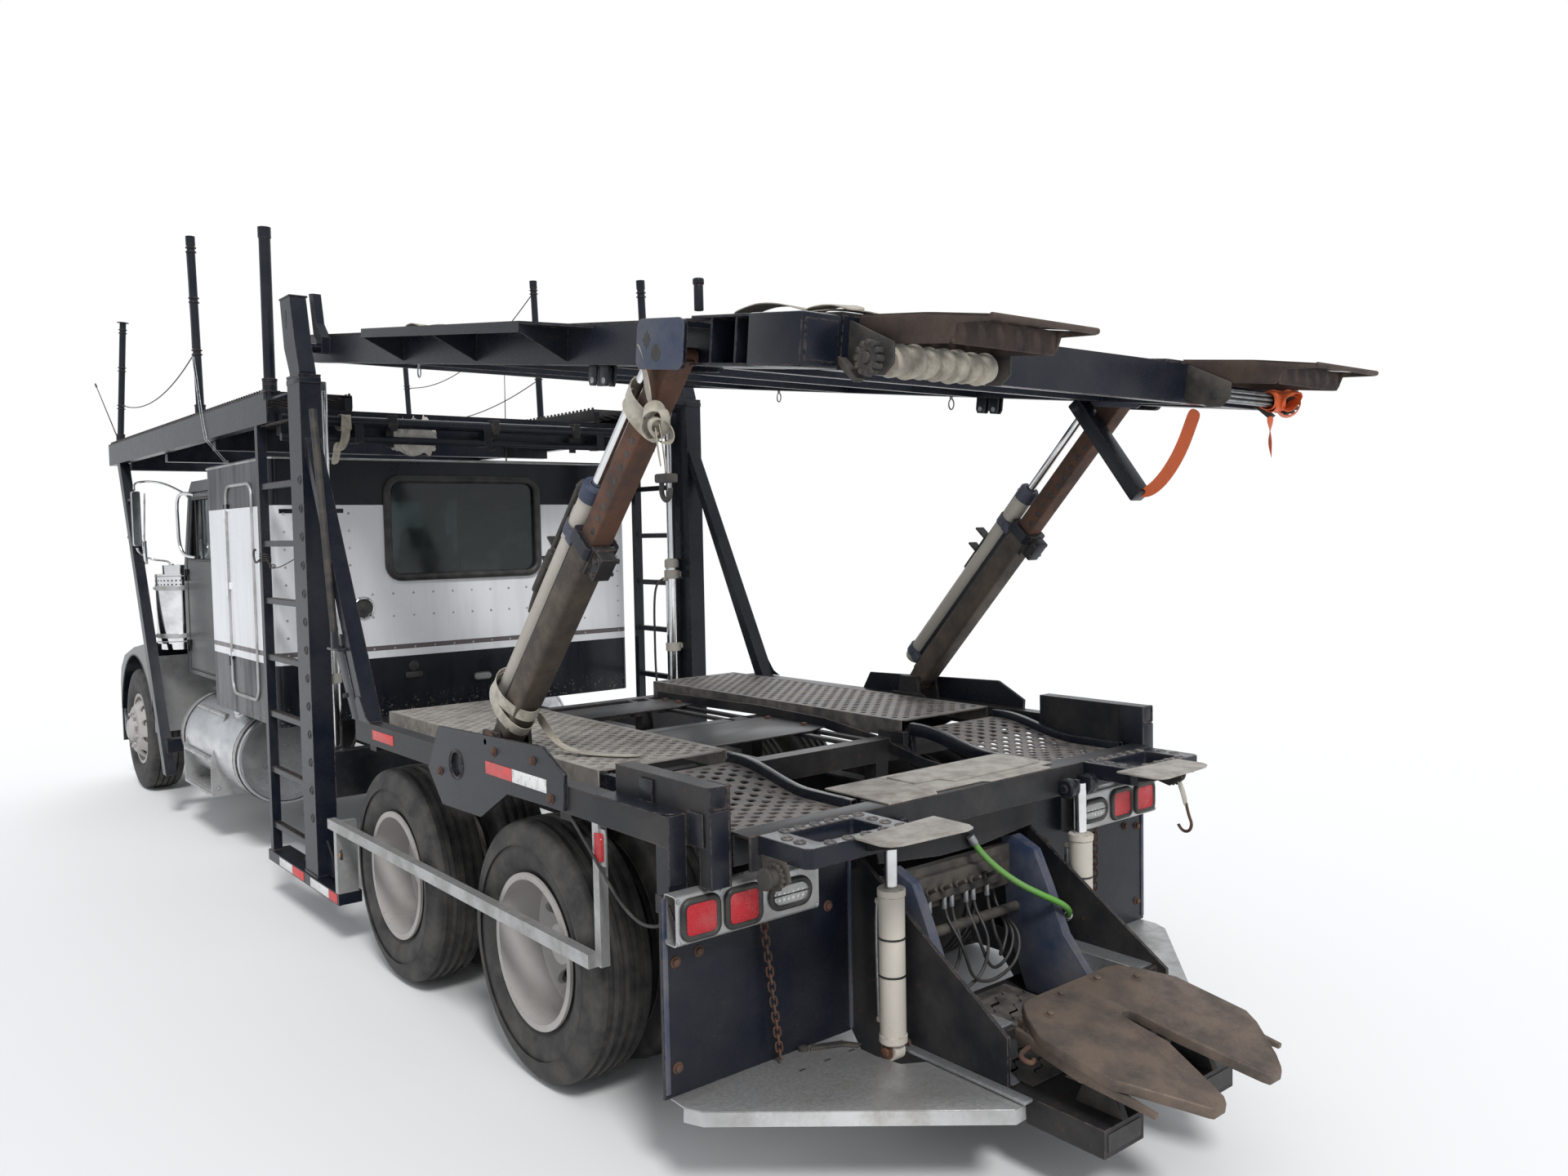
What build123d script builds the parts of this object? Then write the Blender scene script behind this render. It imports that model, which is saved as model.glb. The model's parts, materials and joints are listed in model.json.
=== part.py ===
from build123d import *
from math import atan2, cos, degrees, hypot, radians, sin
import os

# Car transporter tractor: long nose, flat-top sleeper, headrack and car decks over the
# drive axles. Millimetres. +X is the vehicle's right, +Y its front, +Z up. The origin is
# the bottom centre of the bounding box, with the tyres on z = 0.

# Overall size
FRONT_Y = 5130
REAR_Y = -5130
HALF_WIDTH = 1295
STAKE_TOP_Z = 4110

# Wheels and axles
TYRE_R = 515
TYRE_W = 280
BEAD_R = 286
FLANGE_R = 300
RIM_W = 236
RIM_WALL = 12
DISC_T = 12
DISC_OFFSET = 165
HUB_BORE_R = 110
BOLT_CIRCLE_R = 143
HAND_HOLES = 10
AXLE_Z = TYRE_R
STEER_Y = 4350
FRONT_DRIVE_Y = -1500
REAR_DRIVE_Y = -2870
STEER_X = 1050
OUTER_DUAL_X = 1100
INNER_DUAL_X = OUTER_DUAL_X - 2 * DISC_OFFSET
DISC_FACE_X = OUTER_DUAL_X - DISC_OFFSET
KINGPIN_X = 880
KINGPIN_R = 24
SPINDLE_R = 44
AXLE_R = 58
PIN_CLEARANCE = 0.3
RUNNING_GAP = 6

# Chassis rails
RAIL_X = 432
RAIL_FLANGE = 80
RAIL_T = 9
RAIL_BOTTOM_Z = 700
RAIL_TOP_Z = 970
RAIL_FRONT_Y = 4860
RAIL_REAR_Y = -3880
BUMPER_DEPTH = 100
CROSS_Y = (4800, 2480, 1000, -700, -2185, -3600)
OUTRIGGER_Z = 720

# Cab and sleeper
CAB_HALF = 1020
CAB_BACK_Y = 1850
COWL_Y = 3250
COWL_Z = 1860
CAB_FLOOR_Z = 1080
CAB_ROOF_Z = 2560
SCREEN_TOP_Y = 3010
SCREEN_TOP_Z = 2480
CAB_WALL = 45
SLEEPER_HALF = 1200
SLEEPER_REAR_Y = 290
SLEEPER_FLOOR_Z = 1000
SLEEPER_ROOF_Z = 2600
SLEEPER_WALL = 40
GLASS_T = 6
DOOR_HOLE = [(2120, CAB_FLOOR_Z + 30), (3150, CAB_FLOOR_Z + 30), (3150, 1960), (2950, 2480), (2120, 2480)]
DOOR_WINDOW = [(2230, 1960), (3040, 1960), (2890, 2430), (2230, 2430)]
CAB_DOOR_HINGE_Y = 3156
CAB_BARREL_Z = (1250, 1800)
SLEEPER_DOOR_HINGE_Y = 1236
SLEEPER_BARREL_Z = (1300, 1750, 2250)
BARREL_R = 9
BARREL_H = 90
SLEEPER_DOOR_HOLE = [(650, 1120), (1230, 1120), (1230, 2460), (650, 2460)]
REAR_WINDOW = [(-500, 1870), (500, 1870), (500, 2460), (-500, 2460)]

# Hood and fenders
HINGE_Y = 4960
HINGE_Z = 640
HINGE_PIN_R = 15
HOOD_REAR_Y = 3262
HOOD_REAR_Z = 1800
HOOD_FRONT_Z = 1640
HOOD_HALF_REAR = 560
HOOD_HALF_FRONT = 430
GRILLE_Y = 4900
HOOD_WALL = 30
ARCH_R = 630
FENDER_HALF = 1190
FENDER_REAR_Y = 3745

# Headrack
RACK_X = HALF_WIDTH - 45
RACK_Z = 2760
RACK_H = 170
RACK_FRONT_Y = 4500
RACK_REAR_Y = 0
RACK_TRACK_W = 480
RACK_CROSS_Y = (60, 1450, 2800, 4060)
STAKE_Z = RACK_Z + RACK_H + 8
STAKES = [
    (-RACK_X, 30, STAKE_Z, 950),
    (RACK_X, 30, STAKE_Z, 950),
    (-RACK_X, 1570, STAKE_Z, STAKE_TOP_Z - STAKE_Z),
    (RACK_X, 1570, STAKE_Z, STAKE_TOP_Z - STAKE_Z),
    (-RACK_X, 4200, STAKE_Z, 1040),
    (RACK_X, 4200, STAKE_Z, 1040),
]

# Deck posts and ladders
POST_X = HALF_WIDTH - 73
POST_W = 110
POST_FRONT_Y = -360
POST_REAR_Y = -560
POST_BOTTOM_Z = 300
POST_TOP_Z = 2960
POST_T = 10
POST_BARREL_TOP_Z = 1900
POST_CLAMP_Z = (850, 1800, 2900)
MAST_BOTTOM_Z = 2300
MAST_TOP_Z = 3400
LADDER_Y = 220
RUNG_Z0 = 460
RUNG_PITCH = 325
RUNG_COUNT = 7

# Upper deck, drawn level and then tilted about its front pins
DECK_PIN_Y = -410
DECK_PIN_Z = 3131
DECK_TILT = 7.04
DECK_PIN_R = 25
BEAM_X = HALF_WIDTH - 245
BEAM_W = 80
BEAM_H = 140
BEAM_FRONT = 290
DECK_LENGTH = 4170
WING_X = HALF_WIDTH - 5
DECK_CROSS = (0, 900, 1800, 2700, 3420)
WING_FRONT = 1098
WING_REAR = 2660
EYE_BACK = 668
EYE_DROP = 42
SKID_REAR_Y = -5030
SKID_IN = BEAM_X - 450
SKID_OUT = BEAM_X - 20
SKID_T = 8
SKID_H = 80
SKID_LIP = 140

# Telescopic legs
LEG_X = HALF_WIDTH - 125
LEG_FOOT = (-2620, 1300)
LEG_PIN_R = 25
LEG_OUTER = 110
LEG_INNER = 86
LEG_WALL = 10
LEG_OUTER_LENGTH = 1080
LEG_INNER_LENGTH = 1240
LEG_CYLINDER_OFFSET = 116
LEG_BARREL_LENGTH = 1230
LEG_ROD_R = 20
LEG_STROKE = 470

# Lower deck
LOWER_X = HALF_WIDTH - 75
LOWER_FRONT_Y = -1130
LOWER_REAR_Y = -3880
LOWER_Z = 1240
BEAM_TOP_Z = 1220
LOWER_CROSS_Y = (-1170, -2185, -3100)
LOWER_CROSS_Z = 1060
WALL_X = (LOWER_X - 110, LOWER_X - 40)
WALL_REAR_Y = -4010
TRACK_IN = 490
TRACK_OUT = LOWER_X - 140
TRACK_T = 8
TAIL_HINGE_Y = -3200
LAMP_BOX_IN = 700
LAMP_Y = -3960
LAMP_Z = 902
FLAP_Y = -3878
FLAP_T = 12
WING_Z = 322
WING_T = 8
TAIL_HINGE_Z = 1170
TAIL_REAR_Y = -4500
TAIL_Z = 1165
LIFT_X = 520
LIFT_Y = -4125
LIFT_FOOT_Z = 345
LIFT_PIN_R = 14
LIFT_ROD_R = 22
LIFT_BARREL_TOP_Z = 900

# Fuel tanks
TANK_R = 310
TANK_X = 890
TANK_Z = 665
TANK_Y = (1200, 2750)
STRAP_Y = (1290, 2660)
STRAP_T = 6
STEP_END_Y = (1800, 2545)
STEP_X = 1225

# Stinger and fifth wheel
FIFTH_PIVOT_Y = REAR_Y + 360
FIFTH_PIVOT_Z = 400
FIFTH_HALF = 380
FIFTH_PIN_R = 20
FIFTH_TILT = 9
KINGPIN_BORE_R = 25.7
STINGER_REAR_Y = -4860
FLOOR_REAR_Y = -4560
GUSSET_T = 14

TILT = radians(DECK_TILT)
EYE_REACH = DECK_LENGTH - EYE_BACK
LEG_EYE = (DECK_PIN_Y - EYE_REACH * cos(TILT) + EYE_DROP * sin(TILT),
           DECK_PIN_Z - EYE_REACH * sin(TILT) - EYE_DROP * cos(TILT))
LEG_ANGLE = degrees(atan2(LEG_EYE[1] - LEG_FOOT[1], LEG_FOOT[0] - LEG_EYE[0]))
LEG_LENGTH = hypot(LEG_EYE[1] - LEG_FOOT[1], LEG_FOOT[0] - LEG_EYE[0])


def block(x, y, z):
    """Box from three (low, high) pairs."""
    sides = [abs(high - low) for low, high in (x, y, z)]
    centre = [(low + high) / 2 for low, high in (x, y, z)]
    return Pos(*centre) * Box(*sides)


def side_plate(x, points, corner=0):
    """Plate with its outline in (y, z), between two X values."""
    outline = Polygon(*points, align=None)
    if corner:
        outline = fillet(outline.vertices(), corner)
    return Pos(min(x), 0, 0) * extrude(Plane.YZ * outline, abs(x[1] - x[0]), dir=(1, 0, 0))


def flat_plate(z, points, corner=0):
    """Plate with its outline in (x, y), between two Z values."""
    outline = Polygon(*points, align=None)
    if corner:
        outline = fillet(outline.vertices(), corner)
    return Pos(0, 0, min(z)) * extrude(outline, abs(z[1] - z[0]), dir=(0, 0, 1))


def front_plate(y, points, corner=0):
    """Plate with its outline in (x, z), between two Y values."""
    outline = Polygon(*points, align=None)
    if corner:
        outline = fillet(outline.vertices(), corner)
    return Pos(0, min(y), 0) * extrude(Plane.XZ * outline, abs(y[1] - y[0]), dir=(0, 1, 0))


def bar_x(x, y, z, radius):
    """Round bar along X."""
    return Pos((x[0] + x[1]) / 2, y, z) * Rot(0, 90, 0) * Cylinder(radius, abs(x[1] - x[0]))


def bar_y(x, y, z, radius):
    """Round bar along Y."""
    return Pos(x, (y[0] + y[1]) / 2, z) * Rot(90, 0, 0) * Cylinder(radius, abs(y[1] - y[0]))


def bar_z(x, y, z, radius):
    """Round bar along Z."""
    return Pos(x, y, (z[0] + z[1]) / 2) * Cylinder(radius, abs(z[1] - z[0]))


def slanted(shape, y, z, angle):
    """Move a shape drawn along -Y from the origin to (y, z) and raise its far end."""
    return Pos(0, y, z) * Rot(-angle, 0, 0) * shape


def turned(points):
    """Solid of revolution about X from (x, radius) points."""
    return revolve(Polygon(*points, align=None), Axis.X, 360)


def pair(shape):
    """A shape and its mirror image on the other side."""
    return [shape, mirror(shape, about=Plane.YZ)]


def flip(shape):
    """Mirror image on the other side."""
    return mirror(shape, about=Plane.YZ)


def joined(*shapes):
    """Fuse shapes; those that don't touch stay separate solids."""
    flat = []
    for shape in shapes:
        flat.extend(shape if isinstance(shape, (list, tuple)) else [shape])
    if len(flat) == 1:
        return flat[0]
    solids = flat[0].fuse(*flat[1:]).solids()
    return solids[0] if len(solids) == 1 else Compound(list(solids))


def save(name, *shapes):
    """Write one node."""
    part = joined(*shapes)
    part.label = name
    export_step(part, f"parts/{name}.step")


# Wheels


def tyre(centre_x):
    """Tyre with square shoulders about the X axis."""
    half = TYRE_W / 2
    shoulder = 38
    side = 12
    bead = RIM_W / 2 - RIM_WALL
    points = [
        (centre_x - bead, BEAD_R),
        (centre_x - bead, FLANGE_R + 2),
        (centre_x - half + side, FLANGE_R + 22),
        (centre_x - half, TYRE_R - 130),
        (centre_x - half + side, TYRE_R - shoulder),
        (centre_x - half + shoulder, TYRE_R),
        (centre_x + half - shoulder, TYRE_R),
        (centre_x + half - side, TYRE_R - shoulder),
        (centre_x + half, TYRE_R - 130),
        (centre_x + half - side, FLANGE_R + 22),
        (centre_x + bead, FLANGE_R + 2),
        (centre_x + bead, BEAD_R),
    ]
    return turned(points)


def rim(centre_x, face_side):
    """Disc rim; its disc bulges past the rim towards face_side (+1 or -1)."""
    half = RIM_W / 2

    def at(offset):
        return centre_x + face_side * offset

    barrel = turned([
        (at(-half), FLANGE_R), (at(-half + RIM_WALL), FLANGE_R), (at(-half + RIM_WALL), BEAD_R),
        (at(half - RIM_WALL), BEAD_R), (at(half - RIM_WALL), FLANGE_R), (at(half), FLANGE_R),
        (at(half), BEAD_R - RIM_WALL), (at(-half), BEAD_R - RIM_WALL),
    ])
    disc = turned([
        (at(half - 60), BEAD_R - RIM_WALL + 1), (at(half - 40), BEAD_R - RIM_WALL + 1),
        (at(DISC_OFFSET), 190), (at(DISC_OFFSET), HUB_BORE_R),
        (at(DISC_OFFSET - DISC_T), HUB_BORE_R), (at(DISC_OFFSET - DISC_T), 185),
    ])
    hole_x = at(half + 15)
    holes = [
        Rot(360 / HAND_HOLES * index, 0, 0) * bar_x((hole_x - 60, hole_x + 60), 0, 232, 27)
        for index in range(HAND_HOLES)
    ]
    return barrel + disc.cut(*holes)


def dual_rims():
    """Two rims bolted face to face, on a hub with its brake drum, right side."""
    hub = turned([
        (DISC_FACE_X - 30, AXLE_R + PIN_CLEARANCE), (DISC_FACE_X - 30, HUB_BORE_R + 55),
        (DISC_FACE_X - DISC_T, HUB_BORE_R + 55), (DISC_FACE_X - DISC_T, HUB_BORE_R),
        (DISC_FACE_X + 60, HUB_BORE_R), (DISC_FACE_X + 150, 78), (DISC_FACE_X + 162, 78),
        (DISC_FACE_X + 162, 0), (DISC_FACE_X + 60, 0), (DISC_FACE_X + 60, AXLE_R + PIN_CLEARANCE),
    ])
    drum = turned([
        (DISC_FACE_X - 20, HUB_BORE_R + 40), (DISC_FACE_X - 40, 215), (DISC_FACE_X - 230, 215),
        (DISC_FACE_X - 230, 200), (DISC_FACE_X - 52, 200), (DISC_FACE_X - 42, HUB_BORE_R + 40),
    ])
    nuts = [
        Rot(36 * index, 0, 0) * bar_x((DISC_FACE_X + DISC_T, DISC_FACE_X + 42), 0, BOLT_CIRCLE_R, 14)
        for index in range(10)
    ]
    return joined(rim(OUTER_DUAL_X, -1), rim(INNER_DUAL_X, 1), hub, drum, nuts)


def steer_rim():
    """Front rim with its disc outboard, hub cap and nuts, right side."""
    face_x = STEER_X + DISC_OFFSET - DISC_T
    hub = turned([
        (face_x - 150, SPINDLE_R + PIN_CLEARANCE), (face_x - 150, 100), (face_x - 20, HUB_BORE_R + 50),
        (face_x, HUB_BORE_R + 50), (face_x, HUB_BORE_R), (face_x + 40, HUB_BORE_R - 12),
        (face_x + 62, 70), (face_x + 62, 0), (face_x + 30, 0), (face_x + 30, SPINDLE_R + PIN_CLEARANCE),
    ])
    nuts = [
        Rot(36 * index, 0, 0) * bar_x((face_x + DISC_T, face_x + 38), 0, BOLT_CIRCLE_R, 14)
        for index in range(10)
    ]
    drum = turned([
        (face_x - 20, 140), (face_x - 34, 205), (face_x - 170, 205),
        (face_x - 170, 192), (face_x - 46, 192), (face_x - 34, 140),
    ])
    return joined(rim(STEER_X, 1), hub, drum, nuts)


def build_wheels():
    """Tyres and rims of every axle."""
    dual_tyres = joined(tyre(OUTER_DUAL_X), tyre(INNER_DUAL_X))
    duals = dual_rims()
    for axle, y in (("front_drive", FRONT_DRIVE_Y), ("rear_drive", REAR_DRIVE_Y)):
        place = Pos(0, y, AXLE_Z)
        save(f"{axle}_tyres_right", place * dual_tyres)
        save(f"{axle}_tyres_left", place * flip(dual_tyres))
        save(f"{axle}_rims_right", place * duals)
        save(f"{axle}_rims_left", place * flip(duals))
    place = Pos(0, STEER_Y, AXLE_Z)
    front_tyre = tyre(STEER_X)
    front_rim = steer_rim()
    save("steer_tyre_right", place * front_tyre)
    save("steer_tyre_left", place * flip(front_tyre))
    save("steer_rim_right", place * front_rim)
    save("steer_rim_left", place * flip(front_rim))


# Axles


def build_axles():
    """Steer beam with kingpins and springs, knuckles, drive axles with their air springs."""
    beam = front_plate((STEER_Y - 50, STEER_Y + 50), [
        (-KINGPIN_X, 465), (-815, 465), (-640, 380), (640, 380), (815, 465), (KINGPIN_X, 465),
        (KINGPIN_X, 565), (640, 480), (-640, 480), (-KINGPIN_X, 565),
    ])
    eyes = [bar_z(x, STEER_Y, (455, 575), 52) for x in (-KINGPIN_X, KINGPIN_X)]
    pins = [bar_z(x, STEER_Y, (400, 630), KINGPIN_R) for x in (-KINGPIN_X, KINGPIN_X)]
    spring = side_plate((RAIL_X - 85, RAIL_X), [
        (4835, 700), (4835, 660), (4640, 560), (4450, 480), (4250, 480), (4060, 560), (3700, 660),
        (3700, 700), (4060, 600), (4250, 545), (4450, 545), (4640, 600),
    ])
    save("front_axle", beam, eyes, pins, pair(spring))

    lug_r = 52
    spindle = turned([(KINGPIN_X + 62, 0), (KINGPIN_X + 62, 70), (KINGPIN_X + 86, 70),
                      (KINGPIN_X + 110, SPINDLE_R), (STEER_X + DISC_OFFSET - DISC_T + 24, SPINDLE_R),
                      (STEER_X + DISC_OFFSET - DISC_T + 24, 0)])
    cheek = block((KINGPIN_X + 56, KINGPIN_X + 76), (STEER_Y - lug_r, STEER_Y + lug_r), (405, 625))
    arm = block((KINGPIN_X - 20, KINGPIN_X + 20), (STEER_Y - 230, STEER_Y - 20), (405, 435))
    knuckle = Pos(0, STEER_Y, AXLE_Z) * spindle + cheek + arm
    for low, high in ((405, 452), (578, 625)):
        lug = bar_z(KINGPIN_X, STEER_Y, (low, high), lug_r)
        web = block((KINGPIN_X, KINGPIN_X + 70), (STEER_Y - lug_r, STEER_Y + lug_r), (low, high))
        knuckle += lug + web
    knuckle -= bar_z(KINGPIN_X, STEER_Y, (390, 640), KINGPIN_R + PIN_CLEARANCE)
    save("steer_knuckle_right", knuckle)
    save("steer_knuckle_left", flip(knuckle))

    drive_axles = []
    for y in (FRONT_DRIVE_Y, REAR_DRIVE_Y):
        shaft_end = DISC_FACE_X + 54
        tube = bar_x((-shaft_end, shaft_end), 0, 0, AXLE_R)
        bowl = turned([(-70, 0), (-150, 60), (-120, 160), (-40, 205), (40, 205), (120, 160),
                       (150, 60), (70, 0)])
        nose = bar_y(0, (0, 330), 0, 95)
        plates = [bar_x((x, x + 14), 0, 0, 190) for x in (DISC_FACE_X - 245, -DISC_FACE_X + 231)]
        housing = Pos(0, y, AXLE_Z) * joined(tube, bowl, nose, plates)
        saddle = side_plate((RAIL_X - 80, RAIL_X), [
            (y + 560, RAIL_BOTTOM_Z), (y + 620, RAIL_BOTTOM_Z), (y + 600, 560), (y + 90, 440),
            (y - 330, 440), (y - 330, 500), (y - 90, 500), (y + 60, 590), (y + 560, 640),
        ])
        air_spring = bar_z(RAIL_X - 40, y - 250, (500, RAIL_BOTTOM_Z), 38)
        bellows = bar_z(RAIL_X - 40, y - 250, (520, RAIL_BOTTOM_Z - 20), 100)
        drive_axles += [housing] + pair(saddle) + pair(air_spring) + pair(bellows)
    save("drive_axles", drive_axles)


# Chassis


def build_chassis():
    """Channel rails with cross members, outriggers and hood hinge brackets."""
    channel = block((RAIL_X - RAIL_FLANGE, RAIL_X), (RAIL_REAR_Y, RAIL_FRONT_Y),
                    (RAIL_BOTTOM_Z, RAIL_TOP_Z))
    inside = block((RAIL_X - RAIL_FLANGE - 1, RAIL_X - RAIL_T), (RAIL_REAR_Y, RAIL_FRONT_Y),
                   (RAIL_BOTTOM_Z + RAIL_T, RAIL_TOP_Z - RAIL_T))
    rails = pair(channel - inside)
    cross = [
        block((-RAIL_X + RAIL_T, RAIL_X - RAIL_T), (y - 35, y + 35),
              (RAIL_BOTTOM_Z + RAIL_T, RAIL_TOP_Z - RAIL_T))
        for y in CROSS_Y
    ]
    outriggers = pair(block((RAIL_X, POST_X - POST_W / 2), (POST_REAR_Y, POST_REAR_Y + 85),
                            (OUTRIGGER_Z, RAIL_TOP_Z)))
    tank_room = bar_y(TANK_X, TANK_Y, TANK_Z, TANK_R + STRAP_T)
    for y in STRAP_Y:
        saddle = block((RAIL_X, TANK_X - 150), (y - 45, y + 45), (500, RAIL_TOP_Z)) - tank_room
        outriggers += pair(saddle)
    bumper_rear_y = FRONT_Y - BUMPER_DEPTH
    bumper_arm = side_plate((RAIL_X - RAIL_T - 16, RAIL_X - RAIL_T), [
        (RAIL_FRONT_Y - 25, RAIL_BOTTOM_Z + RAIL_T), (RAIL_FRONT_Y - 25, 900), (RAIL_FRONT_Y + 14, 900),
        (RAIL_FRONT_Y + 14, RAIL_BOTTOM_Z), (bumper_rear_y, 640), (bumper_rear_y, 450),
        (bumper_rear_y - 40, 450), (RAIL_FRONT_Y, RAIL_BOTTOM_Z - 60),
        (RAIL_FRONT_Y, RAIL_BOTTOM_Z + RAIL_T)])
    cab_feet = [block((RAIL_X - RAIL_FLANGE, RAIL_X), (1950, 2200), (RAIL_TOP_Z, CAB_FLOOR_Z)),
                block((RAIL_X - RAIL_FLANGE, RAIL_X), (400, 1750), (RAIL_TOP_Z, SLEEPER_FLOOR_Z))]
    rail_in = RAIL_X - RAIL_FLANGE
    ear = side_plate((rail_in, rail_in + 16), [
        (RAIL_FRONT_Y, RAIL_TOP_Z), (RAIL_FRONT_Y + 12, RAIL_TOP_Z), (RAIL_FRONT_Y + 12, RAIL_BOTTOM_Z),
        (HINGE_Y + 25, HINGE_Z + 25), (HINGE_Y + 25, HINGE_Z - 25), (HINGE_Y - 25, HINGE_Z - 25),
        (RAIL_FRONT_Y, RAIL_BOTTOM_Z - 40)])
    pin = bar_x((rail_in - 30, rail_in), HINGE_Y, HINGE_Z, HINGE_PIN_R)
    save("frame_rails", rails, cross)
    save("frame_brackets", outriggers, pair(joined(bumper_arm, ear, pin)),
         [foot for item in cab_feet for foot in pair(item)])

    engine = block((-320, 320), (3330, 4330), (620, 1420))
    gearbox = block((-230, 230), (2540, 3330), (600, 1040))
    feet = [block((320, 400), (y, y + 120), (RAIL_TOP_Z, RAIL_TOP_Z + 40)) for y in (3400, 4100)]
    radiator = block((-330, 330), (4600, 4720), (RAIL_TOP_Z, 1500))
    radiator_base = block((-400, 400), (4600, 4720), (RAIL_TOP_Z, RAIL_TOP_Z + 40))
    save("engine_and_radiator", engine, gearbox, [foot for item in feet for foot in pair(item)],
         radiator, radiator_base)

    face = block((-1180, 1180), (FRONT_Y - BUMPER_DEPTH, FRONT_Y), (330, 640))
    face = fillet(face.edges().filter_by(Axis.Z).sort_by(Axis.Y)[-2:], 60)
    hollow = block((-1166, 1166), (FRONT_Y - 200, FRONT_Y - 14), (344, 626))
    hollow = fillet(hollow.edges().filter_by(Axis.Z).sort_by(Axis.Y)[-2:], 48)
    bumper = face - hollow
    stay_x = RAIL_X - RAIL_T - 16
    stays = pair(block((stay_x - 16, stay_x), (bumper_rear_y - 50, FRONT_Y - 14), (460, 600)))
    save("front_bumper", bumper, stays)


def build_cab():
    """Hollow cab with its windows and doors, glass, seats, dash and wheel."""
    outline = [(CAB_BACK_Y, CAB_FLOOR_Z), (COWL_Y, CAB_FLOOR_Z), (COWL_Y, COWL_Z),
               (SCREEN_TOP_Y, SCREEN_TOP_Z), (SCREEN_TOP_Y - 110, CAB_ROOF_Z), (CAB_BACK_Y, CAB_ROOF_Z)]
    wall = CAB_WALL
    inner = [(CAB_BACK_Y + wall, CAB_FLOOR_Z + wall), (COWL_Y - wall, CAB_FLOOR_Z + wall),
             (COWL_Y - wall, COWL_Z - 5), (SCREEN_TOP_Y - wall, SCREEN_TOP_Z - 12),
             (SCREEN_TOP_Y - 130, CAB_ROOF_Z - wall), (CAB_BACK_Y + wall, CAB_ROOF_Z - wall)]
    shell = side_plate((-CAB_HALF, CAB_HALF), outline)
    shell -= side_plate((-CAB_HALF + wall, CAB_HALF - wall), inner)
    door_opening = side_plate((CAB_HALF - wall - 20, CAB_HALF + 1), DOOR_HOLE)
    shell = shell.cut(door_opening, flip(door_opening))
    screen = slanted_screen(900, 1200)
    shell = shell.cut(screen, flip(screen))
    walk_through = block((-650, 650), (CAB_BACK_Y - 1, CAB_BACK_Y + wall + 1), (CAB_FLOOR_Z + 120, 2400))
    shell -= walk_through
    hinges = [door_barrel(CAB_HALF, CAB_DOOR_HINGE_Y, z, fixed=True) for z in CAB_BARREL_Z]
    save("cab_shell", shell, [side for item in hinges for side in pair(item)])

    pane = front_plate((SLEEPER_REAR_Y + 12, SLEEPER_REAR_Y + 18), REAR_WINDOW, 70)
    save("fixed_glass", pair(slanted_glass()), pane)

    door = side_plate((CAB_HALF - wall, CAB_HALF), inset(DOOR_HOLE, RUNNING_GAP))
    door -= side_plate((CAB_HALF - wall - 1, CAB_HALF + 1), DOOR_WINDOW)
    barrels = [door_barrel(CAB_HALF, CAB_DOOR_HINGE_Y, z, fixed=False) for z in CAB_BARREL_Z]
    door = joined(door, barrels)
    save("cab_door_right", door)
    save("cab_door_left", flip(door))
    pane = side_plate((CAB_HALF - wall / 2 - 3, CAB_HALF - wall / 2 + 3), DOOR_WINDOW)
    save("cab_door_glass_right", pane)
    save("cab_door_glass_left", flip(pane))

    floor = CAB_FLOOR_Z + wall
    seats = []
    for x in (-480, 480):
        seats += [block((x - 130, x + 130), (2230, 2560), (floor, floor + 330)),
                  block((x - 250, x + 250), (2130, 2660), (floor + 330, floor + 450)),
                  block((x - 240, x + 240), (2050, 2190), (floor + 430, floor + 1080))]
    dash = side_plate((-CAB_HALF + wall, CAB_HALF - wall), [
        (COWL_Y - wall, 1500), (COWL_Y - wall, COWL_Z - 30), (COWL_Y - wall - 180, COWL_Z - 40),
        (COWL_Y - wall - 280, 1720), (COWL_Y - wall - 250, 1500)])
    column = slanted(bar_y(-480, (0, 300), 0, 24), 2850, 1700, 0)
    wheel = Pos(-480, 2830, 1710) * Rot(62, 0, 0) * Torus(220, 16)
    spokes = Pos(-480, 2830, 1710) * Rot(62, 0, 0) * joined(
        Box(440, 36, 14), Cylinder(50, 30), Pos(0, 110, 0) * Box(36, 220, 14))
    wall = SLEEPER_WALL
    base = block((-SLEEPER_HALF + wall, SLEEPER_HALF - wall), (SLEEPER_REAR_Y + wall, 620),
                 (SLEEPER_FLOOR_Z + wall, 1500))
    mattress = block((-SLEEPER_HALF + wall + 5, SLEEPER_HALF - wall - 5), (SLEEPER_REAR_Y + wall + 5, 1000),
                     (1500, 1640))
    save("cab_interior", seats, dash, column, wheel, spokes, base, mattress)


def inset(points, gap):
    """Move each outline point towards the middle by the gap, along Y and Z."""
    mid_y = (min(p[0] for p in points) + max(p[0] for p in points)) / 2
    mid_z = (min(p[1] for p in points) + max(p[1] for p in points)) / 2
    moved = []
    for y, z in points:
        moved.append((y + (gap if y < mid_y else -gap), z + (gap if z < mid_z else -gap)))
    return moved


def door_barrel(half, hinge_y, z, fixed):
    """Outside hinge: the fixed part has the pin and lower barrel, the door the upper one."""
    x = half + BARREL_R + 1
    middle = z + BARREL_H / 2
    if fixed:
        lower = bar_z(x, hinge_y, (z, middle - 1), BARREL_R)
        pin = bar_z(x, hinge_y, (z, z + BARREL_H), BARREL_R / 2)
        leaf = block((half, x), (hinge_y, hinge_y + 45), (z, middle - 1))
        return joined(lower, pin, leaf)
    upper = bar_z(x, hinge_y, (middle, z + BARREL_H), BARREL_R)
    leaf = block((half, x), (hinge_y - 45, hinge_y), (middle, z + BARREL_H))
    bore = bar_z(x, hinge_y, (middle - 1, z + BARREL_H + 1), BARREL_R / 2 + 0.05)
    return joined(upper, leaf) - bore


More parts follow.
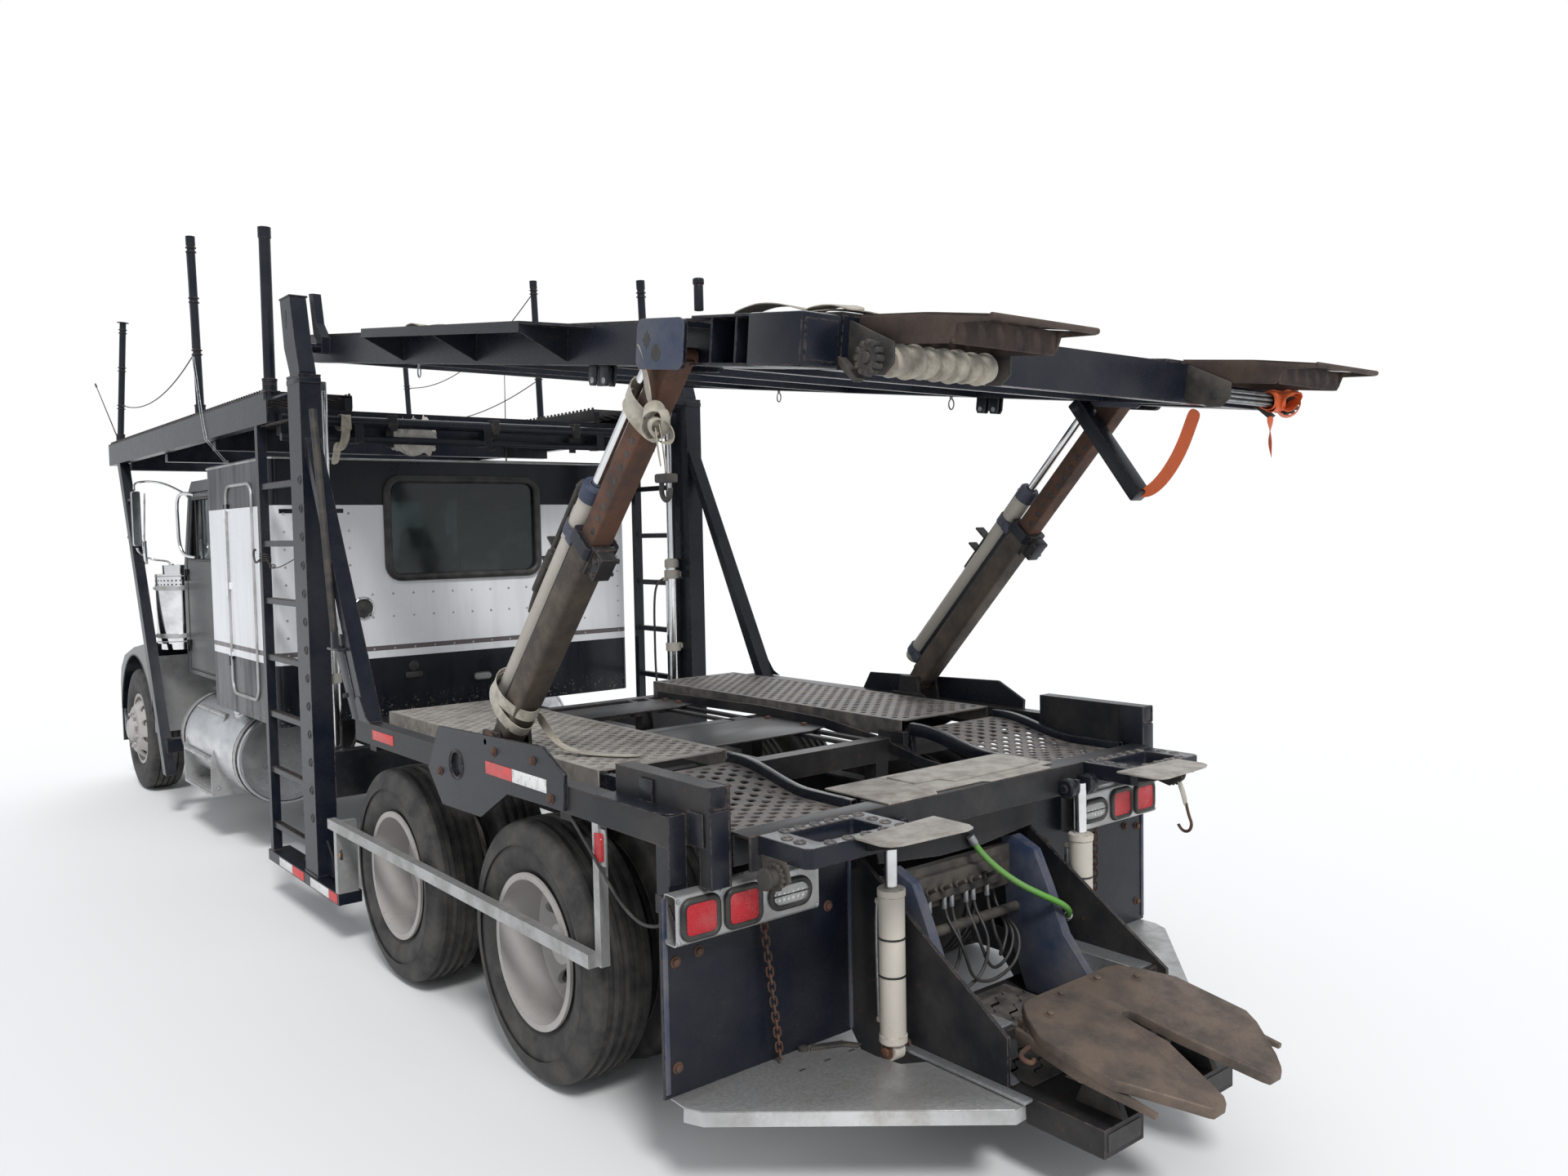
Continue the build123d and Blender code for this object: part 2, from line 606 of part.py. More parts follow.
def slanted_screen(half, depth):
    """Cut for one windscreen pane, right side."""
    lean = degrees(atan2(COWL_Y - SCREEN_TOP_Y, SCREEN_TOP_Z - COWL_Z))
    height = hypot(COWL_Y - SCREEN_TOP_Y, SCREEN_TOP_Z - COWL_Z)
    pane = block((25, half), (-depth / 2, depth / 2), (50, height - 60))
    return Pos(0, COWL_Y, COWL_Z) * Rot(lean, 0, 0) * pane


def slanted_glass():
    """One windscreen pane, right side."""
    lean = degrees(atan2(COWL_Y - SCREEN_TOP_Y, SCREEN_TOP_Z - COWL_Z))
    height = hypot(COWL_Y - SCREEN_TOP_Y, SCREEN_TOP_Z - COWL_Z)
    pane = block((25, 900), (-30, -30 + GLASS_T), (50, height - 60))
    return Pos(0, COWL_Y, COWL_Z) * Rot(lean, 0, 0) * pane


def build_sleeper():
    """Hollow sleeper box with its rear window, side doors and bunk."""
    wall = SLEEPER_WALL
    outer = block((-SLEEPER_HALF, SLEEPER_HALF), (SLEEPER_REAR_Y, CAB_BACK_Y),
                  (SLEEPER_FLOOR_Z, SLEEPER_ROOF_Z))
    corners = outer.edges().filter_by(Axis.Z)
    outer = fillet(corners.sort_by(Axis.Y)[-2:], 200)
    outer = fillet(outer.edges().filter_by(Axis.Z).sort_by(Axis.Y)[:2], 45)
    inner = block((-SLEEPER_HALF + wall, SLEEPER_HALF - wall), (SLEEPER_REAR_Y + wall, CAB_BACK_Y - wall),
                  (SLEEPER_FLOOR_Z + wall, SLEEPER_ROOF_Z - wall))
    inner = fillet(inner.edges().filter_by(Axis.Z).sort_by(Axis.Y)[-2:], 160)
    shell = outer - inner
    shell -= front_plate((SLEEPER_REAR_Y - 1, SLEEPER_REAR_Y + wall + 1), REAR_WINDOW, 70)
    hole = side_plate((SLEEPER_HALF - wall - 1, SLEEPER_HALF + 1), SLEEPER_DOOR_HOLE, 90)
    shell = shell.cut(hole, flip(hole))
    shell -= block((-650, 650), (CAB_BACK_Y - wall - 1, CAB_BACK_Y + 1), (CAB_FLOOR_Z + 120, 2400))
    barrels = [door_barrel(SLEEPER_HALF, SLEEPER_DOOR_HINGE_Y, z, fixed=True) for z in SLEEPER_BARREL_Z]
    save("sleeper_shell", shell, [side for item in barrels for side in pair(item)])

    door = side_plate((SLEEPER_HALF - wall, SLEEPER_HALF), inset(SLEEPER_DOOR_HOLE, RUNNING_GAP), 84)
    barrels = [door_barrel(SLEEPER_HALF, SLEEPER_DOOR_HINGE_Y, z, fixed=False) for z in SLEEPER_BARREL_Z]
    door = joined(door, barrels)
    save("sleeper_door_right", door)
    save("sleeper_door_left", flip(door))


def build_hood():
    """Tilting hood with fenders, grille, headlamps and air cleaners."""
    skirt_z = RAIL_TOP_Z + 20
    nose_y = RAIL_FRONT_Y + 14
    side = [(HOOD_REAR_Y, skirt_z), (nose_y, skirt_z), (nose_y, 800), (GRILLE_Y + 60, 800),
            (GRILLE_Y + 40, HOOD_FRONT_Z - 90), (GRILLE_Y - 40, HOOD_FRONT_Z), (HOOD_REAR_Y, HOOD_REAR_Z)]
    inner = [(HOOD_REAR_Y - 1, 900), (GRILLE_Y + 100, 650), (GRILLE_Y + 100, HOOD_FRONT_Z - 110),
             (GRILLE_Y - 70, HOOD_FRONT_Z - HOOD_WALL), (HOOD_REAR_Y - 1, HOOD_REAR_Z - HOOD_WALL)]
    plan = [(-HOOD_HALF_REAR, HOOD_REAR_Y - 2), (HOOD_HALF_REAR, HOOD_REAR_Y - 2),
            (HOOD_HALF_FRONT, GRILLE_Y + 100), (-HOOD_HALF_FRONT, GRILLE_Y + 100)]
    wall = HOOD_WALL
    plan_inner = [(-HOOD_HALF_REAR + wall, HOOD_REAR_Y - 3), (HOOD_HALF_REAR - wall, HOOD_REAR_Y - 3),
                  (HOOD_HALF_FRONT - wall, GRILLE_Y + 101), (-HOOD_HALF_FRONT + wall, GRILLE_Y + 101)]
    body = side_plate((-700, 700), side) & flat_plate((500, 2000), plan)
    body -= side_plate((-700, 700), inner) & flat_plate((500, 2000), plan_inner)

    fender_line = [(FENDER_REAR_Y, 560), (FENDER_REAR_Y, 1290), (4350, 1215), (4760, 1120), (4930, 1000),
                   (4990, 860), (4990, 640), (4900, 560)]
    fender = side_plate((HOOD_HALF_FRONT - 10, FENDER_HALF), fender_line)
    fender -= bar_x((400, 1300), STEER_Y, AXLE_Z, ARCH_R)
    fender -= block((0, RAIL_X + 20), (3000, 5200), (0, skirt_z))
    lamp = block((700, 1090), (4930, 5010), (760, 930))
    fender -= lamp
    ear_x = RAIL_X - RAIL_FLANGE - 4
    ear = side_plate((ear_x - 22, ear_x), [(HINGE_Y - 30, HINGE_Z - 30), (HINGE_Y + 25, HINGE_Z - 30),
                                           (HINGE_Y + 25, 820), (HINGE_Y - 30, 820)])
    ear -= bar_x((ear_x - 23, ear_x + 1), HINGE_Y, HINGE_Z, HINGE_PIN_R + PIN_CLEARANCE)
    apron = block((-HOOD_HALF_FRONT, HOOD_HALF_FRONT), (nose_y, GRILLE_Y + 85), (765, 822))
    apron_side = block((HOOD_HALF_FRONT - 20, 690), (nose_y, GRILLE_Y + 60), (765, 822))
    save("hood", body, pair(fender), pair(ear), apron, pair(apron_side))

    surround = block((-390, 390), (GRILLE_Y + 10, GRILLE_Y + 40), (822, 1560))
    surround -= block((-350, 350), (GRILLE_Y, GRILLE_Y + 50), (862, 1520))
    bars = [block((x - 6, x + 6), (GRILLE_Y + 12, GRILLE_Y + 32), (855, 1525)) for x in range(-315, 316, 70)]
    save("grille", surround, bars)

    save("headlamps", pair(lamp))

    can = bar_z(1000, 3500, (1300, 1850), 175)
    caps = [bar_z(1000, 3500, (1250, 1300), 150), bar_z(1000, 3500, (1850, 1920), 120)]
    duct = block((HOOD_HALF_REAR + RUNNING_GAP, 860), (3440, 3560), (1480, 1640))
    brackets = [block((900, 1000), (COWL_Y, 3345), (z, z + 40)) for z in (1350, 1750)]
    save("air_cleaners", pair(joined(can, caps, duct, brackets)))


def build_tanks():
    """Fuel tanks with straps, step boxes and splash panels."""
    tank = bar_y(TANK_X, TANK_Y, TANK_Z, TANK_R)
    save("fuel_tanks", pair(tank))
    straps = []
    for y in STRAP_Y:
        ring = bar_y(TANK_X, (y - 30, y + 30), TANK_Z, TANK_R + STRAP_T)
        straps.append(ring - bar_y(TANK_X, (y - 31, y + 31), TANK_Z, TANK_R))
    steps = []
    for y in STEP_END_Y:
        steps.append(front_plate((y, y + 15), [
            (1080, 900), (1118, 900), (STEP_X, 600), (STEP_X, 345), (1000, 345), (1000, 400)]))
    tread_y = (STEP_END_Y[0] + 15, STEP_END_Y[1])
    steps.append(block((1000, STEP_X), tread_y, (345, 365)))
    steps.append(block((1150, STEP_X), tread_y, (585, 605)))
    steps.append(block((1060, 1120), tread_y, (885, 900)))
    steps = joined(steps) - bar_y(TANK_X, TANK_Y, TANK_Z, TANK_R)
    panel = side_plate((700, FENDER_HALF - 10), [(3690, 560), (3710, 560), (3710, 1180), (3690, 1180)])
    panel = joined(panel, block((RAIL_X, 720), (3640, 3710), (800, 900)))
    save("steps_and_splash_panels", pair(straps[0]), pair(straps[1]), pair(steps), pair(panel))


def build_headrack():
    """Fixed rack over the cab with its tracks, cross bars, front legs, stakes and mirrors."""
    parts = []
    inner_x = RACK_X + 35 - RACK_TRACK_W
    outer = block((RACK_X - 30, RACK_X + 35), (RACK_REAR_Y, RACK_FRONT_Y), (RACK_Z, RACK_Z + RACK_H))
    core = block((RACK_X - 40, RACK_X + 27), (RACK_REAR_Y - 1, RACK_FRONT_Y + 1),
                 (RACK_Z + 8, RACK_Z + RACK_H - 8))
    parts += pair(outer - core)
    parts += pair(block((inner_x, inner_x + 40), (RACK_REAR_Y, RACK_FRONT_Y),
                        (RACK_Z + 90, RACK_Z + RACK_H - 8)))
    for y in RACK_CROSS_Y:
        parts.append(block((-RACK_X + 45, RACK_X - 45), (y - 40, y + 40), (RACK_Z - 60, RACK_Z + 90)))
        parts.append(block((-RACK_X - 27, RACK_X + 27), (y - 40, y + 40), (RACK_Z + 8, RACK_Z + 90)))
    track = block((inner_x, RACK_X + 35), (RACK_REAR_Y, RACK_FRONT_Y),
                  (RACK_Z + RACK_H, RACK_Z + RACK_H + TRACK_T))
    save("headrack_tracks", pair(track))
    bar = bar_x((-RACK_X + 20, RACK_X - 20), -60, RACK_Z + 20, 30)
    lower = bar_x((-RACK_X + 20, RACK_X - 20), -60, RACK_Z - 80, 22)
    ties = [block((x - 25, x + 25), (-85, RACK_CROSS_Y[0] - 40), (RACK_Z - 100, RACK_Z + 20))
            for x in (-800, 0, 800)]
    save("headrack_frame", parts, bar, lower, ties)
    top = (4120, RACK_Z)
    foot = (2930, 340)
    leg = side_plate((RACK_X - 38, RACK_X + 35), [
        (top[0] - 50, top[1]), (top[0] + 50, top[1]), (foot[0] + 55, foot[1]), (foot[0] - 45, foot[1])])
    outrigger = block((RAIL_X, RACK_X), (2960, 3060), (500, 600))
    drop = block((RAIL_X, RAIL_X + 30), (2960, 3060), (500, RAIL_TOP_Z))
    legs = joined(leg, outrigger, drop)
    stakes = []
    for x, y, z, height in STAKES:
        stakes.append(bar_z(x, y, (z, z + height), 24))
        stakes.append(bar_z(x, y, (z, z + 120), 34))
    save("stakes", stakes)
    mirror_plate = block((HALF_WIDTH - 65, HALF_WIDTH), (3640, 3670), (2080, 2510))
    arms = [block((RACK_X, RACK_X + 20), (3655, 3980), (z, z + 20)) for z in (2140, 2440)]
    save("headrack_legs", pair(joined(legs, mirror_plate, arms)))


def build_posts():
    """Main posts with their masts, lift cylinders, ladders, base beams and braces."""
    x = (POST_X - POST_W / 2, POST_X + POST_W / 2)
    post = block(x, (POST_REAR_Y, POST_FRONT_Y), (POST_BOTTOM_Z, POST_TOP_Z))
    post -= block((x[0] + POST_T, x[1] - POST_T), (POST_REAR_Y + POST_T, POST_FRONT_Y - POST_T),
                  (POST_BOTTOM_Z - 1, POST_TOP_Z + 1))
    base = block((x[0], x[1] + 10), (-900, 290), (POST_BOTTOM_Z - 60, POST_BOTTOM_Z))
    mast = side_plate((x[0] + 12, x[1] - 12), [
        (POST_REAR_Y + 30, MAST_BOTTOM_Z), (POST_FRONT_Y - 12, MAST_BOTTOM_Z),
        (POST_FRONT_Y - 12, POST_TOP_Z + 30), (-295, DECK_PIN_Z), (-250, MAST_TOP_Z), (-413, MAST_TOP_Z),
        (-480, DECK_PIN_Z), (POST_REAR_Y + 30, POST_TOP_Z + 30)])
    pin = bar_x((BEAM_X - BEAM_W / 2 + 2, x[0] + 12), DECK_PIN_Y, DECK_PIN_Z, DECK_PIN_R)
    cap = block((x[0] - 2, x[1] + 2), (POST_REAR_Y - 2, POST_FRONT_Y + 2), (POST_TOP_Z, POST_TOP_Z + 12))
    cylinder_y = POST_FRONT_Y - 60
    barrel = bar_z(x[0] - 50, cylinder_y, (POST_BOTTOM_Z + 500, POST_BARREL_TOP_Z), 42)
    rod = bar_z(x[0] - 50, cylinder_y, (POST_BARREL_TOP_Z, POST_CLAMP_Z[-1] + 50), 26)
    clamps = [block((x[0] - 60, x[0]), (cylinder_y - 30, cylinder_y + 30), (z, z + 50))
              for z in POST_CLAMP_Z]
    save("post_cylinders", pair(joined(barrel, rod, clamps)))
    upright = block((RACK_X - 15, RACK_X + 35), (LADDER_Y - 25, LADDER_Y + 25), (POST_BOTTOM_Z, RACK_Z))
    rungs = []
    for i in range(RUNG_COUNT):
        z = RUNG_Z0 + RUNG_PITCH * i
        rungs.append(block((RACK_X - 10, RACK_X + 25), (POST_FRONT_Y, LADDER_Y - 25), (z - 15, z + 15)))
    save("ladders", pair(joined(upright, rungs)))
    brace = side_plate((x[0] + 10, x[1] - 20), [
        (POST_REAR_Y, 2640), (POST_REAR_Y, 2540), (-1220, BEAM_TOP_Z), (-1300, BEAM_TOP_Z)])
    save("deck_posts", pair(joined(post, base, mast, pin, cap, brace)))


def build_lower_deck():
    """Fixed lower deck with side beams, cross members, tracks, well plates and rear gear."""
    beams = pair(block((LOWER_X - 40, LOWER_X + 30), (LOWER_REAR_Y, LOWER_FRONT_Y),
                       (BEAM_TOP_Z - 100, BEAM_TOP_Z)))
    cross = []
    towers = []
    for y in LOWER_CROSS_Y:
        cross.append(block((-LOWER_X + 40, LOWER_X - 40), (y - 40, y + 40),
                           (LOWER_CROSS_Z, LOWER_CROSS_Z + 100)))
        towers += pair(block((RAIL_X - 70, RAIL_X), (y - 40, y + 40), (RAIL_TOP_Z, LOWER_CROSS_Z)))
    foot_x = (LEG_X - 75, LEG_X + 60)
    foot_plate = [(-2540, 1200), (-2700, 1200), (-2680, 1340), (-2560, 1340)]
    lugs = [side_plate((x, x + 15), foot_plate) for x in foot_x]
    foot_pin = bar_x((LEG_X - 75, LEG_X + 75), LEG_FOOT[0], LEG_FOOT[1], LEG_PIN_R)
    base = block((LEG_X - 75, LEG_X + 15), (-2700, -2540), (1130, 1205))
    feet = pair(joined(lugs, foot_pin, base))
    wall = block(WALL_X, (WALL_REAR_Y, -3460), (BEAM_TOP_Z - 100, BEAM_TOP_Z + 100))
    corner = block(WALL_X, (WALL_REAR_Y, WALL_REAR_Y + 60), (BEAM_TOP_Z - 220, BEAM_TOP_Z - 100))
    hinge_pin = bar_x((TRACK_IN - 40, LOWER_X - 40), TAIL_HINGE_Y, TAIL_HINGE_Z, 12)
    hinge_lug = block((TRACK_IN - 40, TRACK_IN - 10), (TAIL_HINGE_Y - 25, LOWER_CROSS_Y[-1] + 40),
                      (TAIL_HINGE_Z - 30, TAIL_HINGE_Z + 25))
    save("lower_deck_frame", beams, cross, towers, feet, pair(joined(wall, corner)), pair(hinge_pin),
         pair(hinge_lug))
    track_y = (TAIL_HINGE_Y + 30, LOWER_FRONT_Y)
    track = block((TRACK_IN, TRACK_OUT), track_y, (LOWER_Z - TRACK_T, LOWER_Z))
    lips = [block((x, x + 8), track_y, (LOWER_Z - 80, LOWER_Z)) for x in (TRACK_IN, TRACK_OUT - 8)]
    save("lower_tracks", pair(joined(track, lips)))
    bolster = side_plate((LOWER_X + 30, LOWER_X + 45), [
        (-2050, 1120), (-2170, 1310), (-3090, 1340), (-3250, 1260), (-3240, 1130), (-2800, 1120),
        (-2560, 990), (-2190, 980)])
    bolster -= bar_x((LOWER_X, LOWER_X + 60), -2340, 1170, 50)
    save("bolster_plates", pair(bolster))
    bar = block((HALF_WIDTH - 45, HALF_WIDTH - 5), (-3430, -780), (620, 670))
    arm = block((LOWER_X - 5, HALF_WIDTH - 45), (-3450, -3410), (620, 1120))
    front_arm = block((POST_X - 40, HALF_WIDTH - 8), (-900, -860), (POST_BOTTOM_Z, 670))
    save("side_bars", pair(joined(bar, arm, front_arm)))
    box_z = (LAMP_Z - 77, LAMP_Z + 78)
    lamp_box = block((LAMP_BOX_IN, HALF_WIDTH - 15), (LAMP_Y, FLAP_Y - FLAP_T), box_z)
    lens_y = (LAMP_Y - 12, LAMP_Y)
    lamps = []
    for x in (LAMP_BOX_IN + 480, LAMP_BOX_IN + 310):
        lamps += pair(block((x - 60, x + 60), lens_y, (LAMP_Z - 52, LAMP_Z + 53)))
    lamps += pair(bar_y(LAMP_BOX_IN + 120, lens_y, LAMP_Z, 45))
    save("rear_lamps", lamps)
    flap = block((500, HALF_WIDTH - 5), (FLAP_Y - FLAP_T, FLAP_Y), (WING_Z + WING_T, 980))
    stay = block((RAIL_X + GUSSET_T, LOWER_X + 30), (FLAP_Y, FLAP_Y + 78), (900, 960))
    hanger = block((LOWER_X - 40, LOWER_X + 30), (FLAP_Y, FLAP_Y + 68), (900, BEAM_TOP_Z - 100))
    save("lamp_boxes", pair(lamp_box))
    save("flap_plates", pair(joined(flap, stay, hanger)))
    gusset_x = RAIL_X + GUSSET_T
    wing = flat_plate((WING_Z, WING_Z + WING_T), [
        (1270, FLAP_Y), (580, FLAP_Y), (580, -4180), (gusset_x, -4250), (gusset_x, FLOOR_REAR_Y),
        (gusset_x + 10, -4640), (1250, -3970)])
    save("wing_plates", pair(wing))


def build_tail():
    """Tail deck that the rear cylinders raise about its front hinge."""
    front_y = TAIL_HINGE_Y - 20
    profile = [(front_y, LOWER_Z - 8), (-3320, 1228), (-3650, 1165), (-3980, 1165),
               (-3980, 1110), (-3650, 1110), (-3320, 1150), (TAIL_HINGE_Y + 22, TAIL_HINGE_Z - 22),
               (TAIL_HINGE_Y + 22, TAIL_HINGE_Z + 22)]
    hinge_bore = bar_x((TRACK_IN - 10, TRACK_OUT + 10), TAIL_HINGE_Y, TAIL_HINGE_Z, 12 + PIN_CLEARANCE)
    rails = []
    for x in ((TRACK_IN, TRACK_IN + 30), (TRACK_OUT - 30, TRACK_OUT)):
        rails += pair(side_plate(x, profile) - hinge_bore)
    surface = [(front_y, LOWER_Z - 8), (-3320, 1228), (-3650, 1165), (-3980, 1165),
               (-3980, 1157), (-3650, 1157), (-3320, 1220), (front_y, LOWER_Z - 16)]
    sheet = side_plate((TRACK_IN + 30, TRACK_OUT - 30), surface)
    beam = block((-TRACK_OUT, TRACK_OUT), (-4080, -3980), (1050, TAIL_Z))
    centre = block((-TRACK_IN + 10, TRACK_IN - 10), (-4080, -3740), (TAIL_Z, TAIL_Z + 8))
    centre_web = block((-TRACK_IN, TRACK_IN), (-3980, -3940), (1110, TAIL_Z))
    frame = block((600, 1050), (-4320, -4080), (1100, TAIL_Z))
    frame -= block((690, 960), (-4270, -4120), (1000, 1300))
    plate = block((500, 870), (TAIL_REAR_Y, -4300), (TAIL_Z, TAIL_Z + 8))
    lugs = [block((x, x + 15), (-4150, -4080), (1050, 1120)) for x in (LIFT_X - 50, LIFT_X + 35)]
    save("tail_deck", rails, pair(sheet), beam, centre, centre_web, pair(frame), pair(plate),
         pair(joined(lugs)))
    bottom = LIFT_FOOT_Z + 45
    barrel = bar_z(LIFT_X, LIFT_Y, (LIFT_FOOT_Z + 25, LIFT_BARREL_TOP_Z), 45)
    barrel -= bar_z(LIFT_X, LIFT_Y, (bottom, LIFT_BARREL_TOP_Z - 30), 28)
    barrel -= bar_z(LIFT_X, LIFT_Y, (bottom, LIFT_BARREL_TOP_Z + 1), LIFT_ROD_R + PIN_CLEARANCE)
    barrel_eye = block((LIFT_X - 20, LIFT_X + 20), (LIFT_Y - 22, LIFT_Y + 22),
                       (LIFT_FOOT_Z - 20, LIFT_FOOT_Z + 30))
    barrel_eye -= bar_x((LIFT_X - 30, LIFT_X + 30), LIFT_Y, LIFT_FOOT_Z, LIFT_PIN_R + PIN_CLEARANCE)
    save("tail_lift_barrels", pair(joined(barrel, barrel_eye)))
    rod = bar_z(LIFT_X, LIFT_Y, (LIFT_FOOT_Z + 60, 1100), LIFT_ROD_R)
    save("tail_lift_rods", pair(rod))


def build_upper_deck():
    """Upper deck, drawn level about its pins and then tilted."""
    place = Pos(0, DECK_PIN_Y, DECK_PIN_Z) * Rot(DECK_TILT, 0, 0)
    top = BEAM_H / 2
    side = BEAM_X + BEAM_W / 2
    beam = block((BEAM_X - BEAM_W / 2, side), (-DECK_LENGTH, BEAM_FRONT), (-top, top))
    beam -= bar_x((BEAM_X - 80, BEAM_X + 80), 0, 0, DECK_PIN_R + PIN_CLEARANCE)
    cross_x = (-BEAM_X + BEAM_W / 2, BEAM_X - BEAM_W / 2)
    cross = [block(cross_x, (-u - 90, -u - 20), (-top, 40)) for u in DECK_CROSS]
    rear_bar = block((-side, side), (-DECK_LENGTH, -DECK_LENGTH + 90), (-top - 8, top - 8))
    track = block((560, side), (-DECK_LENGTH + 90, BEAM_FRONT), (top, top + SKID_T))
    wing = flat_plate((top - 10, top), [
        (side, -WING_FRONT), (WING_X, -WING_FRONT), (WING_X, -WING_REAR), (side, -WING_REAR - 180)])
    rim = block((WING_X - 10, WING_X), (-WING_REAR, -WING_FRONT), (top - 40, top))
    middle = (WING_FRONT + WING_REAR) / 2
    corners = [(side, top - 10), (WING_X - 10, top - 10), (WING_X - 10, top - 40), (side, -top + 10)]
    gussets = []
    for u in (WING_FRONT, middle, WING_REAR - 10):
        gussets += pair(front_plate((-u - 10, -u), corners))
    eye = EYE_REACH
    cheek = [(-eye + 110, top - 10), (-eye + 110, -90), (-eye - 140, -90), (-eye - 140, top - 10)]
    bracket = [side_plate((x, x + 14), cheek, 24) for x in (LEG_X - 78, LEG_X + 64)]
    tie = block((side, LEG_X + 64), (-eye - 116, -eye + 86), (top - 34, top - 14))
    arm = side_plate((side, side + 45), [
        (-90, -20), (-10, -20), (-10, 40), (40, 70), (120, 290), (60, 290), (0, 130), (-90, 60)])
    arm -= bar_x((side - 1, side + 50), 0, 0, DECK_PIN_R + PIN_CLEARANCE)
    save("upper_deck_frame", place * joined(pair(beam), cross, rear_bar, pair(wing), pair(rim),
                                            gussets, pair(joined(bracket, tie)), pair(arm)))
    skid_end = (DECK_PIN_Y - SKID_REAR_Y) / cos(TILT)
    web_y = -skid_end + SKID_LIP
    low = top + SKID_T - SKID_H
    plate = block((SKID_IN, SKID_OUT), (-skid_end, -DECK_LENGTH - 40), (top, top + SKID_T))
    webs = [block((x, x + 10), (web_y, -DECK_LENGTH), (low, top)) for x in (SKID_IN, SKID_OUT - 10)]
    rear_web = block((SKID_IN, SKID_OUT), (web_y, web_y + 10), (low, top))
    track_top = block((SKID_IN, SKID_OUT), (-DECK_LENGTH - 40, -DECK_LENGTH + 90), (top, top + SKID_T))
    save("upper_tracks", place * joined(pair(track), pair(joined(plate, track_top, webs, rear_web))))


def build_legs():
    """Telescopic legs with their cylinders."""
    half = LEG_OUTER / 2
    outer = block((LEG_X - half, LEG_X + half), (-LEG_OUTER_LENGTH, -70), (-half, half))
    hollow = half - LEG_WALL
    mouth = LEG_INNER / 2 + PIN_CLEARANCE
    outer -= block((LEG_X - hollow, LEG_X + hollow), (-LEG_OUTER_LENGTH + 60, -90), (-hollow, hollow))
    outer -= block((LEG_X - mouth, LEG_X + mouth), (-LEG_OUTER_LENGTH - 1, -90), (-mouth, mouth))
    end = block((LEG_X - 50, LEG_X + 50), (-90, 30), (-40, 40))
    end -= bar_x((LEG_X - 80, LEG_X + 80), 0, 0, LEG_PIN_R + PIN_CLEARANCE)
    barrel = bar_y(LEG_X, (-LEG_BARREL_LENGTH, -60), LEG_CYLINDER_OFFSET, 42)
    barrel -= bar_y(LEG_X, (-LEG_BARREL_LENGTH + 40, -100), LEG_CYLINDER_OFFSET, 26)
    barrel -= bar_y(LEG_X, (-LEG_BARREL_LENGTH - 1, -100), LEG_CYLINDER_OFFSET, LEG_ROD_R + PIN_CLEARANCE)
    clamps = [block((LEG_X - 30, LEG_X + 30), (-u - 50, -u), (half, LEG_CYLINDER_OFFSET - 30))
              for u in (100, 1000)]
    foot, angle = LEG_FOOT, LEG_ANGLE
    body = slanted(joined(outer, end, barrel, clamps), foot[0], foot[1], angle)
    save("leg_outer", pair(body))
    inner_half = LEG_INNER / 2
    inner = block((LEG_X - inner_half, LEG_X + inner_half),
                  (-LEG_LENGTH - 10, -LEG_LENGTH + LEG_INNER_LENGTH), (-inner_half, inner_half))
    rod_end = -LEG_LENGTH + 110
    rod = bar_y(LEG_X, (rod_end, -LEG_STROKE - 140), LEG_CYLINDER_OFFSET, LEG_ROD_R)
    lug = block((LEG_X - 20, LEG_X + 20), (rod_end, rod_end + 50), (0, LEG_CYLINDER_OFFSET + 10))
    save("leg_inner", pair(slanted(joined(inner, rod, lug), foot[0], foot[1], angle)))


def build_stinger():
    """Drop frame behind the axles and the fifth wheel on it."""
    gusset = side_plate((RAIL_X, RAIL_X + GUSSET_T), [
        (-3500, RAIL_TOP_Z - 20), (-3880, RAIL_TOP_Z - 20), (FLOOR_REAR_Y, 500), (FLOOR_REAR_Y, 220),
        (-3900, 220), (-3500, 700)])
    floor = block((-RAIL_X, RAIL_X), (FLOOR_REAR_Y, -3880), (250, 290))
    beams = pair(block((350, RAIL_X), (-4520, -3700), (400, 500)))
    tubes = pair(block((160, 360), (STINGER_REAR_Y, FLOOR_REAR_Y), (200, 290)))
    sides = pair(side_plate((240, 262), [
        (FIFTH_PIVOT_Y - 90, 290), (FIFTH_PIVOT_Y + 90, 290), (FIFTH_PIVOT_Y + 30, FIFTH_PIVOT_Z + 24),
        (FIFTH_PIVOT_Y - 30, FIFTH_PIVOT_Z + 24)]))
    pins = pair(bar_x((240, 298), FIFTH_PIVOT_Y, FIFTH_PIVOT_Z, FIFTH_PIN_R))
    anchors = pair(bar_x((RAIL_X + 10, LIFT_X + 40), LIFT_Y, LIFT_FOOT_Z, LIFT_PIN_R))
    save("stinger_frame", pair(gusset), floor, beams, tubes, sides, pins, anchors)

    place = Pos(0, FIFTH_PIVOT_Y, FIFTH_PIVOT_Z) * Rot(FIFTH_TILT, 0, 0)
    plate = flat_plate((50, 90), [
        (-250, 330), (250, 330), (FIFTH_HALF, 130), (FIFTH_HALF, -120), (200, -350), (120, -350),
        (30, -80), (30, 90), (-30, 90), (-30, -80), (-120, -350), (-200, -350), (-FIFTH_HALF, -120),
        (-FIFTH_HALF, 130)])
    jaws = block((-95, 95), (10, 170), (10, 50))
    ears = pair(block((268, 292), (-32, 32), (-30, 50))
                - bar_x((260, 300), 0, 0, FIFTH_PIN_R + PIN_CLEARANCE))
    plate = joined(plate, jaws, ears) - bar_z(0, 90, (0, 100), KINGPIN_BORE_R)
    save("fifth_wheel_plate", place * plate)


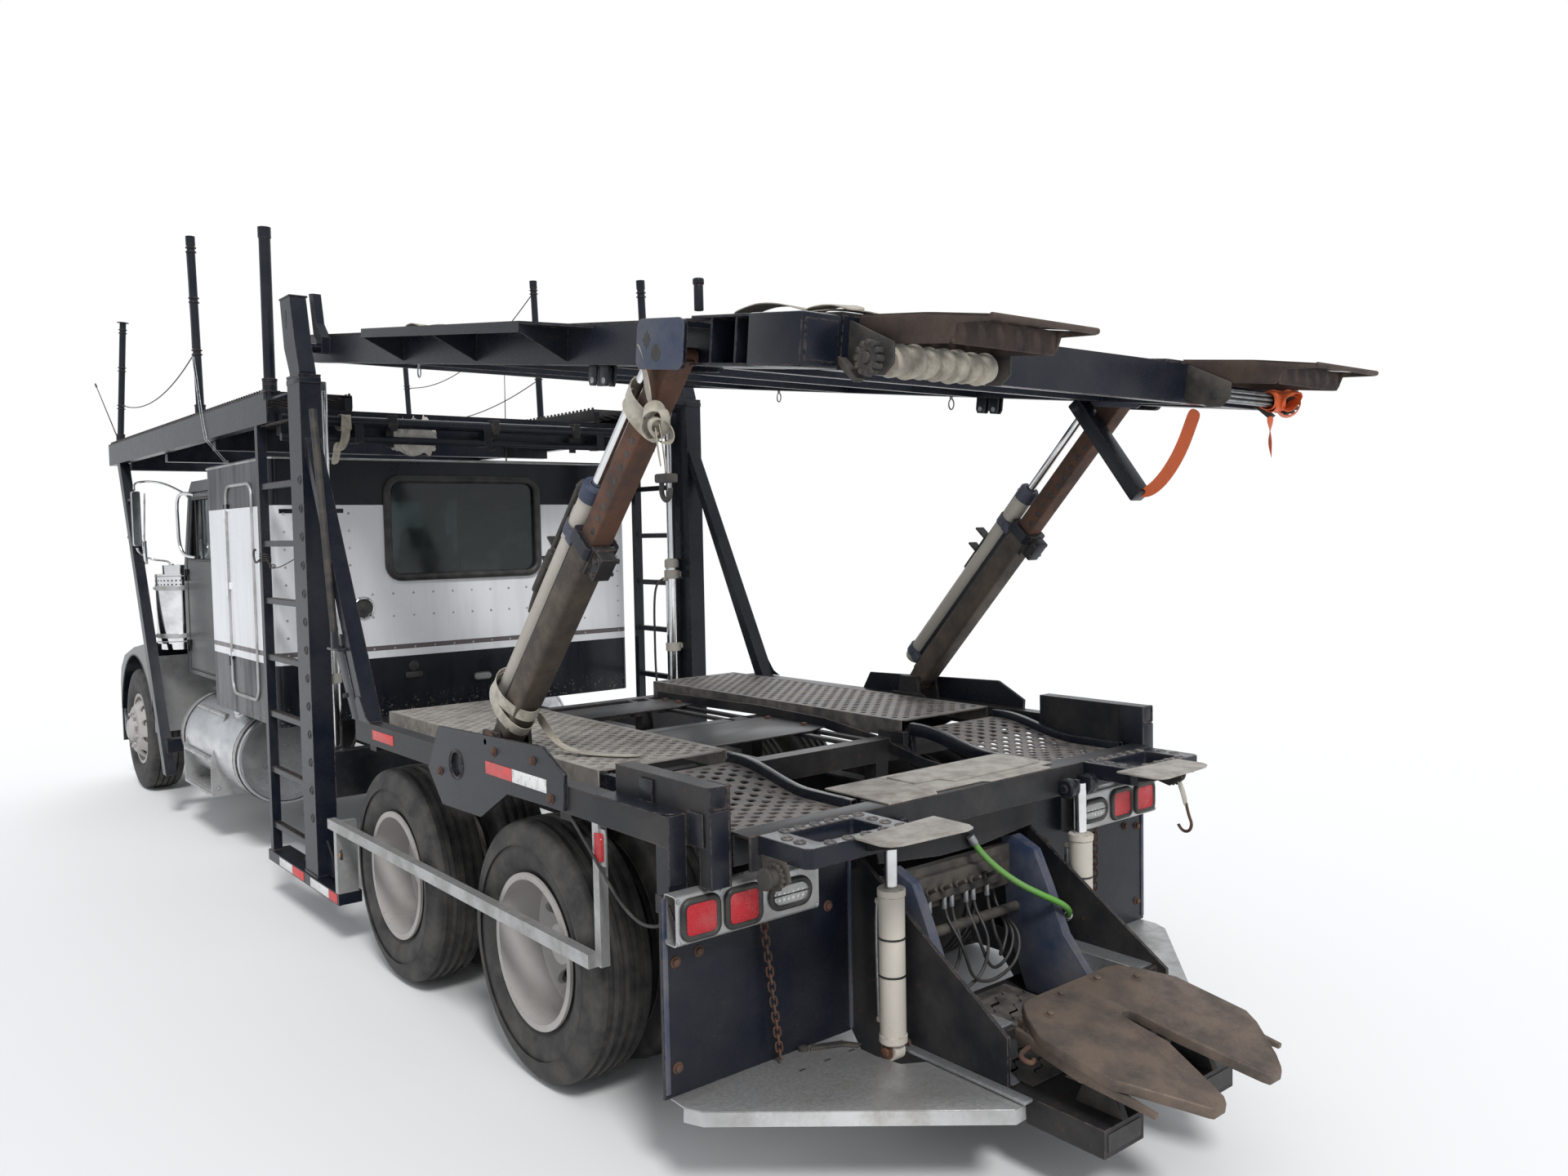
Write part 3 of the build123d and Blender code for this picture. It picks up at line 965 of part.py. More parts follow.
def main():
    """Write every node."""
    os.makedirs("parts", exist_ok=True)
    build_wheels()
    build_axles()
    build_chassis()
    build_cab()
    build_sleeper()
    build_hood()
    build_tanks()
    build_headrack()
    build_posts()
    build_lower_deck()
    build_tail()
    build_upper_deck()
    build_legs()
    build_stinger()


main()
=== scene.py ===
"""Looks for the car transporter truck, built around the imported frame."""
import json
import logging
import math
from dataclasses import dataclass, field
from enum import Enum

import bpy
from mathutils import Matrix, Vector

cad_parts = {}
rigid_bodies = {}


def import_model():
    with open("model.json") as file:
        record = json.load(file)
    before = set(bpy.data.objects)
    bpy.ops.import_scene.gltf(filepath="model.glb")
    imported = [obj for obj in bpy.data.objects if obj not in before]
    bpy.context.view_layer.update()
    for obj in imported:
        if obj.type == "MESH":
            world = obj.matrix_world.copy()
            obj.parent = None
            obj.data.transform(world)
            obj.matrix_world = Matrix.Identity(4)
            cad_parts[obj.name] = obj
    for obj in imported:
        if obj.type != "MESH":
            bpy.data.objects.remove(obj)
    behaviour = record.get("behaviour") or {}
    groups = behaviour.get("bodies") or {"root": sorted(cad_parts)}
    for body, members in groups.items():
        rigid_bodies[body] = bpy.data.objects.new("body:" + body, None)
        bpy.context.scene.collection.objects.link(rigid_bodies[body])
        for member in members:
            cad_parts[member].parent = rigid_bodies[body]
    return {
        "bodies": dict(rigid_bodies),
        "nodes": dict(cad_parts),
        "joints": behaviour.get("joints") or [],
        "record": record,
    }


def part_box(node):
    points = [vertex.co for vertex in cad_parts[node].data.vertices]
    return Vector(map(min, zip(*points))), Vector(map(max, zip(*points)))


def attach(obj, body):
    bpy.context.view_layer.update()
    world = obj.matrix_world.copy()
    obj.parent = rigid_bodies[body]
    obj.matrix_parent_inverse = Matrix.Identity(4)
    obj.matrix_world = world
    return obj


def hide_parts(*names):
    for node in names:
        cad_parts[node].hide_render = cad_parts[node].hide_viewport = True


Flat = tuple[float, float]
Point = tuple[float, float, float]
Colour = tuple[float, float, float]
Piece = bpy.types.Object
Socket = bpy.types.NodeSocket
LOG = logging.getLogger("transporter")
DECK = Matrix.Translation((0, -0.41, 3.131)) @ Matrix.Rotation(math.radians(7.04), 4, "X")
LEG = Matrix.Translation((0, -2.62, 1.3)) @ Matrix.Rotation(math.radians(-47.18), 4, "X")
MIRROR = Matrix.Scale(-1, 4, (1, 0, 0))
SIDES = (("left", -1), ("right", 1))
STEER_Y = 4.35
DRIVES = (("front_drive", -1.5), ("rear_drive", -2.87))
AXLE_Z = 0.515
MERGED = 1e-5
ROUNDED_FROM = math.radians(35)


class Place(Enum):
    """Bodies that dressed pieces ride on."""

    CHASSIS = "chassis"
    HOOD = "hood"
    UPPER_DECK = "upper_deck"
    LEG_TUBES = "leg_tubes"
    LEG_RODS = "leg_rods"
    TAIL = "tail_deck"
    LIFT_BARRELS = "lift_barrels"
    FIFTH_WHEEL = "fifth_wheel"


class Tree:
    """A material's node tree, with short calls for what the finishes share."""

    def __init__(self, name: str) -> None:
        """Start an empty material with one Principled shader.

        Args:
            name: the material's name.
        """
        self.material = bpy.data.materials.new(name)
        self.material.use_nodes = True
        self.nodes = self.material.node_tree.nodes
        self.links = self.material.node_tree.links
        self.shader = self.nodes["Principled BSDF"]
        self.coords = self.nodes.new("ShaderNodeTexCoord").outputs["Object"]

    def link(self, output: Socket, name: str) -> None:
        """Join an output to the shader's named socket."""
        self.links.new(output, self.shader.inputs[name])

    def stretch(self, scale: Point) -> Socket:
        """Object coordinates stretched by a scale on each axis."""
        node = self.nodes.new("ShaderNodeMapping")
        node.inputs["Scale"].default_value = scale
        self.links.new(self.coords, node.inputs["Vector"])
        return node.outputs["Vector"]

    def noise(self, scale: float, detail: float = 4.0, rough: float = 0.6,
            stretch: Point = (1, 1, 1)) -> Socket:
        """Noise over the object.

        Args:
            scale: cells per metre.
            detail: octaves.
            rough: roughness of the octaves.
            stretch: scale on each axis.

        Returns:
            The noise's grey socket.
        """
        node = self.nodes.new("ShaderNodeTexNoise")
        node.inputs["Scale"].default_value = scale
        node.inputs["Detail"].default_value = detail
        node.inputs["Roughness"].default_value = rough
        self.links.new(self.stretch(stretch), node.inputs["Vector"])
        return node.outputs["Fac"]

    def cells(self, scale: float, stretch: Point = (1, 1, 1)) -> Socket:
        """Distance to the nearest cell point.

        Args:
            scale: cells per metre.
            stretch: scale on each axis.

        Returns:
            The distance socket.
        """
        node = self.nodes.new("ShaderNodeTexVoronoi")
        node.inputs["Scale"].default_value = scale
        self.links.new(self.stretch(stretch), node.inputs["Vector"])
        return node.outputs["Distance"]

    def ramp(self, grey: Socket, low: float, high: float, start: float = 0.0, end: float = 1.0) -> Socket:
        """Map a grey value between two limits.

        Args:
            grey: the value to map.
            low: value that gives start.
            high: value that gives end.
            start: result at low.
            end: result at high.

        Returns:
            The mapped socket.
        """
        node = self.nodes.new("ShaderNodeMapRange")
        for name, value in (("From Min", low), ("From Max", high), ("To Min", start), ("To Max", end)):
            node.inputs[name].default_value = value
        self.links.new(grey, node.inputs["Value"])
        return node.outputs["Result"]

    def math(self, operation: str, first: Socket, second: Socket | float) -> Socket:
        """One math step, held between 0 and 1.

        Args:
            operation: the math node's operation.
            first: the first value.
            second: the second value, a socket or a number.

        Returns:
            The result socket.
        """
        node = self.nodes.new("ShaderNodeMath")
        node.operation = operation
        node.use_clamp = True
        self.links.new(first, node.inputs[0])
        if isinstance(second, (int, float)):
            node.inputs[1].default_value = second
        else:
            self.links.new(second, node.inputs[1])
        return node.outputs[0]

    def mix(self, grey: Socket, first: "Colour | Socket", second: "Colour | Socket") -> Socket:
        """Blend two colours by a grey value.

        Args:
            grey: 0 gives first, 1 gives second.
            first: a colour or a colour socket.
            second: a colour or a colour socket.

        Returns:
            The colour socket.
        """
        node = self.nodes.new("ShaderNodeMix")
        node.data_type = "RGBA"
        self.links.new(grey, node.inputs["Factor"])
        for name, value in (("A", first), ("B", second)):
            socket = [s for s in node.inputs if s.name == name and s.type == "RGBA"][0]
            if isinstance(value, tuple):
                socket.default_value = (*value, 1)
            else:
                self.links.new(value, socket)
        return [s for s in node.outputs if s.type == "RGBA"][0]

    def height(self) -> Socket:
        """The Z coordinate of the object, in metres."""
        node = self.nodes.new("ShaderNodeSeparateXYZ")
        self.links.new(self.coords, node.inputs[0])
        return node.outputs["Z"]

    def edges(self, radius: float = 0.006) -> Socket:
        """Grey value that is high on sharp edges.

        Args:
            radius: how wide the worn edge is, in metres.

        Returns:
            The mask socket.
        """
        bevel = self.nodes.new("ShaderNodeBevel")
        bevel.samples = 4
        bevel.inputs["Radius"].default_value = radius
        flat = self.nodes.new("ShaderNodeNewGeometry")
        dot = self.nodes.new("ShaderNodeVectorMath")
        dot.operation = "DOT_PRODUCT"
        self.links.new(bevel.outputs["Normal"], dot.inputs[0])
        self.links.new(flat.outputs["Normal"], dot.inputs[1])
        return self.ramp(dot.outputs["Value"], 0.995, 0.86)

    def bump(self, grey: Socket, distance: float, strength: float = 1.0) -> None:
        """Raise the surface by a grey value.

        Args:
            grey: the height.
            distance: metres of height at 1.
            strength: share of it that shows.
        """
        node = self.nodes.new("ShaderNodeBump")
        node.inputs["Strength"].default_value = strength
        node.inputs["Distance"].default_value = distance
        self.links.new(grey, node.inputs["Height"])
        self.links.new(node.outputs["Normal"], self.shader.inputs["Normal"])


@dataclass(frozen=True)
class WornPaint:
    """Paint with dust, worn edges and rust chips."""

    name: str
    colour: Colour
    chip: Colour = (0.16, 0.12, 0.1)
    rust: Colour = (0.2, 0.075, 0.03)
    dust: Colour = (0.3, 0.27, 0.235)
    wear: float = 0.5
    rusting: float = 0.25
    dusty: float = 0.3
    gloss: float = 0.35

    def make(self) -> bpy.types.Material:
        """Build the material.

        Returns:
            The new material.
        """
        tree = Tree(self.name)
        cloud = tree.noise(3.1, 5, 0.65)
        grain = tree.noise(46, 6, 0.7)
        fine = tree.noise(230, 3, 0.6)
        dust = tree.math("MULTIPLY", tree.ramp(cloud, 0.38, 0.75), self.dusty)
        colour = tree.mix(dust, self.colour, self.dust)
        rust = tree.math("MULTIPLY", tree.ramp(grain, 0.6, 0.68), tree.ramp(cloud, 0.5, 0.62))
        rust = tree.math("MULTIPLY", rust, self.rusting * 2)
        colour = tree.mix(rust, colour, self.rust)
        chips = tree.math("MULTIPLY", tree.edges(), tree.ramp(grain, 0.42, 0.56))
        chips = tree.math("MULTIPLY", chips, self.wear * 1.6)
        colour = tree.mix(chips, colour, self.chip)
        tree.link(colour, "Base Color")
        rough = tree.math("ADD", tree.ramp(fine, 0.3, 0.7, self.gloss - 0.06, self.gloss + 0.1),
            tree.math("MAXIMUM", dust, tree.math("MAXIMUM", rust, chips)))
        tree.link(rough, "Roughness")
        tree.bump(tree.math("SUBTRACT", tree.ramp(fine, 0.2, 0.8), tree.math("MAXIMUM", rust, chips)), 0.0006,
            0.5)
        tree.shader.inputs["Specular IOR Level"].default_value = 0.22
        tree.shader.inputs["Coat Weight"].default_value = 0.08
        tree.shader.inputs["Coat Roughness"].default_value = 0.2
        return tree.material


@dataclass(frozen=True)
class BareSteel:
    """Bare or rusty metal, trodden or rubbed."""

    name: str
    colour: Colour
    stain: Colour
    metallic: float = 0.6
    rough: float = 0.5
    scale: float = 14
    relief: float = 0.001

    def make(self) -> bpy.types.Material:
        """Build the material.

        Returns:
            The new material.
        """
        tree = Tree(self.name)
        cloud = tree.noise(self.scale, 6, 0.65)
        broad = tree.noise(self.scale / 5, 4, 0.6)
        fine = tree.noise(self.scale * 14, 4, 0.7)
        stain = tree.math("ADD", tree.math("MULTIPLY", tree.ramp(cloud, 0.42, 0.62), 0.65),
            tree.math("MULTIPLY", tree.ramp(broad, 0.4, 0.7), 0.35))
        tree.link(tree.mix(stain, self.colour, self.stain), "Base Color")
        tree.link(tree.math("ADD", tree.ramp(fine, 0.3, 0.7, self.rough - 0.1, self.rough + 0.12),
                tree.math("MULTIPLY", stain, 0.2)), "Roughness")
        tree.shader.inputs["Metallic"].default_value = self.metallic
        tree.bump(tree.math("ADD", tree.math("MULTIPLY", fine, 0.5), tree.math("MULTIPLY", cloud, 0.5)),
            self.relief, 0.7)
        return tree.material


@dataclass(frozen=True)
class BandedPaint:
    """Sleeper paint: dark, with a pale band between two heights."""

    name: str
    dark: Colour
    pale: Colour
    low: float
    high: float

    def make(self) -> bpy.types.Material:
        """Build the material.

        Returns:
            The new material.
        """
        tree = Tree(self.name)
        height = tree.height()
        band = tree.math("MULTIPLY", tree.math("GREATER_THAN", height, self.low),
            tree.math("LESS_THAN", height, self.high))
        line = tree.math("MULTIPLY", tree.math("GREATER_THAN", height, self.low + 0.045),
            tree.math("LESS_THAN", height, self.low + 0.075))
        cloud = tree.noise(2.4, 5, 0.6)
        streak = tree.noise(9, 5, 0.6, (1, 1, 0.12))
        grain = tree.noise(60, 5, 0.7)
        dirt = tree.math("MULTIPLY", tree.ramp(streak, 0.45, 0.8), 0.35)
        pale = tree.mix(dirt, self.pale, (0.42, 0.4, 0.37))
        dark = tree.mix(tree.math("MULTIPLY", tree.ramp(cloud, 0.45, 0.8), 0.08), self.dark,
            (0.16, 0.15, 0.14))
        colour = tree.mix(band, dark, pale)
        colour = tree.mix(tree.math("MULTIPLY", line, 0.9), colour, (0.055, 0.03, 0.035))
        chips = tree.math("MULTIPLY", tree.ramp(grain, 0.6, 0.66), tree.ramp(height, 1.14, 1.02))
        colour = tree.mix(chips, colour, (0.42, 0.36, 0.28))
        tree.link(colour, "Base Color")
        tree.link(tree.math("ADD", tree.ramp(cloud, 0.3, 0.7, 0.22, 0.36), dirt), "Roughness")
        tree.bump(tree.ramp(grain, 0.3, 0.7), 0.0004, 0.35)
        tree.shader.inputs["Specular IOR Level"].default_value = 0.28
        tree.shader.inputs["Coat Weight"].default_value = 0.12
        tree.shader.inputs["Coat Roughness"].default_value = 0.12
        return tree.material


@dataclass(frozen=True)
class Polished:
    """Chrome or polished aluminium with smears."""

    name: str
    colour: Colour
    rough: float = 0.1
    dull: float = 0.25

    def make(self) -> bpy.types.Material:
        """Build the material.

        Returns:
            The new material.
        """
        tree = Tree(self.name)
        smear = tree.noise(7, 5, 0.6, (1, 0.4, 1))
        fine = tree.noise(160, 3, 0.6)
        tree.link(tree.mix(tree.ramp(smear, 0.4, 0.8), self.colour, tuple(c * 0.62 for c in self.colour)),
            "Base Color")
        tree.link(tree.math("ADD", tree.ramp(smear, 0.35, 0.75, self.rough, self.rough + self.dull),
                tree.math("MULTIPLY", fine, 0.06)), "Roughness")
        tree.shader.inputs["Metallic"].default_value = 1.0
        tree.bump(tree.math("MULTIPLY", fine, 1.0), 0.0002, 0.3)
        return tree.material


@dataclass(frozen=True)
class Rubber:
    """Rubber or plastic with dust in its grain."""

    name: str
    colour: Colour
    dust: Colour = (0.22, 0.2, 0.175)
    dusty: float = 0.5
    rough: float = 0.7

    def make(self) -> bpy.types.Material:
        """Build the material.

        Returns:
            The new material.
        """
        tree = Tree(self.name)
        cloud = tree.noise(8, 5, 0.65)
        fine = tree.noise(140, 4, 0.7)
        dust = tree.math("MULTIPLY", tree.ramp(cloud, 0.35, 0.72), self.dusty)
        tree.link(tree.mix(dust, self.colour, self.dust), "Base Color")
        tree.link(tree.math("ADD", tree.ramp(fine, 0.3, 0.7, self.rough - 0.08, self.rough + 0.05),
                tree.math("MULTIPLY", dust, 0.3)), "Roughness")
        tree.bump(fine, 0.0005, 0.5)
        return tree.material


@dataclass(frozen=True)
class Glass:
    """Window glass or a lamp lens, with dust."""

    name: str
    colour: Colour
    clear: float = 0.85
    rough: float = 0.04
    ribs: float = 0.0
    glow: float = 0.0

    def make(self) -> bpy.types.Material:
        """Build the material.

        Returns:
            The new material.
        """
        tree = Tree(self.name)
        smear = tree.noise(6, 5, 0.6)
        fine = tree.noise(150, 3, 0.6)
        tree.link(tree.mix(tree.math("MULTIPLY", tree.ramp(smear, 0.5, 0.8), 0.25), self.colour,
                (0.45, 0.44, 0.42)), "Base Color")
        tree.link(tree.math("ADD", tree.ramp(smear, 0.4, 0.8, self.rough, self.rough + 0.12),
                tree.math("MULTIPLY", fine, 0.02)), "Roughness")
        tree.shader.inputs["Transmission Weight"].default_value = self.clear
        tree.shader.inputs["IOR"].default_value = 1.45
        if self.ribs:
            tree.bump(tree.cells(self.ribs), 0.002, 0.8)
        if self.glow:
            tree.shader.inputs["Emission Color"].default_value = (*self.colour, 1)
            tree.shader.inputs["Emission Strength"].default_value = self.glow
        return tree.material


@dataclass(frozen=True)
class Weave:
    """Webbing or canvas."""

    name: str
    colour: Colour
    stain: Colour
    thread: float = 900

    def make(self) -> bpy.types.Material:
        """Build the material.

        Returns:
            The new material.
        """
        tree = Tree(self.name)
        cloud = tree.noise(16, 5, 0.65)
        weave = tree.cells(self.thread, (1, 1, 0.6))
        tree.link(tree.mix(tree.ramp(cloud, 0.4, 0.7), self.colour, self.stain), "Base Color")
        tree.link(tree.ramp(weave, 0.0, 1.0, 0.8, 0.95), "Roughness")
        tree.bump(weave, 0.0008, 0.8)
        tree.shader.inputs["Sheen Weight"].default_value = 0.3
        return tree.material


@dataclass(frozen=True)
class Tape:
    """Reflective tape in red and white lengths along Y."""

    name: str
    length: float = 0.3

    def make(self) -> bpy.types.Material:
        """Build the material.

        Returns:
            The new material.
        """
        tree = Tree(self.name)
        split = tree.nodes.new("ShaderNodeSeparateXYZ")
        tree.links.new(tree.coords, split.inputs[0])
        phase = tree.nodes.new("ShaderNodeMath")
        phase.operation = "PINGPONG"
        phase.inputs[1].default_value = self.length
        tree.links.new(split.outputs["Y"], phase.inputs[0])
        cloud = tree.noise(30, 4, 0.6)
        red = tree.math("GREATER_THAN", phase.outputs[0], self.length / 2)
        colour = tree.mix(red, (0.75, 0.75, 0.74), (0.62, 0.03, 0.03))
        tree.link(tree.mix(tree.math("MULTIPLY", tree.ramp(cloud, 0.5, 0.7), 0.5), colour, (0.2, 0.18, 0.16)),
            "Base Color")
        tree.link(tree.ramp(cloud, 0.3, 0.7, 0.25, 0.5), "Roughness")
        tree.bump(tree.cells(420), 0.0003, 0.5)
        return tree.material


class Finishes:
    """Every finish, made once."""

    def __init__(self) -> None:
        """Make the materials."""
        recipes = (
            WornPaint("dark_paint", (0.0065, 0.009, 0.016), dusty=0.05, rusting=0.12, wear=0.45, gloss=0.26),
            WornPaint("rough_dark", (0.01, 0.011, 0.014), dusty=0.12, rusting=0.3, wear=0.6, gloss=0.4),
            WornPaint("cab_black", (0.0045, 0.0055, 0.009), dusty=0.03, rusting=0.02, wear=0.08, gloss=0.14),
            WornPaint("blue_paint", (0.03, 0.045, 0.085), dusty=0.4, rusting=0.4, wear=0.6, gloss=0.4),
            WornPaint("cream_paint", (0.52, 0.48, 0.42), chip=(0.2, 0.17, 0.14), dusty=0.35, rusting=0.3,
                      wear=0.6, gloss=0.45),
            WornPaint("wheel_paint", (0.42, 0.4, 0.39), chip=(0.2, 0.16, 0.13), dusty=0.5, rusting=0.3,
                      wear=0.3, gloss=0.45),
            BandedPaint("sleeper_paint", (0.008, 0.009, 0.014), (0.76, 0.77, 0.79), 1.365, 2.31),
            BareSteel("deck_steel", (0.09, 0.085, 0.085), (0.24, 0.21, 0.185), 0.5, 0.5),
            # pale_deck: pale dusty steel; on the left lower track its paleness is painted sunlight.
            BareSteel("pale_deck", (0.4, 0.37, 0.335), (0.22, 0.195, 0.17), 0.25, 0.62, 11),
            BareSteel("rust_steel", (0.13, 0.06, 0.035), (0.06, 0.045, 0.04), 0.25, 0.7, 9, 0.0016),
            BareSteel("skid_rust", (0.085, 0.055, 0.042), (0.035, 0.028, 0.026), 0.3, 0.6, 7, 0.0012),
            BareSteel("leg_brown", (0.11, 0.085, 0.066), (0.045, 0.037, 0.032), 0.25, 0.6, 6, 0.0008),
            BareSteel("cast_iron", (0.035, 0.034, 0.034), (0.1, 0.085, 0.07), 0.3, 0.6, 12, 0.0016),
            BareSteel("dull_aluminium", (0.5, 0.5, 0.5), (0.3, 0.29, 0.275), 0.75, 0.42, 6, 0.0004),
            BareSteel("fifth_steel", (0.17, 0.125, 0.095), (0.07, 0.06, 0.055), 0.4, 0.55, 8, 0.0016),
            BareSteel("galvanised", (0.42, 0.43, 0.44), (0.25, 0.25, 0.25), 0.8, 0.4, 30, 0.0005),
            Polished("chrome", (0.8, 0.8, 0.8), 0.05, 0.16),
            Polished("mirror_glass", (0.6, 0.66, 0.68), 0.1, 0.06),
            Polished("tank_aluminium", (0.66, 0.67, 0.68), 0.2, 0.25),
            Rubber("tyre_rubber", (0.012, 0.012, 0.013), dusty=0.3),
            Rubber("black_rubber", (0.01, 0.01, 0.011), dusty=0.25, rough=0.5),
            Rubber("trim_plastic", (0.055, 0.052, 0.05), dusty=0.2),
            Weave("seat_cloth", (0.075, 0.068, 0.072), (0.03, 0.028, 0.032), 380),
            Weave("mattress_cloth", (0.3, 0.31, 0.35), (0.17, 0.18, 0.21), 420),
            Rubber("green_hose", (0.1, 0.3, 0.04), dusty=0.3, rough=0.45),
            Rubber("orange_ribbon", (0.8, 0.14, 0.03), dusty=0.2, rough=0.5),
            Glass("window_glass", (0.13, 0.17, 0.17), 0.9),
            Glass("red_lens", (0.55, 0.02, 0.03), 0.35, 0.12, 260, 0.08),
            Glass("amber_lens", (0.85, 0.28, 0.02), 0.35, 0.12, 260, 0.05),
            Glass("clear_lens", (0.85, 0.85, 0.84), 0.75, 0.08, 180),
            Weave("strap_webbing", (0.46, 0.42, 0.34), (0.22, 0.19, 0.15)),
            Weave("pale_cloth", (0.6, 0.57, 0.52), (0.4, 0.36, 0.32), 500),
            Tape("marker_tape"),
        )
        self.made = {recipe.name: recipe.make() for recipe in recipes}

    def __getitem__(self, name: str) -> bpy.types.Material:
        """The material of that name."""
        return self.made[name]


class Bench:
    """Modelling moves that the sub-assemblies share."""

    @staticmethod
    def clear() -> None:
        """Leave edit mode and deselect everything."""
        if bpy.context.object and bpy.context.object.mode != "OBJECT":
            bpy.ops.object.mode_set(mode="OBJECT")
        bpy.ops.object.select_all(action="DESELECT")

    @staticmethod
    def pick(piece: Piece) -> None:
        """Select a piece alone and make it active."""
        Bench.clear()
        piece.select_set(True)
        bpy.context.view_layer.objects.active = piece

    @staticmethod
    def apply(piece: Piece, kind: str, **settings: object) -> None:
        """Apply a modifier to the active piece.

        Args:
            piece: the active piece.
            kind: the modifier's type.
            settings: the modifier's settings.
        """
        modifier = piece.modifiers.new(kind.lower(), kind)
        for name, value in settings.items():
            setattr(modifier, name, value)
        bpy.ops.object.modifier_apply(modifier=modifier.name)

    @staticmethod
    def outward() -> None:
        """Turn every normal outward and leave edit mode."""
        bpy.ops.mesh.select_all(action="SELECT")
        bpy.ops.mesh.normals_make_consistent(inside=False)
        bpy.ops.object.mode_set(mode="OBJECT")

    @staticmethod
    def finish(piece: Piece, bevel: float = 0.0, steps: int = 2, angle: float = 40) -> Piece:
        """Round the sharp edges of a piece and shade it.

        Args:
            piece: the piece.
            bevel: width of the rounding in metres, or 0.
            steps: segments of the rounding.
            angle: edges sharper than this many degrees stay sharp.

        Returns:
            The same piece.
        """
        Bench.pick(piece)
        bpy.ops.object.transform_apply(location=True, rotation=True, scale=True)
        if bevel:
            Bench.apply(piece, "BEVEL", width=bevel, segments=steps, limit_method="ANGLE",
                angle_limit=ROUNDED_FROM)
        bpy.ops.object.shade_smooth_by_angle(angle=math.radians(angle))
        return piece

    @staticmethod
    def box(low: Point, high: Point, bevel: float = 0.003, turn: Point = (0, 0, 0)) -> Piece:
        """Rounded box between two corners, turned about its middle.

        Args:
            low: lowest corner.
            high: highest corner.
            bevel: width of the rounding.
            turn: turn about X, Y and Z in degrees.

        Returns:
            The new piece.
        """
        Bench.clear()
        centre = [(a + b) / 2 for a, b in zip(low, high)]
        size = [abs(b - a) for a, b in zip(low, high)]
        bpy.ops.mesh.primitive_cube_add(size=1, location=centre, rotation=[math.radians(t) for t in turn],
            scale=size)
        return Bench.finish(bpy.context.object, bevel)

    @staticmethod
    def rod(start: Point, end: Point, radius: float, sides: int = 20, bevel: float = 0.0,
            radius_end: float | None = None) -> Piece:
        """Round rod or cone between two points.

        Args:
            start: middle of the first end.
            end: middle of the second end.
            radius: radius at the first end.
            sides: faces round it.
            bevel: width of the rounding.
            radius_end: radius at the second end, if another.

        Returns:
            The new piece.
        """
        Bench.clear()
        a, b = Vector(start), Vector(end)
        turn = (b - a).to_track_quat("Z", "Y").to_euler()
        bpy.ops.mesh.primitive_cone_add(vertices=sides, radius1=radius, radius2=radius if radius_end is None
            else radius_end, depth=(b - a).length, location=(a + b) / 2, rotation=turn)
        return Bench.finish(bpy.context.object, bevel, 2, 50)

    @staticmethod
    def chain_points(points: list[Point], closed: bool) -> Piece:
        """Line of edges through points, left in edit mode with all selected.

        Args:
            points: the points in order.
            closed: whether the last joins the first.

        Returns:
            The new piece.
        """
        Bench.clear()
        bpy.ops.mesh.primitive_plane_add(size=0.01)
        bpy.ops.object.mode_set(mode="EDIT")
        bpy.ops.mesh.select_mode(type="VERT")
        bpy.ops.mesh.select_all(action="SELECT")
        bpy.ops.mesh.merge(type="CENTER")
        bpy.ops.transform.translate(value=points[0])
        path = [Vector(p) for p in points] + ([Vector(points[0])] if closed else [])
        for a, b in zip(path, path[1:]):
            bpy.ops.mesh.extrude_region_move(TRANSFORM_OT_translate={"value": b - a})
        bpy.ops.mesh.select_all(action="SELECT")
        if closed:
            bpy.ops.mesh.remove_doubles(threshold=MERGED)
        return bpy.context.object

    @staticmethod
    def plate(points: list[Point], depth: Point, bevel: float = 0.0, steps: int = 2) -> Piece:
        """Flat plate with an outline, given its thickness.

        Args:
            points: the outline's points, all in one plane.
            depth: move that gives the thickness.
            bevel: width of the rounding.
            steps: segments of the rounding.

        Returns:
            The new piece.
        """
        piece = Bench.chain_points(points, True)
        bpy.ops.mesh.edge_face_add()
        bpy.ops.mesh.extrude_region_move(TRANSFORM_OT_translate={"value": Vector(depth)})
        Bench.outward()
        return Bench.finish(piece, bevel, steps)

    @staticmethod
    def lathe(profile: list[Flat], centre: Point, axis: Point, steps: int = 48,
            closed: bool = False) -> Piece:
        """Turned piece.

        Args:
            profile: (distance along the axis, radius) pairs.
            centre: point on the axis where the distance is 0.
            axis: direction of the axis.
            steps: steps round it.
            closed: whether the profile is a closed loop.

        Returns:
            The new piece.
        """
        along = Vector(axis).normalized()
        out = along.orthogonal().normalized()
        points = [tuple(Vector(centre) + along * t + out * r) for t, r in profile]
        piece = Bench.chain_points(points, closed)
        bpy.ops.mesh.spin(steps=steps, angle=2 * math.pi, center=centre, axis=along)
        bpy.ops.mesh.select_all(action="SELECT")
        bpy.ops.mesh.remove_doubles(threshold=MERGED)
        Bench.outward()
        return Bench.finish(piece)

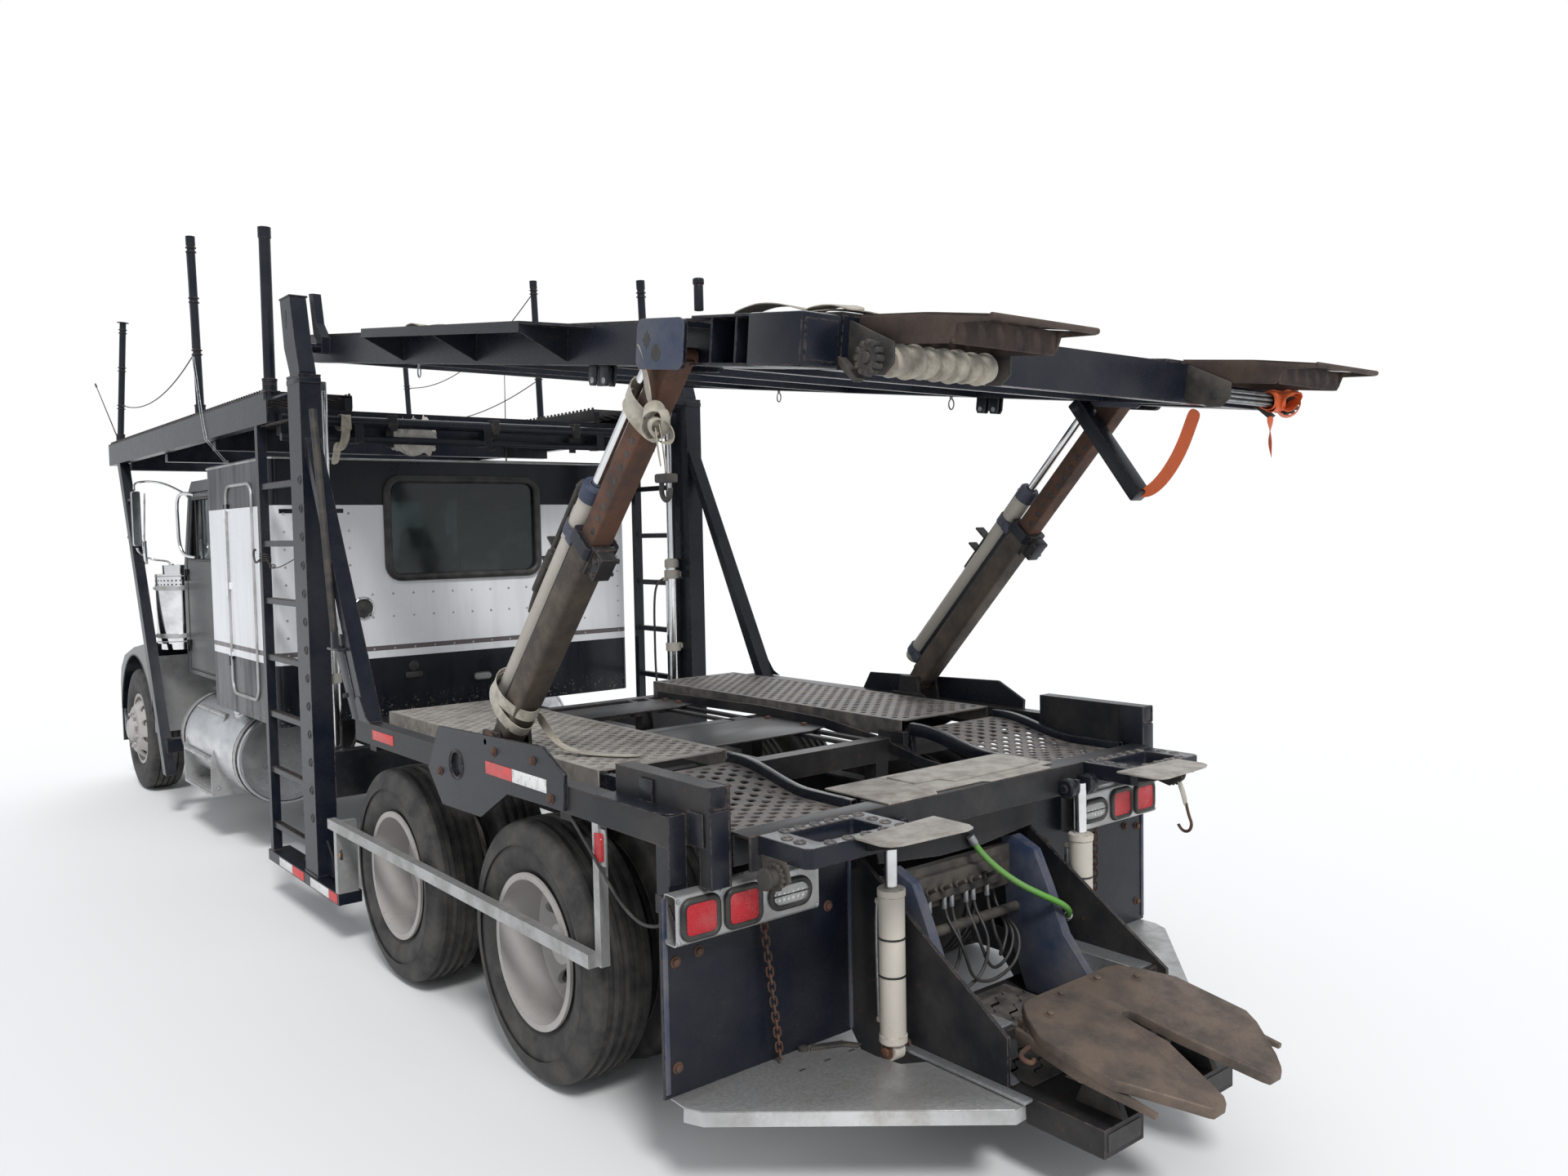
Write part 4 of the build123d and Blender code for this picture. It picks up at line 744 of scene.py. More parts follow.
    @staticmethod
    def line(points: list[Point], radius: float, closed: bool = False, smooth: bool = True,
            sides: int = 3) -> Piece:
        """Mesh of a curve along points.

        Args:
            points: the points in order.
            radius: its radius, or 0 for its centreline alone.
            closed: whether the ends meet.
            smooth: a smooth curve, or straight runs.
            sides: bevel resolution.

        Returns:
            The new piece.
        """
        Bench.clear()
        curve = bpy.data.curves.new("pipe", "CURVE")
        curve.dimensions = "3D"
        curve.bevel_depth = radius
        curve.bevel_resolution = sides
        curve.resolution_u = 6
        curve.use_fill_caps = not closed
        spline = curve.splines.new("NURBS" if smooth else "POLY")
        spline.points.add(len(points) - 1)
        for target, point in zip(spline.points, points):
            target.co = (*point, 1)
        spline.use_cyclic_u = closed
        if smooth:
            spline.order_u = 3
            spline.use_endpoint_u = not closed
        piece = bpy.data.objects.new("pipe", curve)
        bpy.context.scene.collection.objects.link(piece)
        piece.select_set(True)
        bpy.context.view_layer.objects.active = piece
        bpy.ops.object.convert(target="MESH")
        return bpy.context.object

    @staticmethod
    def pipe(points: list[Point], radius: float, closed: bool = False, smooth: bool = True,
            sides: int = 3) -> Piece:
        """Round pipe, hose or wire along points.

        Args:
            points: the points in order.
            radius: its radius.
            closed: whether the ends meet.
            smooth: a smooth curve, or straight runs.
            sides: bevel resolution.

        Returns:
            The new piece.
        """
        return Bench.finish(Bench.line(points, radius, closed, smooth, sides), 0, 2, 60)

    @staticmethod
    def centreline(points: list[Point]) -> list[Point]:
        """Close points along the smooth curve that a pipe takes.

        Args:
            points: the pipe's points in order.

        Returns:
            The points.
        """
        thread = Bench.line(points, 0)
        path = [tuple(vertex.co) for vertex in thread.data.vertices]
        bpy.data.objects.remove(thread)
        return path

    @staticmethod
    def copy(piece: Piece, matrix: Matrix) -> Piece:
        """Copy of a piece with its own mesh, moved, turned or mirrored.

        Args:
            piece: the piece to copy.
            matrix: what is applied to the copy's mesh.

        Returns:
            The copy.
        """
        twin = piece.copy()
        twin.data = piece.data.copy()
        twin.data.transform(matrix)
        if matrix.determinant() < 0:
            twin.data.flip_normals()
        bpy.context.scene.collection.objects.link(twin)
        return twin

    @staticmethod
    def join(pieces: list[Piece]) -> Piece:
        """Join pieces into the first."""
        Bench.clear()
        for piece in pieces:
            piece.select_set(True)
        bpy.context.view_layer.objects.active = pieces[0]
        if len(pieces) > 1:
            bpy.ops.object.join()
        return pieces[0]

    @staticmethod
    def both(piece: Piece) -> Piece:
        """Join a piece and its mirror image on the other side."""
        return Bench.join([piece, Bench.copy(piece, MIRROR)])

    @staticmethod
    def row(piece: Piece, step: Point, count: int) -> list[Piece]:
        """A piece and copies of it, each a step on."""
        return [piece] + [Bench.copy(piece, Matrix.Translation(Vector(step) * i)) for i in range(1, count)]

    @staticmethod
    def scatter(piece: Piece, spots: list[Point]) -> Piece:
        """Joined copies of a piece at spots, in place of the piece itself."""
        made = [Bench.copy(piece, Matrix.Translation(spot)) for spot in spots]
        bpy.data.objects.remove(piece)
        return Bench.join(made)

    @staticmethod
    def flip(piece: Piece) -> Piece:
        """Mirror a piece's own mesh to the other side."""
        piece.data.transform(MIRROR)
        piece.data.flip_normals()
        return piece

    @staticmethod
    def shift(piece: Piece, matrix: Matrix) -> Piece:
        """Move a piece's own mesh by a matrix."""
        piece.data.transform(matrix)
        return piece

    @staticmethod
    def side(points: list[Flat], x: Flat, bevel: float = 0.0, steps: int = 2) -> Piece:
        """Plate with its outline in Y and Z, between two X values.

        Args:
            points: (y, z) outline.
            x: first and last X.
            bevel: width of the rounding.
            steps: segments of the rounding.

        Returns:
            The new piece.
        """
        return Bench.plate([(x[0], y, z) for y, z in points], (x[1] - x[0], 0, 0), bevel, steps)

    @staticmethod
    def level(points: list[Flat], z: Flat, bevel: float = 0.0, steps: int = 2) -> Piece:
        """Plate with its outline in X and Y, between two heights.

        Args:
            points: (x, y) outline.
            z: first and last height.
            bevel: width of the rounding.
            steps: segments of the rounding.

        Returns:
            The new piece.
        """
        return Bench.plate([(x, y, z[0]) for x, y in points], (0, 0, z[1] - z[0]), bevel, steps)

    @staticmethod
    def across(points: list[Flat], y: Flat, bevel: float = 0.0, steps: int = 2) -> Piece:
        """Plate with its outline in X and Z, between two Y values.

        Args:
            points: (x, z) outline.
            y: first and last Y.
            bevel: width of the rounding.
            steps: segments of the rounding.

        Returns:
            The new piece.
        """
        return Bench.plate([(x, y[0], z) for x, z in points], (0, y[1] - y[0], 0), bevel, steps)

    @staticmethod
    def rounded(x0: float, x1: float, z0: float, z1: float, corner: float, steps: int = 6) -> list[Flat]:
        """Outline of a rectangle with rounded corners.

        Args:
            x0: first side.
            x1: second side.
            z0: third side.
            z1: fourth side.
            corner: corner radius.
            steps: steps round each corner.

        Returns:
            The outline.
        """
        points = []
        for cx, cz, start in ((x1 - corner, z1 - corner, 0), (x0 + corner, z1 - corner, 90),
                (x0 + corner, z0 + corner, 180), (x1 - corner, z0 + corner, 270)):
            for step in range(steps + 1):
                a = math.radians(start + step * 90 / steps)
                points.append((cx + corner * math.cos(a), cz + corner * math.sin(a)))
        return points

    @staticmethod
    def perforated(low: Flat, high: Flat, top: float, cells: tuple[int, int], web: float, corner: float,
            thickness: float = 0.006, staggered: bool = True, arc: int = 1) -> Piece:
        """Level plate with rows of rounded holes.

        Args:
            low: lowest (x, y) corner.
            high: highest (x, y) corner.
            top: height of its top.
            cells: cells along X and Y.
            web: metal between a hole and its cell's edge.
            corner: corner radius of the holes.
            thickness: thickness of the plate.
            staggered: whether every second cell stays closed, in turn.
            arc: edges in each rounded corner.

        Returns:
            The new piece.
        """
        Bench.clear()
        size = (high[0] - low[0], high[1] - low[1])
        bpy.ops.mesh.primitive_grid_add(x_subdivisions=cells[0], y_subdivisions=cells[1], size=1)
        piece = bpy.context.object
        half = max(vertex.co.x for vertex in piece.data.vertices)
        for vertex in piece.data.vertices:
            vertex.co.x = low[0] + size[0] * (vertex.co.x / half + 1) / 2
            vertex.co.y = low[1] + size[1] * (vertex.co.y / half + 1) / 2
            vertex.co.z = top
        middles = set()
        bpy.ops.object.mode_set(mode="EDIT")
        bpy.ops.mesh.select_mode(type="FACE")
        bpy.ops.mesh.select_all(action="DESELECT")
        bpy.ops.object.mode_set(mode="OBJECT")
        for face in piece.data.polygons:
            i = int((face.center.x - low[0]) / size[0] * cells[0])
            j = int((face.center.y - low[1]) / size[1] * cells[1])
            edge = j in (0, cells[1] - 1)
            face.select = not edge and (not staggered or (i + j) % 2 == 0)
            if face.select:
                middles.add((round(face.center.x, 3), round(face.center.y, 3)))
        bpy.ops.object.mode_set(mode="EDIT")
        bpy.ops.mesh.inset(thickness=web, use_individual=True)
        bpy.ops.mesh.bevel(offset=corner, segments=arc, affect="VERTICES")
        bpy.ops.mesh.select_all(action="DESELECT")
        bpy.ops.object.mode_set(mode="OBJECT")
        for face in piece.data.polygons:
            spot = (round(face.center.x, 3), round(face.center.y, 3))
            face.select = len(face.vertices) >= 8 and spot in middles
        bpy.ops.object.mode_set(mode="EDIT")
        bpy.ops.mesh.delete(type="ONLY_FACE")
        bpy.ops.mesh.select_all(action="SELECT")
        bpy.ops.object.mode_set(mode="OBJECT")
        Bench.apply(piece, "SOLIDIFY", thickness=thickness, offset=-1)
        return Bench.finish(piece, 0, 2, 30)

    @staticmethod
    def bridged(first: list[Point], second: list[Point], closed: bool) -> Piece:
        """Band of faces between two lines of points, left in edit mode.

        Args:
            first: points along one edge.
            second: the same number of points along the other edge.
            closed: whether the lines are loops.

        Returns:
            The new piece.
        """
        edges = []
        for points in (first, second):
            edges.append(Bench.chain_points(points, closed))
            bpy.ops.object.mode_set(mode="OBJECT")
        piece = Bench.join(edges)
        bpy.ops.object.mode_set(mode="EDIT")
        bpy.ops.mesh.select_mode(type="EDGE")
        bpy.ops.mesh.select_all(action="SELECT")
        bpy.ops.mesh.bridge_edge_loops()
        return piece

    @staticmethod
    def shell(outer: list[Point], inner: list[Point], move: Point) -> Piece:
        """Hollow section with open ends.

        Args:
            outer: points round the outside at one end.
            inner: the same number of points round the inside.
            move: from that end to the other.

        Returns:
            The new piece.
        """
        piece = Bench.bridged(outer, inner, True)
        bpy.ops.mesh.select_all(action="SELECT")
        bpy.ops.mesh.extrude_region_move(TRANSFORM_OT_translate={"value": move})
        Bench.outward()
        return Bench.finish(piece, 0, 2, 30)

    @staticmethod
    def ribbon(first: list[Point], second: list[Point], thickness: float = 0.003, levels: int = 2) -> Piece:
        """Flat webbing between two lines of points.

        Args:
            first: points along one edge.
            second: points along the other edge.
            thickness: thickness of the webbing.
            levels: how often it is smoothed.

        Returns:
            The new piece.
        """
        piece = Bench.bridged(first, second, False)
        bpy.ops.object.mode_set(mode="OBJECT")
        if levels:
            Bench.apply(piece, "SUBSURF", levels=levels, render_levels=levels)
        Bench.apply(piece, "SOLIDIFY", thickness=thickness, offset=0)
        return Bench.finish(piece, 0, 2, 60)

    @staticmethod
    def strap(points: list[Point], width: Point, thickness: float = 0.003, levels: int = 2) -> Piece:
        """Webbing of one width along points.

        Args:
            points: points along its middle.
            width: move from one edge to the other.
            thickness: thickness of the webbing.
            levels: how often it is smoothed.

        Returns:
            The new piece.
        """
        half = Vector(width) / 2
        return Bench.ribbon([tuple(Vector(p) - half) for p in points],
            [tuple(Vector(p) + half) for p in points], thickness, levels)

    @staticmethod
    def bolts(spots: list[Point], axis: Point, radius: float = 0.012) -> Piece:
        """Hexagon heads on washers.

        Args:
            spots: where each head sits.
            axis: direction that the heads face.
            radius: half the size over the corners.

        Returns:
            The new piece.
        """
        along = Vector(axis).normalized()
        washer = Bench.lathe([(0, radius * 1.5), (radius * 0.2, radius * 1.5), (radius * 0.24, radius * 0.8),
                (radius * 0.24, 0)], (0, 0, 0), along, 16)
        head = Bench.rod(along * radius * 0.2, along * radius * 0.95, radius, 6, radius * 0.12)
        return Bench.scatter(Bench.join([washer, head]), spots)

    @staticmethod
    def link_chain(start: Point, end: Point, sag: float = 0.0, size: float = 0.036) -> Piece:
        """Chain of welded links between two points.

        Args:
            start: first end.
            end: second end.
            sag: how far the middle hangs down.
            size: length of a link.

        Returns:
            The new piece.
        """
        half, wide = size * 0.5, size * 0.33
        loop = Bench.pipe([(wide, 0, half * 0.5), (wide * 0.7, 0, half), (-wide * 0.7, 0, half),
                (-wide, 0, half * 0.5), (-wide, 0, -half * 0.5), (-wide * 0.7, 0, -half),
                (wide * 0.7, 0, -half), (wide, 0, -half * 0.5)], size * 0.105, True, True, 1)
        a, b = Vector(start), Vector(end)
        count = max(2, round((b - a).length * (1 + sag) / (size * 0.74)))
        links = []
        for i in range(count):
            t = i / (count - 1)
            spot = a.lerp(b, t) - Vector((0, 0, sag * 4 * t * (1 - t)))
            ahead = (b - a) - Vector((0, 0, sag * 4 * (1 - 2 * t)))
            turn = ahead.to_track_quat("Z", "Y").to_matrix().to_4x4()
            links.append(Bench.copy(loop, Matrix.Translation(spot) @ turn @ Matrix.Rotation(
                        math.pi / 2 * (i % 2), 4, "Z")))
        bpy.data.objects.remove(loop)
        return Bench.join(links)


@dataclass
class Workshop:
    """Finishes, and the calls that dress a piece."""

    finishes: Finishes = field(default_factory=Finishes)
    count: int = 0

    def dress(self, piece: Piece, name: str, finish: str, body: Place | str = Place.CHASSIS, slot: str = "",
            replaced: tuple[str, ...] = ()) -> Piece:
        """Name a piece, finish it and hang it on its body.

        Args:
            piece: the piece.
            name: its name.
            finish: name of its finish.
            body: the body it rides on.
            slot: not used.
            replaced: nodes it stands for.

        Returns:
            The same piece.
        """
        piece.name = name
        piece.data.name = name
        piece.data.materials.clear()
        piece.data.materials.append(self.finishes[finish])
        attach(piece, body.value if isinstance(body, Place) else body)
        if replaced:
            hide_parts(*replaced)
        self.count += 1
        return piece

    def pair(self, pieces: list[Piece], name: str, finish: str, body: Place | str = Place.CHASSIS,
            slot: str = "", replaced: tuple[str, ...] = (), frame: Matrix | None = None) -> Piece:
        """Dress pieces that are joined with their mirror image on the other side.

        Args:
            pieces: the right side's pieces.
            name: name of the joined piece.
            finish: name of its finish.
            body: the body it rides on.
            slot: not used; passed on to dress, which ignores it.
            replaced: nodes it stands for.
            frame: the frame it was built in, where that isn't the truck's.

        Returns:
            The joined piece.
        """
        joined = Bench.both(Bench.join(pieces))
        if frame is not None:
            Bench.shift(joined, frame)
        return self.dress(joined, name, finish, body, slot, replaced)

    def hose(self, route: list[Point], radius: float, name: str, finish: str,
            body: Place | str = Place.CHASSIS, tip: Piece | None = None) -> Piece:
        """Free hose or cable.

        Args:
            route: points that its curve follows, the first where it leaves its fitting.
            radius: its radius.
            name: its name.
            finish: name of its finish.
            body: the body it rides on.
            tip: the fitting on its far end, where that isn't in the truck itself.

        Returns:
            The new piece.
        """
        path = Bench.centreline(route)
        piece = self.dress(Bench.pipe(route, radius), name, finish, body, "trim_grey")
        pieces = () if tip is None else (self.dress(tip, f"{name}_tip", "galvanised", body),)
        return piece


@dataclass(frozen=True)
class NodeFinishes:
    """Which nodes of the frame take each finish."""

    table: tuple[tuple[str, str], ...] = (
        ("rough_dark", "frame_rails frame_brackets headrack_tracks lower_deck_frame stinger_frame "
                       "upper_tracks tail_deck"),
        ("dull_aluminium", "lamp_boxes steps_and_splash_panels side_bars wing_plates"),
        ("cast_iron", "front_axle drive_axles engine_and_radiator steer_knuckle_left steer_knuckle_right"),
        ("chrome", "front_bumper air_cleaners post_cylinders grille tail_lift_rods"),
        ("cab_black", "cab_shell hood cab_door_left cab_door_right"),
        ("window_glass", "fixed_glass cab_door_glass_left cab_door_glass_right"),
        ("trim_plastic", "cab_interior"),
        ("sleeper_paint", "sleeper_shell sleeper_door_left sleeper_door_right"),
        ("tank_aluminium", "fuel_tanks"),
        ("dark_paint", "headrack_frame headrack_legs stakes deck_posts ladders bolster_plates flap_plates "
                       "upper_deck_frame leg_outer"),
        ("deck_steel", "lower_tracks"),
        ("red_lens", "rear_lamps"),
        ("clear_lens", "headlamps"),
        ("rust_steel", "leg_inner"),
        ("cream_paint", "tail_lift_barrels"),
        ("fifth_steel", "fifth_wheel_plate"),
        ("wheel_paint", "steer_rim_left steer_rim_right front_drive_rims_left front_drive_rims_right "
                        "rear_drive_rims_left rear_drive_rims_right"),
        ("tyre_rubber", "steer_tyre_left steer_tyre_right front_drive_tyres_left front_drive_tyres_right "
                        "rear_drive_tyres_left rear_drive_tyres_right"),
    )

    def dress(self, nodes: dict[str, Piece], finishes: Finishes) -> None:
        """Give every node its finish.

        Args:
            nodes: the frame's nodes.
            finishes: the finishes.
        """
        for finish, names in self.table:
            for name in names.split():
                mesh = nodes[name].data
                mesh.materials.clear()
                mesh.materials.append(finishes[finish])


@dataclass
class Studio:
    """Camera at the photograph's place, soft light, pale floor."""

    position: Point = (-3.28, -6.953, 2.112)
    yaw: float = 39.34
    pitch: float = 2.83
    roll: float = -1.09
    lens_mm: float = 27.2
    floor_colour: Colour = (0.8, 0.8, 0.8)

    def camera(self) -> None:
        """Place the camera."""
        yaw, pitch, roll = (math.radians(v) for v in (self.yaw, self.pitch, self.roll))
        forward = Vector((math.sin(yaw) * math.cos(pitch), math.cos(yaw) * math.cos(pitch), -math.sin(pitch)))
        turn = forward.to_track_quat("-Z", "Y").to_matrix().to_4x4() @ Matrix.Rotation(roll, 4, "Z")
        data = bpy.data.cameras.new("camera")
        data.sensor_fit = "HORIZONTAL"
        data.sensor_width = 36
        data.lens = self.lens_mm
        data.clip_end = 500
        camera = bpy.data.objects.new("camera", data)
        camera.matrix_world = Matrix.Translation(self.position) @ turn
        bpy.context.scene.collection.objects.link(camera)
        bpy.context.scene.camera = camera

    def lights(self) -> None:
        """Soft sun and sky."""
        world = bpy.data.worlds.new("studio")
        bpy.context.scene.world = world
        world.use_nodes = True
        nodes, links = world.node_tree.nodes, world.node_tree.links
        sky = nodes["Background"]
        sky.inputs["Color"].default_value = (0.93, 0.96, 1.0, 1)
        sky.inputs["Strength"].default_value = 0.75
        white = nodes.new("ShaderNodeBackground")
        white.inputs["Color"].default_value = (1, 1, 1, 1)
        white.inputs["Strength"].default_value = 1.0
        path = nodes.new("ShaderNodeLightPath")
        seen = nodes.new("ShaderNodeMath")
        seen.operation = "MAXIMUM"
        links.new(path.outputs["Is Camera Ray"], seen.inputs[0])
        links.new(path.outputs["Is Transmission Ray"], seen.inputs[1])
        mix = nodes.new("ShaderNodeMixShader")
        links.new(seen.outputs[0], mix.inputs[0])
        links.new(sky.outputs[0], mix.inputs[1])
        links.new(white.outputs[0], mix.inputs[2])
        links.new(mix.outputs[0], nodes["World Output"].inputs["Surface"])
        for name, turn, power, angle in (("key_sun", (42, 12, -35), 2.1, 12),
                ("fill_sun", (62, 0, 140), 0.5, 40)):
            data = bpy.data.lights.new(name, "SUN")
            data.energy = power
            data.angle = math.radians(angle)
            lamp = bpy.data.objects.new(name, data)
            lamp.rotation_euler = [math.radians(t) for t in turn]
            bpy.context.scene.collection.objects.link(lamp)

    def floor(self) -> None:
        """Pale floor that takes the shadow and fades to white."""
        Bench.clear()
        bpy.ops.mesh.primitive_circle_add(vertices=64, radius=60, fill_type="NGON", location=(0, 0, -0.001))
        floor = bpy.context.object
        floor.name = "floor"
        tree = Tree("floor_white")
        tree.shader.inputs["Base Color"].default_value = (*self.floor_colour, 1)
        tree.shader.inputs["Roughness"].default_value = 0.9
        distance = tree.nodes.new("ShaderNodeVectorMath")
        distance.operation = "LENGTH"
        tree.links.new(tree.coords, distance.inputs[0])
        fade = tree.ramp(distance.outputs["Value"], 9, 26)
        glow = tree.nodes.new("ShaderNodeEmission")
        path = tree.nodes.new("ShaderNodeLightPath")
        seen = tree.math("MULTIPLY", fade, path.outputs["Is Camera Ray"])
        mix = tree.nodes.new("ShaderNodeMixShader")
        tree.links.new(seen, mix.inputs[0])
        tree.links.new(tree.shader.outputs[0], mix.inputs[1])
        tree.links.new(glow.outputs[0], mix.inputs[2])
        tree.links.new(mix.outputs[0], tree.nodes["Material Output"].inputs["Surface"])
        floor.data.materials.append(tree.material)

    def build(self) -> None:
        """Set the stage."""
        bpy.context.scene.view_settings.view_transform = "Standard"
        self.camera()
        self.lights()
        self.floor()


@dataclass
class Tyres:
    """Tyres with ribs or lugs that stand for the plain ones of the frame."""

    radius: float = 0.515
    bead: float = 0.286
    steer_x: float = 1.05
    twin_x: Flat = (1.1, 0.77)
    groove: float = 0.016
    grooves: tuple[float, ...] = (-0.066, -0.022, 0.022, 0.066)
    droop: float = 0.0035
    ribbed_steps: int = 72
    lugged_steps: int = 96
    shoulder: float = 0.072
    lug_depth: float = 0.012

    def tread(self, lugged: bool) -> Piece:
        """One tyre about the X axis at the origin.

        Args:
            lugged: cross lugs, or ribs only.

        Returns:
            The tyre.
        """
        r, outermost = self.radius, self.grooves[-1]
        side = [(-0.106, self.bead), (-0.108, 0.303), (-0.12, 0.318), (-0.132, 0.345), (-0.139, 0.372),
            (-0.1395, 0.395), (-0.138, 0.42), (-0.1375, 0.423), (-0.1365, 0.42), (-0.134, 0.448),
            (-0.131, 0.47), (-0.124, 0.492), (-0.112, 0.505)]
        crown = []
        for x in self.grooves:
            edge = r - self.droop * (abs(x) / outermost) ** 2
            crown += [(x - 0.006, edge), (x - 0.004, r - self.groove), (x + 0.004, r - self.groove),
                (x + 0.006, edge)]
        profile = side + [(-0.102, r - 0.006)] + crown + [(0.102, r - 0.006)]
        profile += [(-x, z) for x, z in reversed(side)]
        tyre = Bench.lathe(profile, (0, 0, 0), (1, 0, 0), self.lugged_steps if lugged else self.ribbed_steps)
        if lugged:
            tyre = self.cut_lugs(tyre)
        return tyre

    def cut_lugs(self, tyre: Piece) -> Piece:
        """Press cross grooves into the shoulders.

        Args:
            tyre: the ribbed tyre.

        Returns:
            The same tyre.
        """
        Bench.pick(tyre)
        mesh = tyre.data
        for face in mesh.polygons:
            centre = face.center
            around = math.atan2(centre.z, centre.y) / (2 * math.pi) * self.lugged_steps
            outer = math.hypot(centre.y, centre.z) > self.radius - 0.012
            odd = int(around + (self.lugged_steps + 0.5)) % 2
            face.select = outer and abs(centre.x) > self.shoulder and not odd
        bpy.ops.object.mode_set(mode="EDIT")
        bpy.ops.mesh.select_mode(type="FACE")
        bpy.ops.mesh.inset(thickness=0.0035, use_individual=False)
        bpy.ops.mesh.extrude_region_shrink_fatten(TRANSFORM_OT_shrink_fatten={"value": -self.lug_depth})
        bpy.ops.object.mode_set(mode="OBJECT")
        return Bench.finish(tyre)

    def build(self, shop: Workshop) -> None:
        """Make every tyre.

        Args:
            shop: the workshop.
        """
        ribbed = self.tread(False)
        lugged = self.tread(True)
        for side, sign in SIDES:
            steer = Bench.copy(ribbed, Matrix.Translation((self.steer_x * sign, STEER_Y, AXLE_Z)))
            shop.dress(steer, f"steer_tread_{side}", "tyre_rubber", f"steer_wheel_{side}",
                replaced=(f"steer_tyre_{side}",))
            for axle, y in DRIVES:
                twins = [Bench.copy(lugged, Matrix.Translation((x * sign, y, AXLE_Z))) for x in self.twin_x]
                shop.dress(Bench.join(twins), f"{axle}_treads_{side}", "tyre_rubber", f"{axle}_wheels_{side}",
                    replaced=(f"{axle}_tyres_{side}",))
        for piece in (ribbed, lugged):
            bpy.data.objects.remove(piece)


@dataclass
class Padding:
    """Stuffed cushions, swollen by cloth simulation and capped in how far they grow."""

    voxel: float = 0.016
    pressure: float = 4.0
    steps: int = 20
    channel: float = 0.009

    def swell(self, piece: Piece, cap: float) -> Piece:
        """Swell a closed form with cloth simulation.

        Args:
            piece: the closed form, a little smaller than the cushion.
            cap: how far a point may move.

        Returns:
            The same piece.
        """
        Bench.pick(piece)
        Bench.apply(piece, "REMESH", mode="VOXEL", voxel_size=self.voxel * 1)
        rest = [vertex.co.copy() for vertex in piece.data.vertices]
        cloth = piece.modifiers.new("swelling", "CLOTH")
        cloth.settings.use_pressure = True
        cloth.settings.uniform_pressure_force = self.pressure
        cloth.settings.effector_weights.gravity = 0
        cloth.point_cache.frame_end = self.steps
        for step in range(1, self.steps + 1):
            bpy.context.scene.frame_set(step)
        bpy.ops.object.modifier_apply(modifier=cloth.name)
        bpy.context.scene.frame_set(1)
        for vertex, start in zip(piece.data.vertices, rest):
            move = vertex.co - start
            if move.length > cap:
                vertex.co = start + move * (cap / move.length)
        Bench.apply(piece, "SUBSURF", levels=1)
        return Bench.finish(piece, 0, 2, 80)

    def dent(self, near: float) -> float:
        """Share of a sewn channel's depth at a distance from its line."""
        return math.exp(-(near / self.channel) ** 2)

    def press(self, piece: Piece, lines: tuple[float, ...], level: float, depth: float) -> None:
        """Press sewn channels that run along Y into the top of a cushion.

        Args:
            piece: the cushion.
            lines: where the channels are along X.
            level: height above which the top lies.
            depth: how deep they are.
        """
        for vertex in piece.data.vertices:
            if vertex.co.z > level:
                near = min(abs(vertex.co.x - line) for line in lines)
                vertex.co.z -= depth * self.dent(near)


